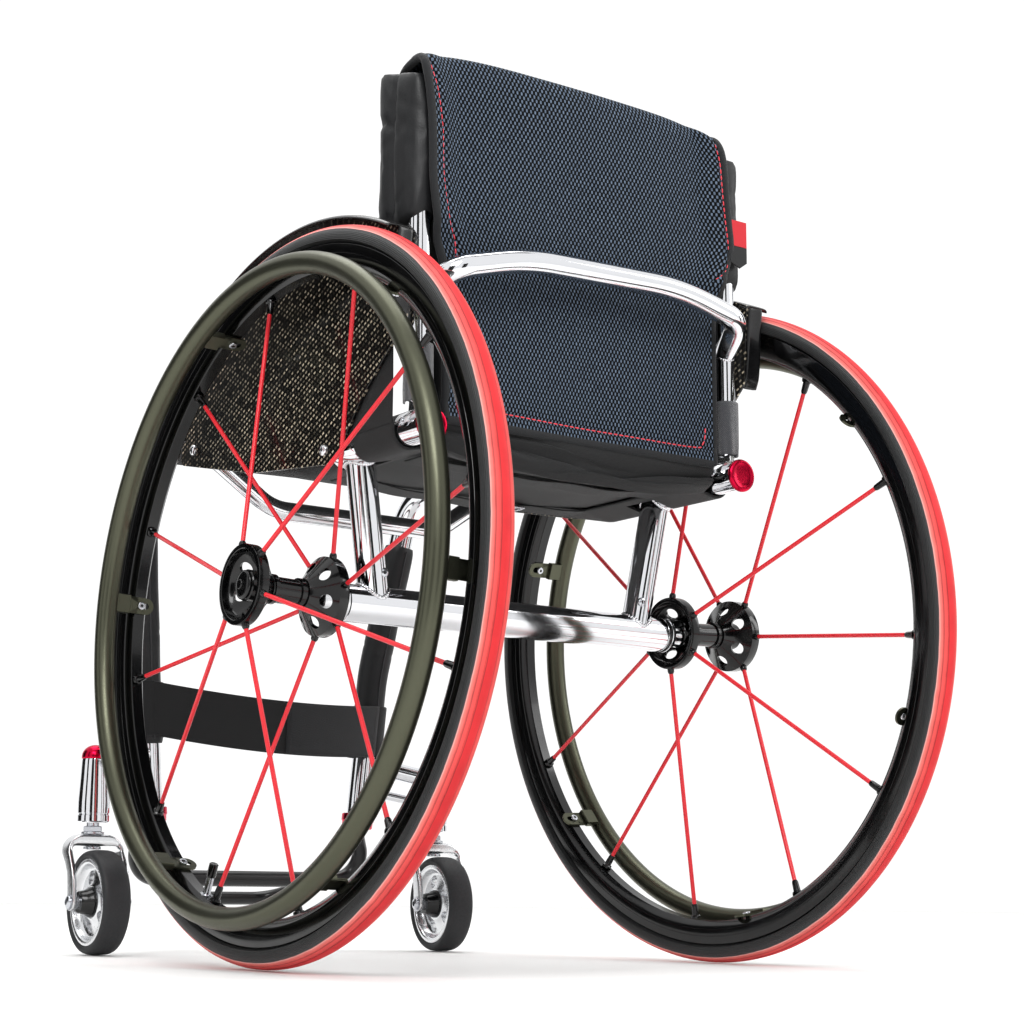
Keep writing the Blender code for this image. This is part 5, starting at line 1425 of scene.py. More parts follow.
def normals_of(points: np.ndarray) -> np.ndarray:
    """Unit normals of a grid, the cross product of its two directions.

    Args:
        points: Array of rows by columns by 3.

    Returns:
        Array of the same shape.
    """
    normal = np.cross(np.gradient(points, axis=0), np.gradient(points, axis=1))
    return normal / np.maximum(np.linalg.norm(normal, axis=2, keepdims=True), 1e-12)


def sheeted(points: np.ndarray, depth: float, round_edge: float = 0.5) -> Skin:
    """Give a grid of points a thickness and a rounded rim all round.

    Args:
        points: Array of rows by columns by 3, the middle of the sheet.
        depth: Its thickness.
        round_edge: How far the rim stands out, as a share of the thickness.

    Returns:
        The closed surface, with u and v in metres on both faces.
    """
    normal = normals_of(points)
    top, low = points + normal * depth / 2, points - normal * depth / 2
    high, wide = points.shape[:2]
    v = np.append(0.0, np.cumsum(np.linalg.norm(np.diff(points, axis=0), axis=2).mean(axis=1)))
    u = np.append(0.0, np.cumsum(np.linalg.norm(np.diff(points, axis=1), axis=2).mean(axis=0)))
    i = np.concatenate([np.zeros(wide - 1), np.arange(high - 1), np.full(wide - 1, high - 1),
                        np.arange(high - 1, 0, -1)]).astype(int)
    j = np.concatenate([np.arange(wide - 1), np.full(high - 1, wide - 1), np.arange(wide - 1, 0, -1),
                        np.zeros(high - 1)]).astype(int)
    out = points[i, j] - points[np.clip(i, 1, high - 2), np.clip(j, 1, wide - 2)]
    out /= np.maximum(np.linalg.norm(out, axis=1, keepdims=True), 1e-12)
    middle = points[i, j] + out * depth * round_edge
    shoulder = [(edge + middle) / 2 + out * depth * round_edge * 0.35 for edge in (top[i, j], low[i, j])]
    rim = grid(np.array([top[i, j], shoulder[0], middle, shoulder[1], low[i, j]]), wrap_columns=True)
    order = list(range(len(i))) + [0]
    rim.uv = [[[u[j[order[k + (c in (1, 2))]]], v[i[order[k + (c in (1, 2))]]]] for c in range(4)]
              for _ in range(4) for k in range(len(i))]
    return joined([grid(top, v, u), grid(low, v, u), rim])


def screwed(radius: float, height: float, place: Matrix,
            metal: Finish = PLATED_STEEL) -> list[tuple[Skin, Finish]]:
    """Dome-headed socket screw.

    Args:
        radius: The head's radius.
        height: The head's height.
        place: Where it stands, with Z out of the surface.
        metal: The head's finish.

    Returns:
        The head and its dark hexagonal socket, with their finishes.
    """
    turn = np.linspace(0, np.pi / 2, 7)
    dome = [(radius * math.cos(a) * 0.97 + 0.03 * radius, height * (0.25 + 0.75 * math.sin(a))) for a in turn]
    wall = radius * 0.42
    head = [(radius, -0.0006), (radius, height * 0.2), *dome[:-2], (wall, height * 0.97),
            (wall * 0.97, height * 0.45), (ON_AXIS, height * 0.45)]
    socket = [(ON_AXIS, height * 0.5), (wall * 0.95, height * 0.5), (wall * 0.95, height * 0.52)]
    return [(turned(head, 28).moved(place), metal), (turned(socket, 6).moved(place), BLACK_ANODISED)]


@dataclass
class FrameSide(SideAssembly):
    """Polished side tube with its strut, camber insert, hinge bracket and red rail cap."""

    strut_foot: float = 0.1405
    strut_head: float = 0.1625
    strut_y: tuple[float, float] = (-0.002, -0.010)
    saddle_length: float = 0.036
    saddle_wall: float = 0.0024
    cap_radius: float = 0.0145
    cap_thickness: float = 0.0045
    lug_radius: float = 0.0085
    lug_half: float = 0.0026
    bracket_y: tuple[float, float] = (-0.1095, -0.0880)
    broken: float = 0.0006        # length of a machined shell's broken edge
    waist: float = 0.975          # how far the edge is drawn in

    def build(self) -> None:
        """Make one side's pieces."""
        self.side_tube()
        self.strut()
        self.cap()
        self.insert()
        self.bracket()

    def shell(self, first: float, last: float, count: int, rear: float, front: float) -> Skin:
        """Machined shell that hugs the rail.

        Args:
            first: Angle where its section starts, in degrees.
            last: Angle where it ends.
            count: Points on its section.
            rear: y of its rear end.
            front: y of its front end.

        Returns:
            The surface: two arcs about the rail, carried along it and drawn in at both ends.
        """
        line = self.line
        turn = np.radians(np.linspace(first, last, count))
        inner, outer = line.tube + GAP, line.tube + GAP + self.saddle_wall
        ring = arc(outer, turn) + arc(inner, turn[::-1])
        ends = ((rear, self.waist), (rear + self.broken, 1.0), (front - self.broken, 1.0),
                (front, self.waist))
        points = np.array([[(self.side * line.rail_x + x * k, y, line.rail_rear[1] + z * k) for x, z in ring]
                           for y, k in ends])
        return grid(points, wrap_columns=True, caps=True)

    def side_tube(self) -> None:
        """Bend the seat rail and front tube in one piece."""
        line = self.line
        corners = [(line.rail_x, *line.rail_rear), (line.rail_x, line.knee_y, line.rail_rear[1]),
                   (line.rail_x, line.top_y, line.rail(line.top_y)), line.waist, line.end]
        path = bent(mirrored(corners, self.side), (0.20, line.front_bend, 0.20))
        self.piece("seat_and_front_tube", [(piped(path, line.tube, 48), POLISHED_ALUMINIUM)],
                   Finishes.POLISHED, replaces="side_tube")

    def strut(self) -> None:
        """Strut with a saddle under the rail and a weld round its foot."""
        line = self.line
        foot = Vector((self.side * self.strut_foot, self.strut_y[0], line.axle_z))
        head = Vector((self.side * self.strut_head, self.strut_y[1], line.rail_rear[1]))
        loops = [saddle(foot, head, line.tube, (0, 0, line.axle_z), (1, 0, 0), line.axle_radius),
                 saddle(head, foot, line.tube, (self.side * line.rail_x, 0, line.rail_rear[1]), (0, 1, 0),
                        line.tube + self.saddle_wall)]
        tube = piped(refined(np.array([tuple(foot), tuple(head)]), 0.02), line.tube, 48)
        rear, front = (self.strut_y[1] + end * self.saddle_length / 2 for end in (-1, 1))
        skins = [(tube, POLISHED_ALUMINIUM), (self.shell(200, 340, 25, rear, front), POLISHED_ALUMINIUM)]
        skins += [(bead(loop), POLISHED_ALUMINIUM) for loop in loops]
        place = aimed(foot + Vector((-self.side * 0.001, -line.tube * 0.98, 0.026)), (0, -1, 0))
        skins += screwed(0.0042, 0.0022, place)
        self.piece("welded_strut", skins, Finishes.POLISHED, replaces="strut")

    def cap(self) -> None:
        """Red anodised plug with a bevelled rim and a shallow turned dish."""
        r, t = self.cap_radius, self.cap_thickness
        profile = [(ON_AXIS, 0.010), (0.0098, 0.010), (0.0098, -GAP), (r - 0.0003, -GAP), (r, -GAP - 0.0004),
                   (r, -t * 0.55), (r - 0.0006, -t * 0.80), (r - 0.0018, -t * 0.96), (r - 0.0028, -t),
                   (r - 0.0036, -t * 0.97), (r - 0.0044, -t * 0.86), (r * 0.40, -t * 0.80),
                   (ON_AXIS, -t * 0.79)]
        place = aimed((self.side * self.line.rail_x, *self.line.rail_rear), (0, 1, 0))
        self.piece("red_rail_plug", [(turned(profile, 72).moved(place), CRIMSON_ANODISED)], Finishes.RED,
                   replaces="rail_cap")

    def insert(self) -> None:
        """Turn the camber insert: a grooved collar against the tube and a nose towards the hub."""
        x, r = self.line.axle_half + GAP, self.line.axle_radius
        wheel = RearWheel(self.shop, self.side, self.label)
        nose = (wheel.place @ Vector((0, 0, -wheel.boss_inner - 0.0006))).x * self.side
        profile = [(0.0070, nose), (0.0092, nose), (0.0098, nose - 0.0006), (0.0098, x + 0.0131),
                   (0.0104, x + 0.0126), (r - 0.0008, x + 0.0089), (r, x + 0.0082), (r, x + 0.0058),
                   (r - 0.0007, x + 0.0053), (r - 0.0007, x + 0.0043), (r, x + 0.0038), (r, x + 0.0004),
                   (r - 0.0004, x), (0.0123, x), (0.0123, x - 0.040), (0.0070, x - 0.040)]
        place = aimed((0, 0, self.line.axle_z), (self.side, 0, 0))
        self.piece("camber_sleeve", [(turned(profile, 64, closed=True).moved(place), MACHINED_ALUMINIUM)],
                   Finishes.POLISHED, replaces="camber_insert")

    def bracket(self) -> None:
        """Machined saddle on the rail with the lug and pin of the backrest hinge."""
        line = self.line
        x = self.side * line.rail_x
        rear, front = self.bracket_y
        seat = line.rail_rear[1] + line.tube + 0.001
        lug = arc(self.lug_radius, np.radians(np.linspace(0, 180, 17)), line.cane_y, line.hinge_z)
        lug += [(line.cane_y - self.lug_radius - 0.0006, seat), (front - 0.002, seat)]
        plate = slab(lug, -self.lug_half, self.lug_half, 0.0005).moved(upright(x))
        skins = [(self.shell(12, 168, 29, rear, front), MACHINED_ALUMINIUM), (plate, MACHINED_ALUMINIUM)]
        for way in (-1, 1):
            place = aimed((x + way * (line.tube + GAP + self.saddle_wall) * 0.96, (rear + front) / 2,
                           line.rail_rear[1] + 0.0042), (way, 0, 0.28))
            skins += screwed(0.0034, 0.0018, place)
        self.piece("machined_hinge_bracket", skins, Finishes.POLISHED, replaces="hinge_bracket")
        pin = rounded(-line.cane_radius + 0.0008, line.cane_radius - 0.0008, 0.0030, 0.0005)
        place = aimed((x, line.cane_y, line.hinge_z), (1, 0, 0))
        self.piece("backrest_pin", [(turned(pin, 28).moved(place), PLATED_STEEL)], Finishes.STEEL,
                   replaces="hinge_pin")


@dataclass
class Frame(Assembly):
    """Polished tubes that join both sides: the axle tube and the seat's cross tube."""

    cross_y: float = 0.250
    cross_drop: float = 0.047
    cross_flat: float = 0.066
    cross_radius: float = 0.0092

    def build(self) -> None:
        """Make both tubes."""
        self.axle()
        self.cross()

    def axle(self) -> None:
        """Turn the axle tube with broken edges."""
        r, half = self.line.axle_radius, self.line.axle_half
        profile = [(r - 0.0030, half), (r - 0.0004, half), (r, half - 0.0004)]
        profile += [(r, x) for x in np.linspace(half - 0.01, -half + 0.01, 18)]
        profile += [(r, -half + 0.0004), (r - 0.0004, -half), (r - 0.0030, -half)]
        skin = turned(profile, 64, closed=True).moved(aimed((0, 0, self.line.axle_z), (1, 0, 0)))
        self.piece("polished_axle_tube", [(skin, POLISHED_ALUMINIUM)], Finishes.POLISHED,
                   replaces="axle_tube")

    def cross(self) -> None:
        """Bend the cross tube and weld it under both rails."""
        line = self.line
        height = line.rail(self.cross_y)
        half = [(line.rail_x, self.cross_y, height),
                (self.cross_flat + 0.030, self.cross_y, height - self.cross_drop)]
        path = bent(mirrored(half, -1) + mirrored(half[::-1], 1), (0.055, 0.055))
        skins = [(piped(path, self.cross_radius, 40), POLISHED_ALUMINIUM)]
        for side in SIDES.values():
            ends = mirrored(half, side)
            loop = saddle(ends[0], ends[1], self.cross_radius, ends[0], (0, 1, line.rise), line.tube)
            skins.append((bead(loop, 0.0016), POLISHED_ALUMINIUM))
        self.piece("bent_cross_tube", skins, Finishes.POLISHED, replaces="seat_cross_tube")


@dataclass
class Castor(SideAssembly):
    """Castor wheel in its fork, with stem, bearing housing, arms to the front tube and red cap."""

    trail: float = 0.020
    headings: tuple[float, float] = (math.radians(-2.5), math.radians(-7.0))
    radius: float = 0.0490
    seat: float = 0.0410
    hub_half: float = 0.0205
    hub_radius: float = 0.0145
    windows: int = 5
    window: float = 0.0066
    fork_half: float = 0.0292
    leg: float = 0.0050
    crown_top: float = 0.1130
    crown_low: float = 0.1015
    shoulder: float = 0.0180
    foot: float = 0.008           # radius of each leg's round end
    # radius and height of the tyre's and the dish's upper half; z, front y and rear y of the fork
    tyre: tuple = ((0.0413, 0.0108), (0.0416, 0.0124), (0.0432, 0.0134), (0.0452, 0.0134), (0.0470, 0.0122),
                   (0.0482, 0.0096), (0.0488, 0.0062), (0.0490, 0.0025))
    dish: tuple = ((0.0140, 0.0074), (0.0162, 0.0074), (0.0205, 0.0056), (0.0290, 0.0040), (0.0322, 0.0046),
                   (0.0344, 0.0082), (0.0356, 0.0112), (0.0368, 0.0122), (0.0402, 0.0122), (0.0410, 0.0116))
    side_view: tuple = ((0.049, -0.012, -0.028), (0.066, -0.0115, -0.0265), (0.080, -0.0085, -0.0225),
                        (0.096, 0.0050, -0.0130), (0.104, 0.0092, -0.0102), (0.110, 0.0100, -0.0100))
    housing: tuple[float, float] = (0.1240, 0.1850)
    housing_radii: tuple[float, float] = (0.0152, 0.0130)
    arm: tuple[float, float, float] = (0.0095, 0.1960, 0.1790)
    brace: tuple[float, float, float] = (0.0050, 0.1680, 0.1520)

    @property
    def spot(self) -> Matrix:
        """Place of the swivel.

        Returns:
            A matrix at floor height under its axis, turned to the castor's heading.
        """
        heading = self.headings[1] if self.side > 0 else self.headings[0]
        x, y = self.line.castor
        return Matrix.Translation((self.side * x, y, 0)) @ Matrix.Rotation(heading, 4, "Z")

    @property
    def axle(self) -> Matrix:
        """Wheel centre with Z along the wheel's axle."""
        return self.spot @ aimed((0, -self.trail, self.radius), (1, 0, 0))

    def build(self) -> None:
        """Make the castor's pieces."""
        self.wheel()
        self.fork()
        self.stem()
        self.bearing()

    def wheel(self) -> None:
        """Turn tyre, dished rim with round windows, and black hub."""
        body = self.label + "_castor_wheel"
        rubber = turned(both_ways(smoothed(self.tyre, 4)), 96, closed=True).moved(self.axle)
        self.piece("castor_rubber", [(rubber, CASTOR_RUBBER)], Finishes.CASTOR_RUBBER, replaces="castor_tyre",
                   body=body, crease=60)
        plate = turned(both_ways(smoothed(self.dish, 3)), 96, closed=True).moved(self.axle)
        rim = self.piece("castor_dish", [(plate, MACHINED_ALUMINIUM)], Finishes.POLISHED,
                         replaces="castor_rim", body=body)
        middle = (self.hub_radius + self.seat - 0.007) / 2
        drills = []
        for k in range(self.windows):
            angle = 2 * math.pi * k / self.windows
            at = Matrix.Translation((middle * math.cos(angle), middle * math.sin(angle), 0))
            drills.append(turned(rounded(-0.016, 0.016, self.window, 0.0005), 32).moved(self.axle @ at))
        self.shop.cut(rim, drills, smooth=True)
        half = self.hub_half
        hub = [(0.0046, -half), (0.0098, -half), (0.0104, -half + 0.0006), (0.0112, -half + 0.0060),
               (0.0140, -0.0098), (0.0143, -0.0085), (0.0143, 0.0085), (0.0140, 0.0098),
               (0.0112, half - 0.0060), (0.0104, half - 0.0006), (0.0098, half), (0.0046, half)]
        skins = [(turned(hub, 64, closed=True).moved(self.axle), BLACK_ANODISED)]
        near, far = half + 0.0001, self.fork_half - self.leg - 0.0002
        for way in (-1, 1):
            spacer = [(0.0043, way * near), (0.0064, way * near), (0.0064, way * far), (0.0043, way * far)]
            skins.append((turned(spacer, 40, closed=True).moved(self.axle), PLATED_STEEL))
        self.piece("castor_hub", skins, Finishes.BLACK_METAL, body=body)

    def fork(self) -> None:
        """Loft the fork: rounded rectangles between its outer and its inner line, swept back to the axle."""
        turn = np.linspace(0, np.pi / 2, 10)
        centre = (self.fork_half - self.shoulder, self.crown_top - self.shoulder)
        foot_z = self.radius - self.foot * np.cos(np.linspace(0.12, np.pi / 2, 9))
        leg_z = np.concatenate([foot_z, [0.054, 0.062, 0.070, 0.078, 0.086]])
        inside, corner = self.fork_half - self.leg, 0.005
        outer = [(self.fork_half, z) for z in leg_z]
        outer += arc(self.shoulder, turn, *centre)
        inner = [(inside, z) for z in leg_z]
        inner += arc(corner, turn, inside - corner, self.crown_low - corner)
        outer += [(x, self.crown_top) for x in (0.006, 0.0)]
        inner += [(x, self.crown_low) for x in (0.010, 0.0)]
        outer, inner = (np.array(half + [(-x, z) for x, z in half[-2::-1]]) for half in (outer, inner))
        middle, reach = (outer + inner) / 2, (outer - inner) / 2
        z = middle[:, 1]
        heights, fronts, rears = np.array(self.side_view).T
        below = np.minimum(z - self.radius, 0)
        low = np.sqrt(np.maximum(self.foot ** 2 - below ** 2, 1e-7)) + (z > self.radius)
        front = np.minimum(np.interp(z, heights, fronts), -self.trail + low)[:, None]
        rear = np.maximum(np.interp(z, heights, rears), -self.trail - low)[:, None]
        a = np.linspace(0, 2 * np.pi, 36, endpoint=False)
        across, deep = (np.sign(f(a)) * np.abs(f(a)) ** 0.42 for f in (np.cos, np.sin))
        points = np.stack([middle[:, :1] + reach[:, :1] * deep,
                           (front + rear) / 2 + (front - rear) / 2 * across,
                           middle[:, 1:] + reach[:, 1:] * deep], axis=2)
        skins = [(grid(points, wrap_columns=True, caps=True).moved(self.spot), MACHINED_ALUMINIUM)]
        body = self.label + "_castor_swivel"
        self.piece("bent_fork", skins, Finishes.POLISHED, replaces="castor_fork", body=body, crease=50)
        bolts = []
        for way in (-1, 1):
            face = aimed((0, -self.trail, self.radius), (way, 0, 0))
            face_x = self.fork_half
            washer = turned([(ON_AXIS, face_x), (0.0076, face_x), (0.0076, face_x + 0.0007),
                             (ON_AXIS, face_x + 0.0007)], 36)
            lift = Matrix.Translation((0, 0, self.fork_half + 0.0005))
            bolts += [(washer.moved(self.spot @ face), PLATED_STEEL),
                      *screwed(0.0062, 0.0030, self.spot @ face @ lift)]
        shank = turned(rounded(-self.fork_half, self.fork_half, 0.0040, 0.0004), 32)
        bolts.append((shank.moved(self.axle), PLATED_STEEL))
        self.piece("castor_axle_bolt", bolts, Finishes.STEEL, replaces="castor_bolt", body=body)

    def stem(self) -> None:
        """Stem with its flanged hexagon nut between fork and housing."""
        nut = self.crown_top + GAP
        shaft = turned(rounded(self.crown_low - 0.0025, 0.1750, 0.0060, 0.0006), 36)
        head = turned(rounded(self.crown_low - 0.0028, self.crown_low - GAP, 0.0085, 0.0006), 36)
        flange = turned(rounded(nut, nut + 0.0022, 0.0110, 0.0006), 48)
        hexagon = turned([(ON_AXIS, nut + 0.0020), (0.0090, nut + 0.0020), (0.0095, nut + 0.0026),
                          (0.0095, nut + 0.0068), (0.0086, nut + 0.0076), (ON_AXIS, nut + 0.0076)], 6)
        skins = [(skin.moved(self.spot), PLATED_STEEL) for skin in (shaft, head, flange, hexagon)]
        self.piece("stem_and_nut", skins, Finishes.STEEL, replaces="castor_stem",
                   body=self.label + "_castor_swivel", crease=25)

    def bearing(self) -> None:
        """Bearing housing with its two welded arms, and the red domed cap."""
        x, y = self.side * self.line.castor[0], self.line.castor[1]
        (low, high), (wide, slim) = self.housing, self.housing_radii
        profile = [(0.0066, low), (0.0128, low), (0.0130, low + 0.0006), (wide - 0.0008, low + 0.0006),
                   (wide, low + 0.0014), (wide, low + 0.0070), (wide - 0.0006, low + 0.0076),
                   (wide - 0.0006, low + 0.0086), (wide, low + 0.0092), (wide, low + 0.020),
                   (slim + 0.0008, low + 0.042), (slim, high - 0.002), (slim - 0.0004, high), (0.0066, high)]
        spot = Matrix.Translation((x, y, 0))
        skins = [(turned(profile, 72, closed=True).moved(spot), POLISHED_ALUMINIUM)]
        for radius, inner, outer in (self.arm, self.brace):
            foot = self.line.front(inner)
            start, end = Vector((self.side * foot.x, foot.y, inner)), Vector((x, y, outer))
            arm = piped(refined(np.array([tuple(start), tuple(end)]), 0.012), radius, 36)
            run = self.line.foot_axis(self.side).to_3x3() @ Vector((0, 0, 1))
            at_tube = bead(saddle(start, end, radius, start, run, self.line.tube), 0.0015)
            at_housing = bead(saddle(end, start, radius, (x, y, 0), (0, 0, 1), slim + 0.0012), 0.0014)
            skins += [(skin, POLISHED_ALUMINIUM) for skin in (arm, at_tube, at_housing)]
        self.piece("bearing_housing", skins, Finishes.POLISHED, replaces="castor_housing")
        turn = np.linspace(0, np.pi / 2, 12)
        base = high + GAP
        dome = [(ON_AXIS, base), (slim - 0.0002, base), (slim, base + 0.0003), (slim, base + 0.0016)]
        dome += [(slim * math.cos(a), base + 0.0020 + 0.0115 * math.sin(a)) for a in turn[:-1]]
        dome.append((ON_AXIS, base + 0.0135))
        self.piece("red_dome", [(turned(dome, 64).moved(spot), CRIMSON_ANODISED)], Finishes.RED,
                   replaces="housing_cap")


@dataclass
class Footrest(Assembly):
    """Black hoop and front bar below the front tubes."""

    leg_radius: float = 0.0080
    insertion: float = 0.0350
    crank: float = 0.0130
    spread: float = 0.1330
    shoulder: tuple[float, float] = (0.4390, 0.1030)
    bar: tuple[float, float] = (0.4490, 0.0730)
    front: tuple[float, float] = (0.5080, 0.0530)
    front_radius: float = 0.0068
    front_half: float = 0.0720

    def build(self) -> None:
        """Make hoop and bar."""
        axis = self.line.foot_axis(1)
        half = [axis @ Vector((0, 0, self.insertion)), axis @ Vector((0, 0, -self.crank)),
                Vector((self.spread - 0.002, *self.shoulder)), Vector((self.spread, *self.bar))]
        corners = half + mirrored(half[::-1], -1)
        bends = (0.014, 0.020, 0.027)
        path = bent(corners, bends + bends[::-1])
        self.piece("black_footrest_hoop", [(piped(path, self.leg_radius, 40), BLACK_POWDER)],
                   Finishes.BLACK_METAL, replaces="footrest_hoop")
        ends = [(self.front_half, *self.bar), (self.front_half, *self.front)]
        path = bent(mirrored(ends, -1) + mirrored(ends[::-1], 1), (0.034, 0.034))
        skins = [(piped(path, self.front_radius, 40), BLACK_POWDER)]
        for side in SIDES.values():
            foot, head = mirrored(ends, side)
            loop = saddle(foot, head, self.front_radius, foot, (1, 0, 0), self.leg_radius)
            skins.append((bead(loop, 0.0015), BLACK_POWDER))
        self.piece("black_footrest_bar", skins, Finishes.BLACK_METAL, replaces="footrest_front_bar")


@dataclass
class Clamp(SideAssembly):
    """Red split clamp that holds the footrest's leg in the front tube."""

    radius: float = 0.0172
    half: float = 0.0075
    ear: float = 0.0085
    ear_round: float = 0.0055
    leg: float = Footrest.leg_radius

    def build(self) -> None:
        """Split collar with two ears and their screw, sloped towards the leg below."""
        place = self.line.foot_axis(self.side)
        r, half = self.radius, self.half
        bore, step = self.line.tube + 0.0006, self.leg + 0.0006
        loop = [(r - 0.0012, half), (r - 0.0003, half - 0.0004), (r, half - 0.0012), (r, 0.0005),
                (r - 0.0008, -0.0005), (r - 0.0012, -half + 0.0014), (r - 0.0018, -half + 0.0004),
                (r - 0.0026, -half), (step, -half), (step, 0.0), (bore, 0.0), (bore, half)]
        open_at = math.asin(0.0008 / r)
        turn = -np.pi / 2 + np.linspace(open_at, 2 * np.pi - open_at, 80)
        points = np.array([[(rad * math.cos(a), rad * math.sin(a), h) for rad, h in loop] for a in turn])
        skins = [(grid(points, wrap_columns=True, caps=True).moved(place), CRIMSON_ANODISED)]
        for way in (-1, 1):
            near, far = sorted((way * 0.0008, way * 0.0046))
            tip = -r - self.ear + 0.0080
            end = arc(self.ear_round, np.radians(np.linspace(270, 90, 11)), tip)
            outline = [(tip + 0.006, -self.ear_round), *end, (tip + 0.006, self.ear_round)]
            skins.append((slab(outline, near, far, 0.0004).moved(place @ upright()), CRIMSON_ANODISED))
            skins += screwed(0.0032, 0.0022, place @ aimed((way * 0.0045, tip, 0), (way, 0, 0)))
        self.piece("red_clamp", skins, Finishes.RED, replaces="footrest_clamp")


def eased(value: float | np.ndarray, low: float, high: float) -> float | np.ndarray:
    """Smooth step from 0 at low to 1 at high: 3 s² - 2 s³.

    Args:
        value: The number or array to place.
        low: Where the step starts.
        high: Where it ends.

    Returns:
        The step's height at each value.
    """
    s = np.clip((value - low) / (high - low), 0.0, 1.0)
    return s * s * (3 - 2 * s)


def stitches(path: np.ndarray, length: float = 0.0044, gap: float = 0.0015, radius: float = 0.0007) -> Skin:
    """Row of thread dashes along a path that lies on the cloth.

    Args:
        path: The seam line's points.
        length: Length of one stitch.
        gap: Space between two stitches.
        radius: The thread's radius.

    Returns:
        The dashes, each a short pipe that dips into the cloth at both ends.
    """
    walk = walked(path)
    skins = []
    for start in np.arange(0.0, walk[-1] - length, length + gap):
        at = start + length * np.array([0.0, 0.15, 0.5, 0.85, 1.0])
        dash = np.stack([np.interp(at, walk, path[:, k]) for k in range(3)], axis=1)
        skins.append(piped(dash, radius * np.array([0.35, 0.85, 1.0, 0.85, 0.35]), 7))
    return joined(skins)


def puffed(skin: Skin, voxel: float, reach: float, pressure: float = 4.0, frames: int = 20) -> Skin:
    """Blow a closed surface up as cloth, so that it bulges and puckers as a stuffed cover does.

    Args:
        skin: The surface, in the axle frame.
        voxel: Size of the cloth's cells.
        reach: The furthest that a point may move.
        pressure: Air pressure inside.
        frames: Frames of simulation.
    """
    blown = linked("puffing", cleaned(meshed("puffing", skin)))
    remesh = blown.modifiers.new("cells", "REMESH")
    remesh.mode, remesh.voxel_size = "VOXEL", voxel
    settle(blown)
    start = np.array([tuple(vertex.co) for vertex in blown.data.vertices])
    cloth = blown.modifiers.new("cloth", "CLOTH")
    cloth.settings.use_pressure = True
    cloth.settings.uniform_pressure_force = pressure
    cloth.settings.effector_weights.gravity = 0.0
    cloth.point_cache.frame_start, cloth.point_cache.frame_end = 1, frames
    for frame in range(1, frames + 1):
        bpy.context.scene.frame_set(frame)
    settle(blown)
    bpy.context.scene.frame_set(1)
    move = np.array([tuple(vertex.co) for vertex in blown.data.vertices]) - start
    far = np.maximum(np.linalg.norm(move, axis=1, keepdims=True), 1e-9)
    end = start + move * np.minimum(1.0, reach / far)
    faces = [list(face.vertices) for face in blown.data.polygons]
    bpy.data.objects.remove(blown)
    return Skin(end, faces, [[[0.0, 0.0]] * len(face) for face in faces])


def pad(stations: Sequence[tuple[float, float, float, float]], centre: float, power: float = 5.0,
        cap: float = 0.012, sides: int = 96) -> Skin:
    """Closed pad from level sections, each a superellipse |x/a|^p + |y/b|^p = 1, with domed ends.

    Args:
        stations: Height, rear y, front y and half width of each section, from the bottom up.
        centre: x of the pad's middle.
        power: The sections' exponent: higher is squarer.
        cap: Height of the dome at each end.
        sides: Points round each section.

    Returns:
        The surface.
    """
    knots = smoothed(stations, 8)
    turn = np.linspace(0, 2 * np.pi, sides, endpoint=False)
    c, s = np.cos(turn), np.sin(turn)
    wide, deep = np.sign(c) * np.abs(c) ** (2 / power), np.sign(s) * np.abs(s) ** (2 / power)
    rows = []
    for angle in np.linspace(math.pi / 2, 0, 7)[:-1]:
        rows.append((knots[0], knots[0][0] - cap * math.sin(angle), angle))
    rows += [(knot, knot[0], 0.0) for knot in knots]
    for angle in np.linspace(0, math.pi / 2, 7)[1:]:
        rows.append((knots[-1], knots[-1][0] + cap * math.sin(angle), angle))
    points = []
    for (_, rear, front, half), z, angle in rows:
        drawn = cap * (1 - math.cos(angle)) * 0.999
        a, b = max(half - drawn, 0.0005), max((front - rear) / 2 - drawn, 0.0005)
        points.append(np.stack([centre + a * wide, (rear + front) / 2 + b * deep, np.full(sides, z)], axis=1))
    return grid(np.array(points), wrap_columns=True, caps=True)


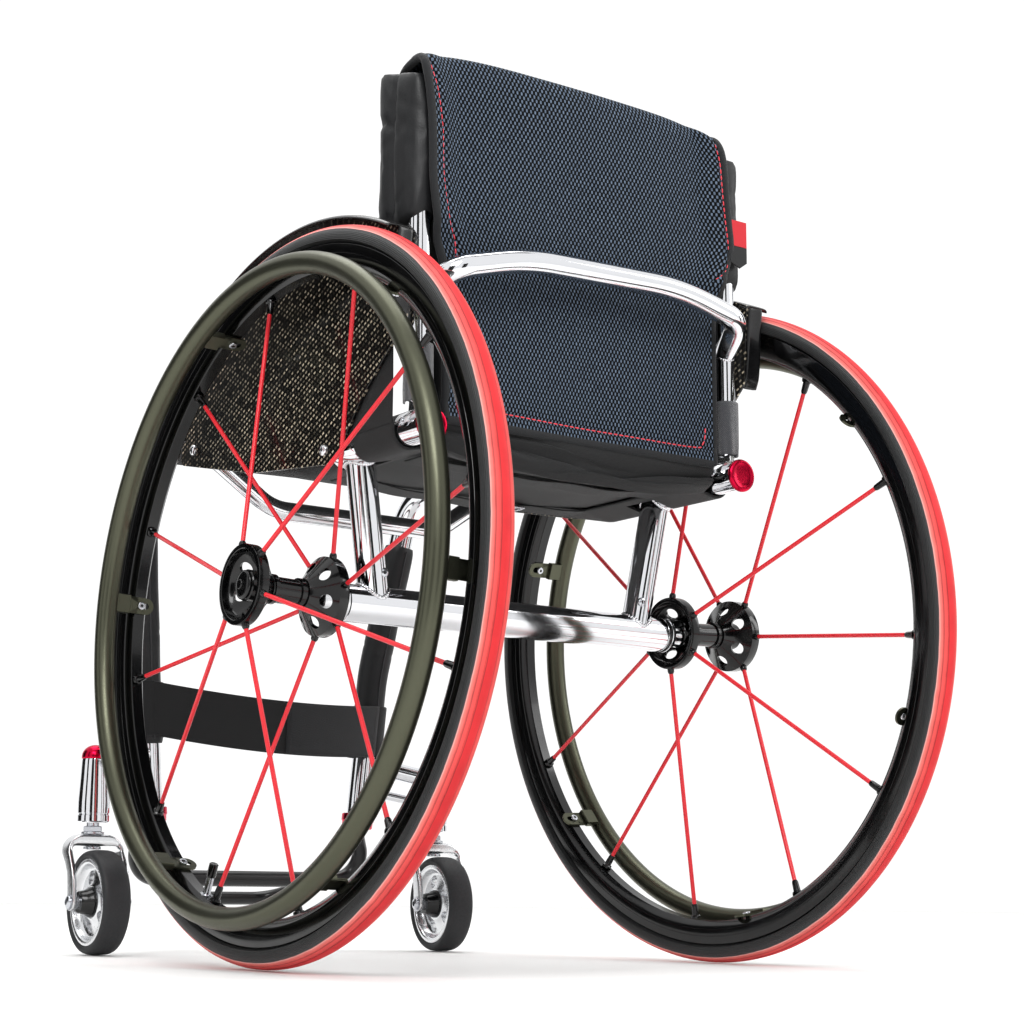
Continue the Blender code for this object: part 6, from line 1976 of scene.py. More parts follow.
@dataclass
class BackCover(Assembly):
    """Mesh cover that hangs behind the backrest and folds over its top."""

    body = "backrest"

    depth: float = 0.0050
    crown: float = 0.0108         # its top edge is higher in the middle
    flare: float = 0.0084         # its side edges stand back round the rolls
    billow: float = 0.0011
    rows: tuple = (               # middle y, z, left and right half width, up the back and down in front
        (-0.1086, 0.4335, 0.1440, 0.1430), (-0.1086, 0.4600, 0.1440, 0.1430),
        (-0.1086, 0.5100, 0.1440, 0.1430), (-0.1086, 0.5500, 0.1448, 0.1430),
        (-0.1086, 0.5680, 0.1495, 0.1440), (-0.1086, 0.5850, 0.1555, 0.1470),
        (-0.1086, 0.6010, 0.1595, 0.1500), (-0.1086, 0.6280, 0.1632, 0.1590),
        (-0.1086, 0.6540, 0.1640, 0.1572), (-0.1086, 0.6800, 0.1650, 0.1546),
        (-0.1086, 0.7000, 0.1672, 0.1532), (-0.1084, 0.7130, 0.1694, 0.1514),
        (-0.1074, 0.7230, 0.1708, 0.1490), (-0.1040, 0.7312, 0.1702, 0.1460),
        (-0.0975, 0.7348, 0.1675, 0.1440), (-0.0900, 0.7354, 0.1652, 0.1442),
        (-0.0800, 0.7354, 0.1630, 0.1450), (-0.0680, 0.7346, 0.1595, 0.1460),
        (-0.0588, 0.7308, 0.1555, 0.1480), (-0.0545, 0.7230, 0.1500, 0.1478),
        (-0.0530, 0.7100, 0.1478, 0.1478), (-0.0525, 0.6800, 0.1475, 0.1475),
        (-0.0522, 0.6500, 0.1475, 0.1475),
    )
    left_seam: tuple = ((-0.1682, 0.7285), (-0.1662, 0.7205), (-0.1595, 0.7028), (-0.1538, 0.6714),
                        (-0.1527, 0.6348), (-0.1462, 0.5974), (-0.1376, 0.5821), (-0.1352, 0.5628))
    right_seam: tuple = ((0.1420, 0.7310), (0.1450, 0.7200), (0.1482, 0.7066), (0.1512, 0.6737),
                         (0.1538, 0.6503), (0.1560, 0.6318), (0.1550, 0.6172), (0.1500, 0.6060),
                         (0.1370, 0.5958))
    low_seam: tuple = ((-0.1300, 0.4450), (-0.0600, 0.4446), (0.0200, 0.4446), (0.1150, 0.4450),
                       (0.1288, 0.4500), (0.1316, 0.4690))

    def relief(self, share: np.ndarray, x: np.ndarray, y: np.ndarray, z: np.ndarray) -> np.ndarray:
        """Work out how far the cloth stands back from its plain rows.

        Args:
            share: Place across the cloth, from -1 to 1.
            x: Across the chair.
            y: The plain rows' y, which tells the back panel from the fold over the top.
            z: Height.

        Returns:
            The change in y: flare at the side edges, a slow billow, and a valley along each seam.
        """
        side = np.abs(share)
        back = 1 - eased(y, -0.1075, -0.0940)
        flared = eased(side, 0.80, 1.0) * eased(z, 0.575, 0.600) * self.flare
        wave = np.sin(21 * x + 1.1) * np.sin(38 * z + 0.4) + 0.6 * np.sin(47 * x - 31 * z)
        pull = np.exp(-((z - 0.566) / 0.012) ** 2) * 0.0016
        made = -flared - self.billow * wave * (1 - side ** 6) + pull * (1 - side ** 4)
        for seam in (self.left_seam, self.right_seam):
            table = np.array(sorted((b, a) for a, b in seam))
            near = x - np.interp(z, table[:, 0], table[:, 1])
            inside = eased(z, table[0, 0] - 0.004, table[0, 0] + 0.004)
            made = made + 0.0019 * np.exp(-(near / 0.0028) ** 2) * inside
        made = made + 0.0016 * np.exp(-((z - 0.4452) / 0.0028) ** 2)
        return made * back

    def rise(self, share: np.ndarray, z: np.ndarray) -> np.ndarray:
        """How much the cloth's middle stands above its side edges near the top."""
        return self.crown * (1 - share ** 4) * eased(z, 0.690, 0.7290)

    def mapped(self) -> np.ndarray:
        """Lay out the middle of the cloth.

        Returns:
            Grid of points, row by row from the bottom edge.
        """
        knots = smoothed(self.rows, 8)
        share = np.linspace(-1, 1, 191)[None]
        y, z = knots[:, :1], knots[:, 1:2]
        x = np.where(share < 0, knots[:, 2:3], knots[:, 3:4]) * share
        corner = np.exp(-((np.abs(share) - 0.90) / 0.07) ** 2) * eased(z, 0.705, 0.7350)
        fold = corner * 0.0016 * np.sin(190 * (z + 0.7 * np.abs(x)))
        top = eased(z, 0.729, 0.7350) * 0.0007 * np.sin(60 * x + 0.5) * np.sin(95 * y)
        return np.stack([x, y + self.relief(share, x, y, z) + fold, z + self.rise(share, z) + top], axis=2)

    def behind(self, line: Sequence[tuple[float, float]]) -> np.ndarray:
        """Put a line of x and z on the cloth's rear face.

        Args:
            line: Pairs of x and z.

        Returns:
            The line's points, finely spaced.
        """
        fine = refined(smoothed([(x, 0.0, z) for x, z in line], 12), 0.001)
        table = np.array(self.rows[:15])
        x, z = fine[:, 0], fine[:, 2]
        for _ in range(4):
            y, left, right = (np.interp(z, table[:, 1], table[:, k]) for k in (0, 2, 3))
            share = x / np.where(x < 0, left, right)
            z = fine[:, 2] - self.rise(share, z)
        back = y + self.relief(share, x, y, z) - self.depth / 2 - 0.0003
        return np.stack([x, back, z + self.rise(share, z)], axis=1)

    def binding(self, points: np.ndarray) -> Skin:
        """Tape folded round the cover's two sides and its bottom.

        Args:
            points: The cover's grid.

        Returns:
            The tape, a flat oval carried along the edge.
        """
        tape = np.array(arc(1.0, np.linspace(0, 2 * math.pi, 20, endpoint=False))) * (1, 1.35)
        edges = [points[::2, 0], points[::2, -1], points[0, ::3], points[-1, ::3]]
        return joined([piped(edge, self.depth * 0.60, section=tape, up=(0, 1, 0.02)) for edge in edges])

    def tag(self) -> bpy.types.Object:
        """Small woven tag sewn in at the cover's right edge.

        Returns:
            The tag.
        """
        place = Matrix(((1, 0, 0, 0.1570), (0, 0, -1, -0.1182), (0, 1, 0, 0.6140), (0, 0, 0, 1)))
        upper = slab([(0.0, 0.020), (0.0205, 0.020), (0.0205, 0.0440), (0.0, 0.0440)], -0.0007, 0.0007)
        lower = slab([(0.0, 0.0045), (0.0120, 0.0), (0.0205, 0.0060), (0.0205, 0.0198), (0.0, 0.0198)],
                     -0.0007, 0.0007)
        edge = np.array([(0.0010, z, 0.0009) for z in np.linspace(0.006, 0.043, 30)])
        rim = stitches(edge, 0.002, 0.0012, 0.0003)
        skins = [(upper.moved(place), RED_CLOTH), (lower.moved(place), BLACK_NYLON),
                 (rim.moved(place), BLACK_THREAD)]
        return self.piece("side_tag", skins, Finishes.NYLON)

    def build(self) -> None:
        """Make the cover, its binding, seams and tag."""
        points = self.mapped()
        cloth = self.piece("back_mesh", [(sheeted(points, self.depth), SPACER_MESH)], Finishes.MESH,
                           replaces="back_cover")
        edge = self.piece("back_binding", [(self.binding(points), BINDING_TAPE)], Finishes.NYLON)
        lines = [self.behind(line) for line in (self.left_seam, self.right_seam, self.low_seam)]
        thread = self.piece("back_seams", [(joined([stitches(line) for line in lines]), RED_THREAD)],
                            Finishes.MESH)
        self.tag()


@dataclass
class Cushion(Assembly):
    """Padded back with level channels."""

    body = "backrest"

    half: float = 0.1490
    rear: float = -0.1035
    fronts: tuple = ((0.4440, -0.0900), (0.4700, -0.0800), (0.5400, -0.0665), (0.6600, -0.0590),
                     (0.7150, -0.0600), (0.7240, -0.0660))        # z and y of its front face
    channels: tuple[float, ...] = (0.505, 0.560, 0.615, 0.668)

    def cushion(self) -> Skin:
        """Blow up the pad between the canes as cloth, then press its channels in.

        Returns:
            The surface.
        """
        stations = [(z, self.rear, front, self.half) for z, front in self.fronts]
        blown = puffed(pad(stations, 0.0, 7.0, 0.008, 160), 0.005, 0.0035)
        points = blown.points.copy()
        ahead = eased(points[:, 1], -0.085, -0.070) * eased(0.150 - np.abs(points[:, 0]), 0.0, 0.015)
        for z in self.channels:
            points[:, 1] -= 0.0050 * ahead * np.exp(-((points[:, 2] - z) / 0.0036) ** 2)
        return Skin(points, blown.faces, blown.uv)

    def build(self) -> None:
        """Make the cushion."""
        cushion = self.piece("back_cushion", [(self.cushion(), BLACK_VINYL)], Finishes.VINYL,
                             replaces="back_upholstery")


@dataclass
class CaneRoll(SideAssembly):
    """Soft vinyl roll round a cane."""

    body = "backrest"

    low: float = 0.5890
    high: float = 0.7180
    rear: float = -0.1120
    front: float = -0.0486
    half: float = 0.0138
    strip_y: float = -0.0795      # a groove here parts the roll from its front strip
    # height, slope, width and depth of each crease
    folds: tuple = ((0.7020, 0.55, 0.0030, 0.0011), (0.6880, 0.75, 0.0036, 0.0009),
                    (0.6700, -0.35, 0.0045, 0.0006), (0.6080, -0.60, 0.0035, 0.0009),
                    (0.6000, 0.40, 0.0026, 0.0009))

    def roll(self) -> Skin:
        """Vinyl roll round a cane: flattened, pinched at the bottom, folded shut and creased at the top.

        Returns:
            The surface.
        """
        low, high = self.low + 0.004, self.high - 0.0022
        half, rear, front = self.half, self.rear, self.front
        stations = [(low, rear + 0.0130, front - 0.0150, half - 0.0030),
                    (low + 0.006, rear + 0.004, front - 0.006, half), (low + 0.020, rear, front, half),
                    (0.650, rear, front, half), (high - 0.022, rear, front, half),
                    (high - 0.006, rear + 0.0004, front - 0.0004, half - 0.0002),
                    (high, rear + 0.0012, front - 0.0012, half - 0.0014)]
        blown = puffed(pad(stations, self.side * self.line.rail_x, 4.6, 0.0022, 130), 0.0035, 0.0011)
        points = blown.points.copy()
        middle = np.array((self.side * self.line.rail_x, (rear + front) / 2))
        flat = points[:, :2] - middle
        y, z = points[:, 1], points[:, 2]
        drawn = np.zeros(len(points))
        for height, slope, width, depth in self.folds:
            line = z - height - slope * (y - middle[1]) + 0.0012 * np.sin(130 * y)
            fading = np.exp(-((z - height) / 0.022) ** 2)
            drawn += depth * np.exp(-(line / width) ** 2) * fading
        strip = y - self.strip_y - 0.0010 * np.sin(60 * z)
        drawn += 0.0048 * np.exp(-(strip / 0.0026) ** 2) * eased(z, low, low + 0.02)
        drawn += 0.0022 * eased(strip, 0.0, 0.004)
        fold = z - 0.6800 - 0.20 * (y - self.strip_y)
        drawn += 0.0034 * np.exp(-(fold / 0.0022) ** 2) * eased(strip, 0.0, 0.003)
        reach = np.maximum(np.linalg.norm(flat, axis=1), 1e-6)
        points[:, :2] = middle + flat * (1 - np.minimum(drawn / reach, 0.5))[:, None]
        points[:, 2] += (0.30 * (y - rear) - 0.0010) * eased(z, 0.670, high)
        return Skin(points, blown.faces, blown.uv)

    def build(self) -> None:
        """Make the roll and its seam."""
        y = (self.rear + self.front) / 2
        seam = np.array([(self.side * (self.line.rail_x - self.half - 0.0002), y, z)
                         for z in np.linspace(self.low + 0.012, self.high - 0.012, 60)])
        roll = self.piece("cane_roll", [(self.roll(), BLACK_VINYL)], Finishes.VINYL)
        sewn = self.piece("roll_seam", [(stitches(seam, 0.003, 0.0015, 0.0004), BLACK_THREAD)],
                          Finishes.VINYL)
        sewn.parent = roll


@dataclass
class Cane(SideAssembly):
    """Backrest upright with a slotted foot and a napped boot."""

    body = "backrest"

    lug_half: float = 0.0029
    lug_radius: float = 0.0085
    wall: float = 0.0016
    boot: tuple[float, float, float] = (0.4450, 0.4920, 0.0111)   # bottom, top and radius

    def build(self) -> None:
        """Make the cane and its boot."""
        self.cane()
        self.sleeve()

    def cane(self) -> None:
        """Upright tube with a rounded and slotted foot."""
        at = self.line
        r, wall = at.cane_radius, self.wall
        bottom = at.hinge_z - 0.0012
        turn = np.linspace(0, math.pi / 2, 9)[:-1]
        foot = [(r * 0.97 * math.sin(a) + ON_AXIS, bottom - r * 0.97 * math.cos(a)) for a in turn]
        shell = [*foot, (r, bottom), (r, at.cane_top - 0.0004), (r - 0.0004, at.cane_top),
                 (r - wall, at.cane_top), (r - wall, bottom + 0.02), (ON_AXIS, bottom + 0.02)]
        spot = Matrix.Translation((self.side * at.rail_x, at.cane_y, 0))
        tube = self.piece("back_cane", [(turned(shell, 64).moved(spot), POLISHED_ALUMINIUM)],
                          Finishes.POLISHED, replaces="cane")
        half = self.lug_half
        slot = slab([(-half, -0.02), (half, -0.02), (half, 0.02), (-half, 0.02)], at.hinge_z - 0.02,
                    at.hinge_z + self.lug_radius + 0.002, 0.00001).moved(spot)
        self.shop.cut(tube, [slot])

    def sleeve(self) -> None:
        """Napped webbing boot round the cane's foot, open in front."""
        at = self.line
        low, high, radius = self.boot
        turn = np.radians(np.linspace(128, 412, 60))[None]
        z = np.linspace(low, high, 26)[:, None]
        share = (z - low) / (high - low)
        lift = eased(share, 0.0, 0.25) * 0.0004 + 0.0005 * np.sin(9 * turn + 40 * z) * (1 - share)
        r = radius + lift
        centre_x = self.side * at.rail_x
        points = np.stack([centre_x + r * np.cos(turn), at.cane_y + r * np.sin(turn), z + 0 * turn], axis=2)
        cloth = self.piece("webbing_boot", [(sheeted(points, 0.0013), NAPPED_WEBBING)], Finishes.NYLON,
                           replaces="cane_sleeve")


@dataclass
class PushBar(Assembly):
    """Bent bar between the canes."""

    body = "backrest"

    radius: float = 0.0097
    path: tuple = ((-0.165, -0.100, 0.5350), (-0.1515, -0.134, 0.5510), (-0.0833, -0.134, 0.5700),
                   (0.0833, -0.134, 0.5755), (0.1515, -0.134, 0.5585), (0.165, -0.100, 0.5350))

    def build(self) -> None:
        """Bend the bar, cope its ends round the canes and weld them on."""
        at = self.line
        path = bent(self.path, (0.020, 0.25, 0.25, 0.020), 0.03)
        skins = [(piped(path, self.radius, 56), POLISHED_ALUMINIUM)]
        bar = self.piece("rear_push_bar", skins, Finishes.POLISHED, replaces="push_bar")
        cutters, beads = [], []
        for side in SIDES.values():
            spot = (side * at.rail_x, at.cane_y, self.path[0][2])
            post = [(*spot[:2], spot[2] - 0.05), (*spot[:2], spot[2] + 0.06)]
            cutters.append(piped(np.array(post), at.cane_radius + 0.0001, 64))
            start, end = (self.path[-1], self.path[-2]) if side > 0 else self.path[:2]
            ring = saddle(start, end, at.cane_radius - 0.0004, spot, (0, 0, 1), at.cane_radius + 0.0002)
            beads.append(bead(ring, 0.0013))
        self.shop.cut(bar, cutters)
        self.piece("push_bar_welds", [(joined(beads), POLISHED_ALUMINIUM)], Finishes.POLISHED)


@dataclass
class Guard(SideAssembly):
    """Carbon side guard with a fender lip over the tyre and a flange at its rear edge."""

    inner: float = 0.1810
    thick: float = 0.0024
    hub: tuple[float, float] = (0.028, 0.300)
    radius: float = 0.3172
    sweep: tuple[float, float] = (math.radians(116.8), math.radians(62.0))
    corners: tuple = ((0.245, 0.5220), (0.2680, 0.4680), (0.2700, 0.4545), (0.1335, 0.4244),
                      (-0.0025, 0.4095), (-0.0460, 0.4580), (-0.0930, 0.4960), (-0.1090, 0.5120),
                      (-0.1120, 0.5600))
    radii: tuple = (0.02, 0.02, 0.008, 0.05, 0.015, 0.05, 0.05, 0.012, 0.03)
    screws: tuple = ((0.0122, 0.4237), (0.2445, 0.4649))

    def outline(self) -> list[tuple[float, float]]:
        """Draw the plate's edge.

        Returns:
            y and z along its top arc, then round the front, bottom and rear.
        """
        top = arc(self.radius - 0.0006, np.linspace(*self.sweep, 72), *self.hub)
        ring = [(y, z, 0.0) for y, z in (top[-1], *self.corners, top[0])]
        rest = bent(ring, self.radii, 0.12)
        return top + [tuple(point[:2]) for point in rest[1:-1]]

    def fender(self) -> Skin:
        """Lip that stands out over the tyre.

        Returns:
            The surface, a strip along the arc whose outer edge rolls down a little.
        """
        across = np.array([0.0004, 0.0012, 0.0030, 0.0080, 0.0150, 0.0200, 0.0225, 0.0236, 0.0240])
        drop = np.array([0.0026, 0.0009, 0.0002, 0.0, 0.0, 0.0001, 0.0006, 0.0014, 0.0024])
        rows = []
        for turn in np.linspace(self.sweep[0], self.sweep[1], 90):
            r = self.radius - 0.0008 - drop
            rows.append(np.stack([self.side * (self.inner + across), self.hub[0] + r * np.cos(turn),
                                  self.hub[1] + r * np.sin(turn)], axis=1))
        return sheeted(np.array(rows), 0.0016, 0.4)

    def flange(self) -> Skin:
        """Turned-out rear edge of the plate.

        Returns:
            The surface, a narrow strip with a rounded rim.
        """
        line = smoothed([(-0.1060, 0.5090), (-0.1098, 0.5200), (-0.1122, 0.5450), (-0.1135, 0.5650),
                         (-0.1152, 0.5800)], 8)
        rows = [[(self.side * (self.inner + 0.0020 + 0.0126 * share), y - 0.0015 * share ** 2, z)
                 for share in np.linspace(0, 1, 9)] for y, z in line]
        return sheeted(np.array(rows), 0.0022, 0.5)

    def build(self) -> None:
        """Make the plate, lip, flange and screws."""
        place = upright(self.side * self.inner, self.side)
        skins = [(slab(self.outline(), 0.0, self.thick, 0.0003).moved(place), CARBON_TWILL),
                 (self.fender(), GLOSS_PLASTIC), (self.flange(), GLOSS_PLASTIC)]
        for y, z in self.screws:
            at = aimed((self.side * (self.inner + self.thick), y, z), (self.side, 0, 0))
            skins += screwed(0.0050, 0.0026, at, POLISHED_ALUMINIUM)
        self.piece("carbon_guard", skins, Finishes.CARBON, replaces="side_guard")


@dataclass
class Seat(Assembly):
    """Sling hemmed round both rails, the skirt behind it and its straps."""

    ends: tuple[float, float] = (-0.0870, 0.3300)
    sag: float = 0.0120
    depth: float = 0.0024
    hem_x: float = 0.1340         # the hem's seam, inboard of the rail
    play: float = 0.0015          # from the rail's surface to the middle of the cloth

    def section(self) -> np.ndarray:
        """Half of the sling's section, from the hem's lower layer round the rail to the middle.

        Returns:
            Pairs of x and height above the rail's centre line. The hem leaves the rail where the line
            to the seam just touches it.
        """
        reach = self.line.tube + self.play
        lower, upper = np.array((self.hem_x, -0.0076)), np.array((self.hem_x, -0.0038))
        hub = np.array((self.line.rail_x, 0.0))
        turns = []
        for point, way in ((lower, 1), (upper, -1)):
            gap = point - hub
            turns.append(math.atan2(gap[1], gap[0]) + way * math.acos(reach / np.hypot(*gap)))
        first, last = turns[0] % (2 * math.pi), turns[1] % (2 * math.pi) + 2 * math.pi
        loop = [hub + reach * np.array((math.cos(a), math.sin(a))) for a in np.linspace(first, last, 40)]
        level = 0.45
        sheet = []
        for x in np.linspace(self.hem_x, 0.0, 46):
            share = x / self.line.rail_x
            sheet.append((x, -self.sag * (1 - max(share, level) ** 2)))
        down = [lower + (loop[0] - lower) * s for s in np.linspace(0, 1, 8)[:-1]]
        rise = [loop[-1] + (np.array(sheet[0]) - loop[-1]) * s for s in np.linspace(0, 1, 8)[1:-1]]
        return np.array(down + loop + rise + sheet)

    def mapped(self) -> np.ndarray:
        """Lay out the middle of the sling's cloth.

        Returns:
            Grid of points, row by row from the rear.
        """
        half = self.section()
        ring = np.concatenate([half, (half * (-1, 1))[-2::-1]])
        y = np.linspace(*self.ends, 110)[:, None]
        x, drop = ring[None, :, 0], ring[None, :, 1]
        open_part = eased(0.150 - np.abs(x), 0.0, 0.05)
        wave = 0.0011 * np.sin(17 * x + 0.7) * np.sin(33 * y) + 0.0006 * np.sin(52 * y + 24 * x)
        bight = 0.0012 * np.sin(95 * y + 14 * np.abs(x)) * (1 - eased(y, -0.06, 0.02))
        z = self.line.rail(y) + drop + (wave + bight) * open_part
        return np.stack([x + 0 * y, y + 0 * x, z], axis=2)

    def sling(self) -> None:
        """Make the sling, notch its hem where the frame joins the rails, and sew it."""
        at = self.line
        cloth = self.piece("seat_cloth", [(sheeted(self.mapped(), self.depth), BLACK_NYLON)], Finishes.NYLON,
                           replaces="seat_sling")
        cutters = []
        for side in SIDES.values():
            x = side * at.rail_x
            cross = float(at.rail(Frame.cross_y))
            near, far = sorted((x - side * 0.014, x + side * 0.024))
            hem, lap = sorted((x - side * 0.0285, x - side * 0.0135))
            for low, high, box in (((x - 0.023, -0.0290), (x + 0.023, 0.0090), (0.38, 0.4228)),
                                   ((hem, 0.2350), (lap, 0.2650), (cross - 0.05, cross - 0.0058)),
                                   ((near, 0.2350), (far, 0.2650), (cross - 0.05, cross + 0.0030))):
                outline = [(low[0], low[1]), (high[0], low[1]), (high[0], high[1]), (low[0], high[1])]
                cutters.append(slab(outline, *box, 0.00001))
        self.shop.cut(cloth, cutters)
        rows = []
        y = np.linspace(self.ends[0] + 0.005, self.ends[1] - 0.005, 300)
        for side in SIDES.values():
            for inset in (0.0, 0.006):
                x = side * (self.hem_x + 0.003 - inset)
                lift = -self.sag * (1 - (x / at.rail_x) ** 2) + self.depth / 2 + 0.0008
                seam = np.stack([x + 0 * y, y, at.rail(y) + lift], axis=1)
                rows.append(stitches(seam, 0.003, 0.0015, 0.00035))
        sewn = self.piece("seat_seams", [(joined(rows), BLACK_THREAD)], Finishes.NYLON)

    def skirt(self) -> None:
        """Loose cloth from the back cover's bottom down to the seat, in soft level folds."""
        line = smoothed([(-0.1040, 0.4460), (-0.1065, 0.4380), (-0.1075, 0.4290), (-0.1030, 0.4215),
                         (-0.1062, 0.4150), (-0.1010, 0.4080), (-0.0930, 0.4050), (-0.0800, 0.4068)], 9)
        x = np.linspace(-0.1440, 0.1440, 90)[None]
        y, z = line[:, :1], line[:, 1:2]
        share = np.linspace(0, 1, len(line))[:, None]
        loose = np.sin(math.pi * share)
        sag = 0.0055 * loose * (1 - (x / 0.144) ** 2)
        fold = loose * (0.0016 * np.sin(19 * x + 7 * share) + 0.0012 * np.sin(61 * x - 9 * share))
        for middle, slope, width, depth in ((0.30, 0.5, 0.035, 0.0034), (0.52, -0.7, 0.030, 0.0030),
                                            (0.72, 0.6, 0.035, 0.0036), (0.45, 1.6, 0.03, 0.0022)):
            crease = share - middle - slope * x + 0.04 * np.sin(23 * x + 11 * middle)
            fold = fold - depth * np.exp(-(crease / width) ** 2)
        rise = 0.0085 * share * (x / 0.144) ** 4
        points = np.stack([x + 0 * y, y - 0.7 * fold * loose, z - sag + fold * loose + rise], axis=2)
        cloth = self.piece("seat_skirt", [(sheeted(points, 0.0014), BLACK_NYLON)], Finishes.NYLON, body="")
        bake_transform(cloth)

    def straps(self) -> None:
        """Two tension straps under the sling with plain ladder buckles."""
        at = self.line
        for number, y in enumerate((-0.046, 0.070)):
            x = np.linspace(-0.132, 0.132, 80)[None]
            across = np.linspace(-0.0125, 0.0125, 8)[:, None]
            z = at.rail(y) - 0.0106 - 0.0052 * (1 - (x / 0.132) ** 2) + 0.0009 * np.sin(70 * x + 3 * number)
            points = np.stack([x + 0 * across, y + across + 0 * x, z + 0 * across], axis=2)
            band = self.piece(f"tension_strap_{number + 1}", [(sheeted(points, 0.0013), BLACK_NYLON)],
                              Finishes.NYLON)
            middle = (-0.060 + 0.110 * number, y, float(at.rail(y)) - 0.0172)
            ring = bent([(-0.008, -0.016, 0), (0.008, -0.016, 0), (0.008, 0.016, 0), (-0.008, 0.016, 0),
                         (-0.008, -0.016, 0), (0.008, -0.016, 0)], (0.003,) * 4, 0.3)
            bars = [piped(ring, 0.0012, 10), piped(np.array([(0, -0.016, 0), (0, 0.016, 0)]), 0.0012, 10)]
            buckle = joined(bars).moved(Matrix.Translation(middle))
            metal = self.piece(f"strap_buckle_{number + 1}", [(buckle, PLATED_STEEL)], Finishes.STEEL)

    def build(self) -> None:
        """Make the seat's soft goods."""
        self.sling()
        self.skirt()
        self.straps()


@dataclass
class Gusset(SideAssembly):
    """Cloth lining on the guard's inside, between the rail and the cane's foot."""

    x: float = 0.1794
    upper: tuple = ((-0.0850, 0.5150), (-0.0600, 0.5160), (-0.0400, 0.5120), (-0.0180, 0.4910),
                    (0.0040, 0.4605))
    foot: tuple[float, float] = (-0.0850, 0.0080)
    above_rail: float = 0.0060
    depth: float = 0.0009

    def build(self) -> None:
        """Stretch the cloth between its upper line and the rail."""
        upper = smoothed(self.upper, 12)
        foot = np.linspace(*self.foot, len(upper))
        lower = np.stack([foot, self.line.rail(foot) + self.above_rail], axis=1)
        share = np.linspace(0, 1, 40)[:, None, None]
        flat = lower[None] * (1 - share) + upper[None] * share
        y, z = flat[..., 0], flat[..., 1]
        fold = 0.0010 * np.sin(120 * y + 60 * z) * np.sin(math.pi * share[..., 0])
        points = np.stack([self.side * (self.x + fold * 0.2), y, z], axis=2)
        cloth = self.piece("side_gusset", [(sheeted(points, self.depth), BLACK_NYLON)], Finishes.NYLON)


@dataclass
class TubeWrap(SideAssembly):
    """Sewn vinyl sleeve round a front tube."""

    radius: float = 0.0163
    ends: tuple[float, float] = (0.4300, 0.2050)

    def build(self) -> None:
        """Make the sleeve, soft at its ends and dented by use, and sew it."""
        at = self.line
        corners = mirrored([at.front(self.ends[0]), at.waist, at.front(self.ends[1])], self.side)
        path = refined(bent(corners, (0.20,), 0.02), 0.0025)
        walk = walked(path)
        turn = np.linspace(0, 2 * np.pi, 64, endpoint=False)[None]
        away = np.minimum(walk, walk[-1] - walk)[:, None]
        swell = -0.0016 * np.exp(-away / 0.0035)
        at_length = walk[:, None]
        dents = 0.00045 * np.sin(37 * at_length + 2 * np.sin(turn)) * np.sin(3 * turn + 29 * at_length)
        creases = -0.0005 * np.exp(-((at_length - 0.5 * walk[-1] + 0.006 * np.cos(turn)) / 0.002) ** 2)
        r = self.radius + swell + dents + creases
        side_way, other = along(path, Vector((0, 1, 0)))
        out = np.cos(turn)[..., None] * side_way[:, None] + np.sin(turn)[..., None] * other[:, None]
        points = path[:, None] + r[..., None] * out
        inner = path[:, None] + (at.tube + 0.0002) * out
        ring = np.concatenate([points, inner[::-1]])
        skin = grid(ring, wrap_rows=True, wrap_columns=True)
        seam = path - side_way * (self.radius + 0.0002)
        sleeve = self.piece("vinyl_wrap", [(skin, BLACK_VINYL), (piped(seam[2:-2], 0.0007, 8), BLACK_THREAD)],
                            Finishes.VINYL, replaces="front_tube_wrap")


@dataclass
class CalfStrap(Assembly):
    """Webbing band looped round both wraps, hanging slack between them."""

    wrap_radius: float = TubeWrap.radius
    heights: dict = field(default_factory=lambda: {-1: 0.2390, 1: 0.2295})   # z of its middle at each tube
    width: float = 0.0520
    depth: float = 0.0024
    sag: tuple[float, float] = (0.0180, 0.0080)     # rearwards and down, in the middle

    def build(self) -> None:
        """Loop the band, lay its fastening over it and sew both."""
        reach = self.wrap_radius + 0.0004 + self.depth / 2
        rows = []
        for share in np.linspace(-0.5, 0.5, 15):
            ends = {}
            for side in SIDES.values():
                point = self.line.front(self.heights[side] + share * self.width)
                ends[side] = np.array((side * point.x, point.y, point.z))
            turn = np.linspace(-math.pi / 2 + 0.35, -2.5 * math.pi, 50)
            loop = np.stack([np.cos(turn), np.sin(turn), 0 * turn], axis=1)
            left = ends[-1] + loop * reach
            middle = []
            for s in np.linspace(0, 1, 62)[1:-1]:
                point = ends[-1] + (ends[1] - ends[-1]) * s
                slack = 4 * s * (1 - s)
                twist = 0.0022 * share * math.sin(math.pi * s)
                middle.append(point - (0, reach + self.sag[0] * slack + twist, self.sag[1] * slack))
            right = ends[1] + (loop * (-1, 1, 1))[::-1] * reach
            rows.append(np.concatenate([left, middle, right]))
        points = np.array(rows)
        cloth = self.piece("calf_webbing", [(sheeted(points, self.depth * 0.8), BLACK_NYLON)], Finishes.NYLON,
                           replaces="calf_strap")
        patch = points[:, 82:111] + (0, -self.depth * 0.75, 0)
        lap = self.piece("calf_strap_lap", [(sheeted(patch, self.depth * 0.6), NAPPED_BLACK)], Finishes.NYLON)
        ends = [patch[1:-1, k] + (0, -self.depth * 0.32, 0) for k in (1, -2)]
        thread = joined([stitches(line, 0.003, 0.0015, 0.0003) for line in ends])
        sewn = self.piece("calf_strap_seams", [(thread, BLACK_THREAD)], Finishes.NYLON)


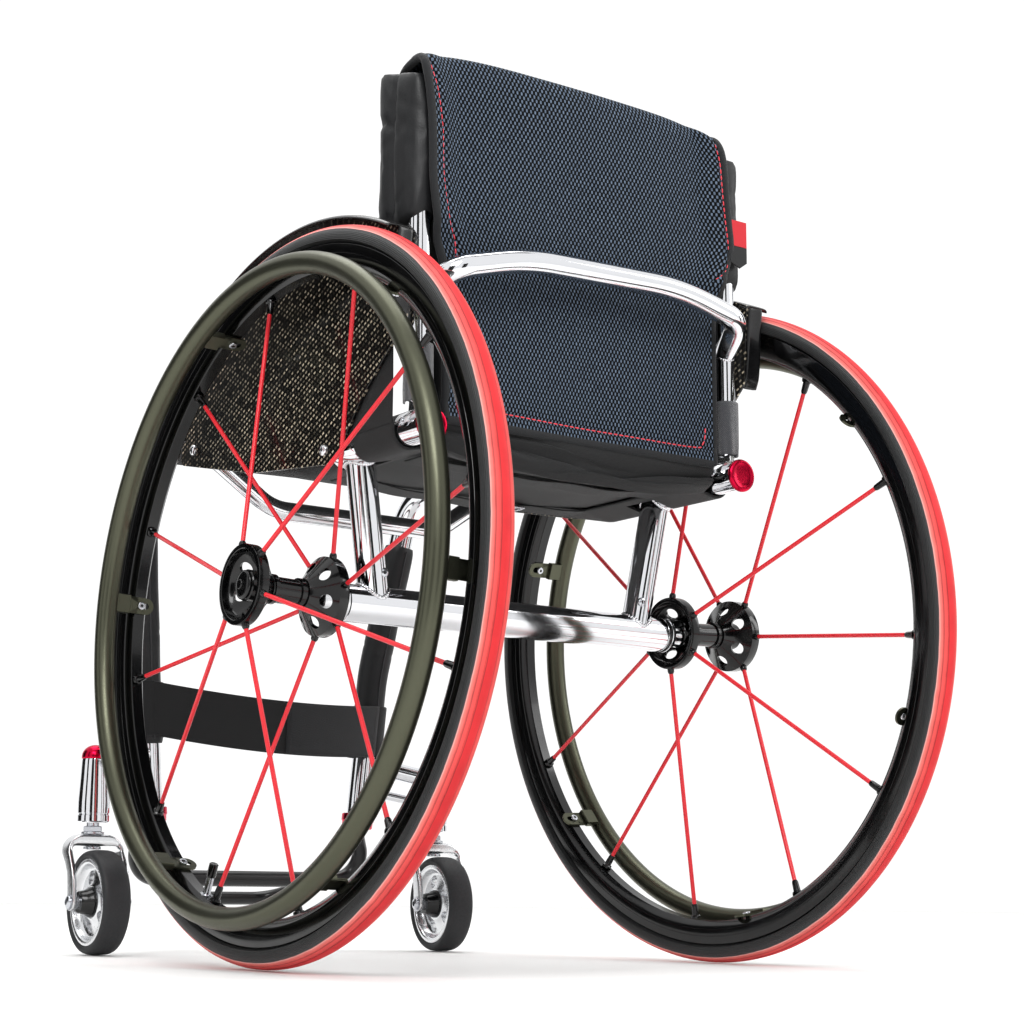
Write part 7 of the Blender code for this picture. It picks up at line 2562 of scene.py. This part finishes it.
@dataclass
class Studio:
    """Pale floor, soft lights and the camera at the photograph's viewing angle."""

    eye: tuple[float, float, float] = (-1.0370, -1.3888, 0.0620)
    right: tuple[float, float, float] = (0.8213, -0.5704, 0.0086)
    up: tuple[float, float, float] = (-0.1024, -0.1326, 0.9859)
    ahead: tuple[float, float, float] = (0.5612, 0.8106, 0.1673)
    middle: tuple[float, float, float] = (0.0, 0.0, 0.35)
    lens: float = 70.643
    shift: tuple[float, float] = (0.07272, 0.03744)
    lights: tuple = (             # name, place, size and power of each light
        ("key", (-2.2, -2.4, 2.6), 1.8, 60.0), ("fill", (2.6, -1.6, 1.8), 1.6, 22.0),
        ("top", (0.2, 0.6, 3.2), 2.4, 40.0),
    )
    cards: tuple = (              # place, width and height of each black card
        ((-2.6, 0.1, 0.7), 0.55, 3.2), ((-2.1, -1.8, 0.6), 0.95, 2.4), ((-0.3, -2.8, 0.4), 0.70, 1.9),
        ((2.25, -1.6, 0.6), 0.30, 2.6), ((2.7, -0.3, 0.6), 0.80, 2.6), ((1.3, 2.4, 0.6), 0.50, 2.6),
        ((-1.7, 2.1, 0.5), 1.90, 3.0), ((0.0, -0.6, 3.0), 2.6, 0.35),
    )

    def camera(self, y: float) -> None:
        """Set the camera where the photograph was taken from.

        Args:
            y: The axle frame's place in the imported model's frame.
        """
        data = bpy.data.cameras.new("camera")
        data.sensor_width = 36.0
        data.lens = self.lens
        data.shift_x, data.shift_y = self.shift
        data.clip_end = 50.0
        seen = linked("camera", data)
        axes = np.eye(4)
        axes[:3, :3] = np.array([self.right, self.up, [-value for value in self.ahead]]).T
        axes[:3, 3] = np.array(self.eye) + np.array((0, y, 0))
        seen.matrix_world = Matrix(axes.tolist())
        bpy.context.scene.camera = seen

    def hung(self, thing: bpy.types.Object, spot: tuple[float, float, float]) -> bpy.types.Object:
        """Hang a thing so that it faces the chair's middle.

        Args:
            thing: The light or card.
            spot: Where it hangs.

        Returns:
            The same thing.
        """
        thing.location = spot
        thing.rotation_euler = (Vector(self.middle) - Vector(spot)).to_track_quat("-Z", "Y").to_euler()
        return thing

    def light(self, name: str, spot: tuple[float, float, float], size: float, power: float) -> None:
        """Hang a soft square light that faces the chair's middle.

        Args:
            name: The light's name.
            spot: Where it hangs.
            size: Its side in metres.
            power: Its power in watts.
        """
        data = bpy.data.lights.new(name, "AREA")
        data.size = size
        data.energy = power
        self.hung(linked(name, data), spot)

    def world(self) -> None:
        """Plain white surround."""
        made = bpy.data.worlds.new("surround")
        made.use_nodes = True
        bpy.context.scene.world = made
        sky = made.node_tree.nodes["Background"]
        sky.inputs["Color"].default_value = linear("#FFFFFF")
        sky.inputs["Strength"].default_value = 1.0

    def flags(self) -> None:
        """Hang black cards that only glossy surfaces see: they draw the dark lines in polished metal."""
        for number, (spot, wide, high) in enumerate(self.cards):
            corners = [(x * wide / 2, y * high / 2, 0) for x, y in ((-1, -1), (1, -1), (1, 1), (-1, 1))]
            data = meshed("flag", Skin(corners, [(0, 1, 2, 3)], []))
            data.materials.append(Finish("black_velvet_card", "#050505", 0.95).material())
            card = self.hung(linked(f"flag_{number + 1}", data), spot)
            card.visible_camera = card.visible_diffuse = card.visible_shadow = False
            card.visible_transmission = card.visible_volume_scatter = False

    def floor(self) -> None:
        """Lay a large pale disc under the wheels."""
        data = meshed("floor", turned([(radius, 0.0) for radius in (1e-4, 0.6, 1.4, 3.0, 7.0)], 64))
        data.materials.append(Finish("matt_studio_floor", "#F2F2F1", 0.6).material())
        ground = linked("floor", data)
        ground.location.z = -0.0005

    def build(self, y: float) -> None:
        """Set up floor, lights, surround and camera.

        Args:
            y: The axle frame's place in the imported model's frame.
        """
        self.floor()
        self.world()
        self.flags()
        for name, spot, size, power in self.lights:
            self.light(name, spot, size, power)
        self.camera(y)
        view = bpy.context.scene.view_settings
        view.view_transform, view.exposure, view.gamma = "Standard", 0.10, 0.88


# Kinds of sub-assembly in the order in which they are made; a group's kinds alternate side by side
ORDER = ((RearWheel, Castor, Guard), (FrameSide,), (Frame, Footrest), (Clamp,), (Seat,), (Gusset,),
         (TubeWrap,), (CalfStrap,), (Cane,), (PushBar, Cushion), (CaneRoll,), (BackCover,))


def main() -> None:
    """Build every piece, then the studio, and log how many pieces were made."""
    logging.basicConfig(level=logging.INFO, format="%(message)s", stream=sys.stdout)
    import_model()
    low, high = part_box("axle_tube")
    shop = Workshop(shift=(low[1] + high[1]) / 2)
    for kinds in ORDER:
        for label, side in SIDES.items():
            for kind in kinds:
                if issubclass(kind, SideAssembly):
                    kind(shop, side, label).build()
                elif side == SIDES["left"]:
                    kind(shop).build()
    Studio().build(shop.shift)
    LOG.info("%d pieces", len(shop.made))


if __name__ == "__main__":
    main()
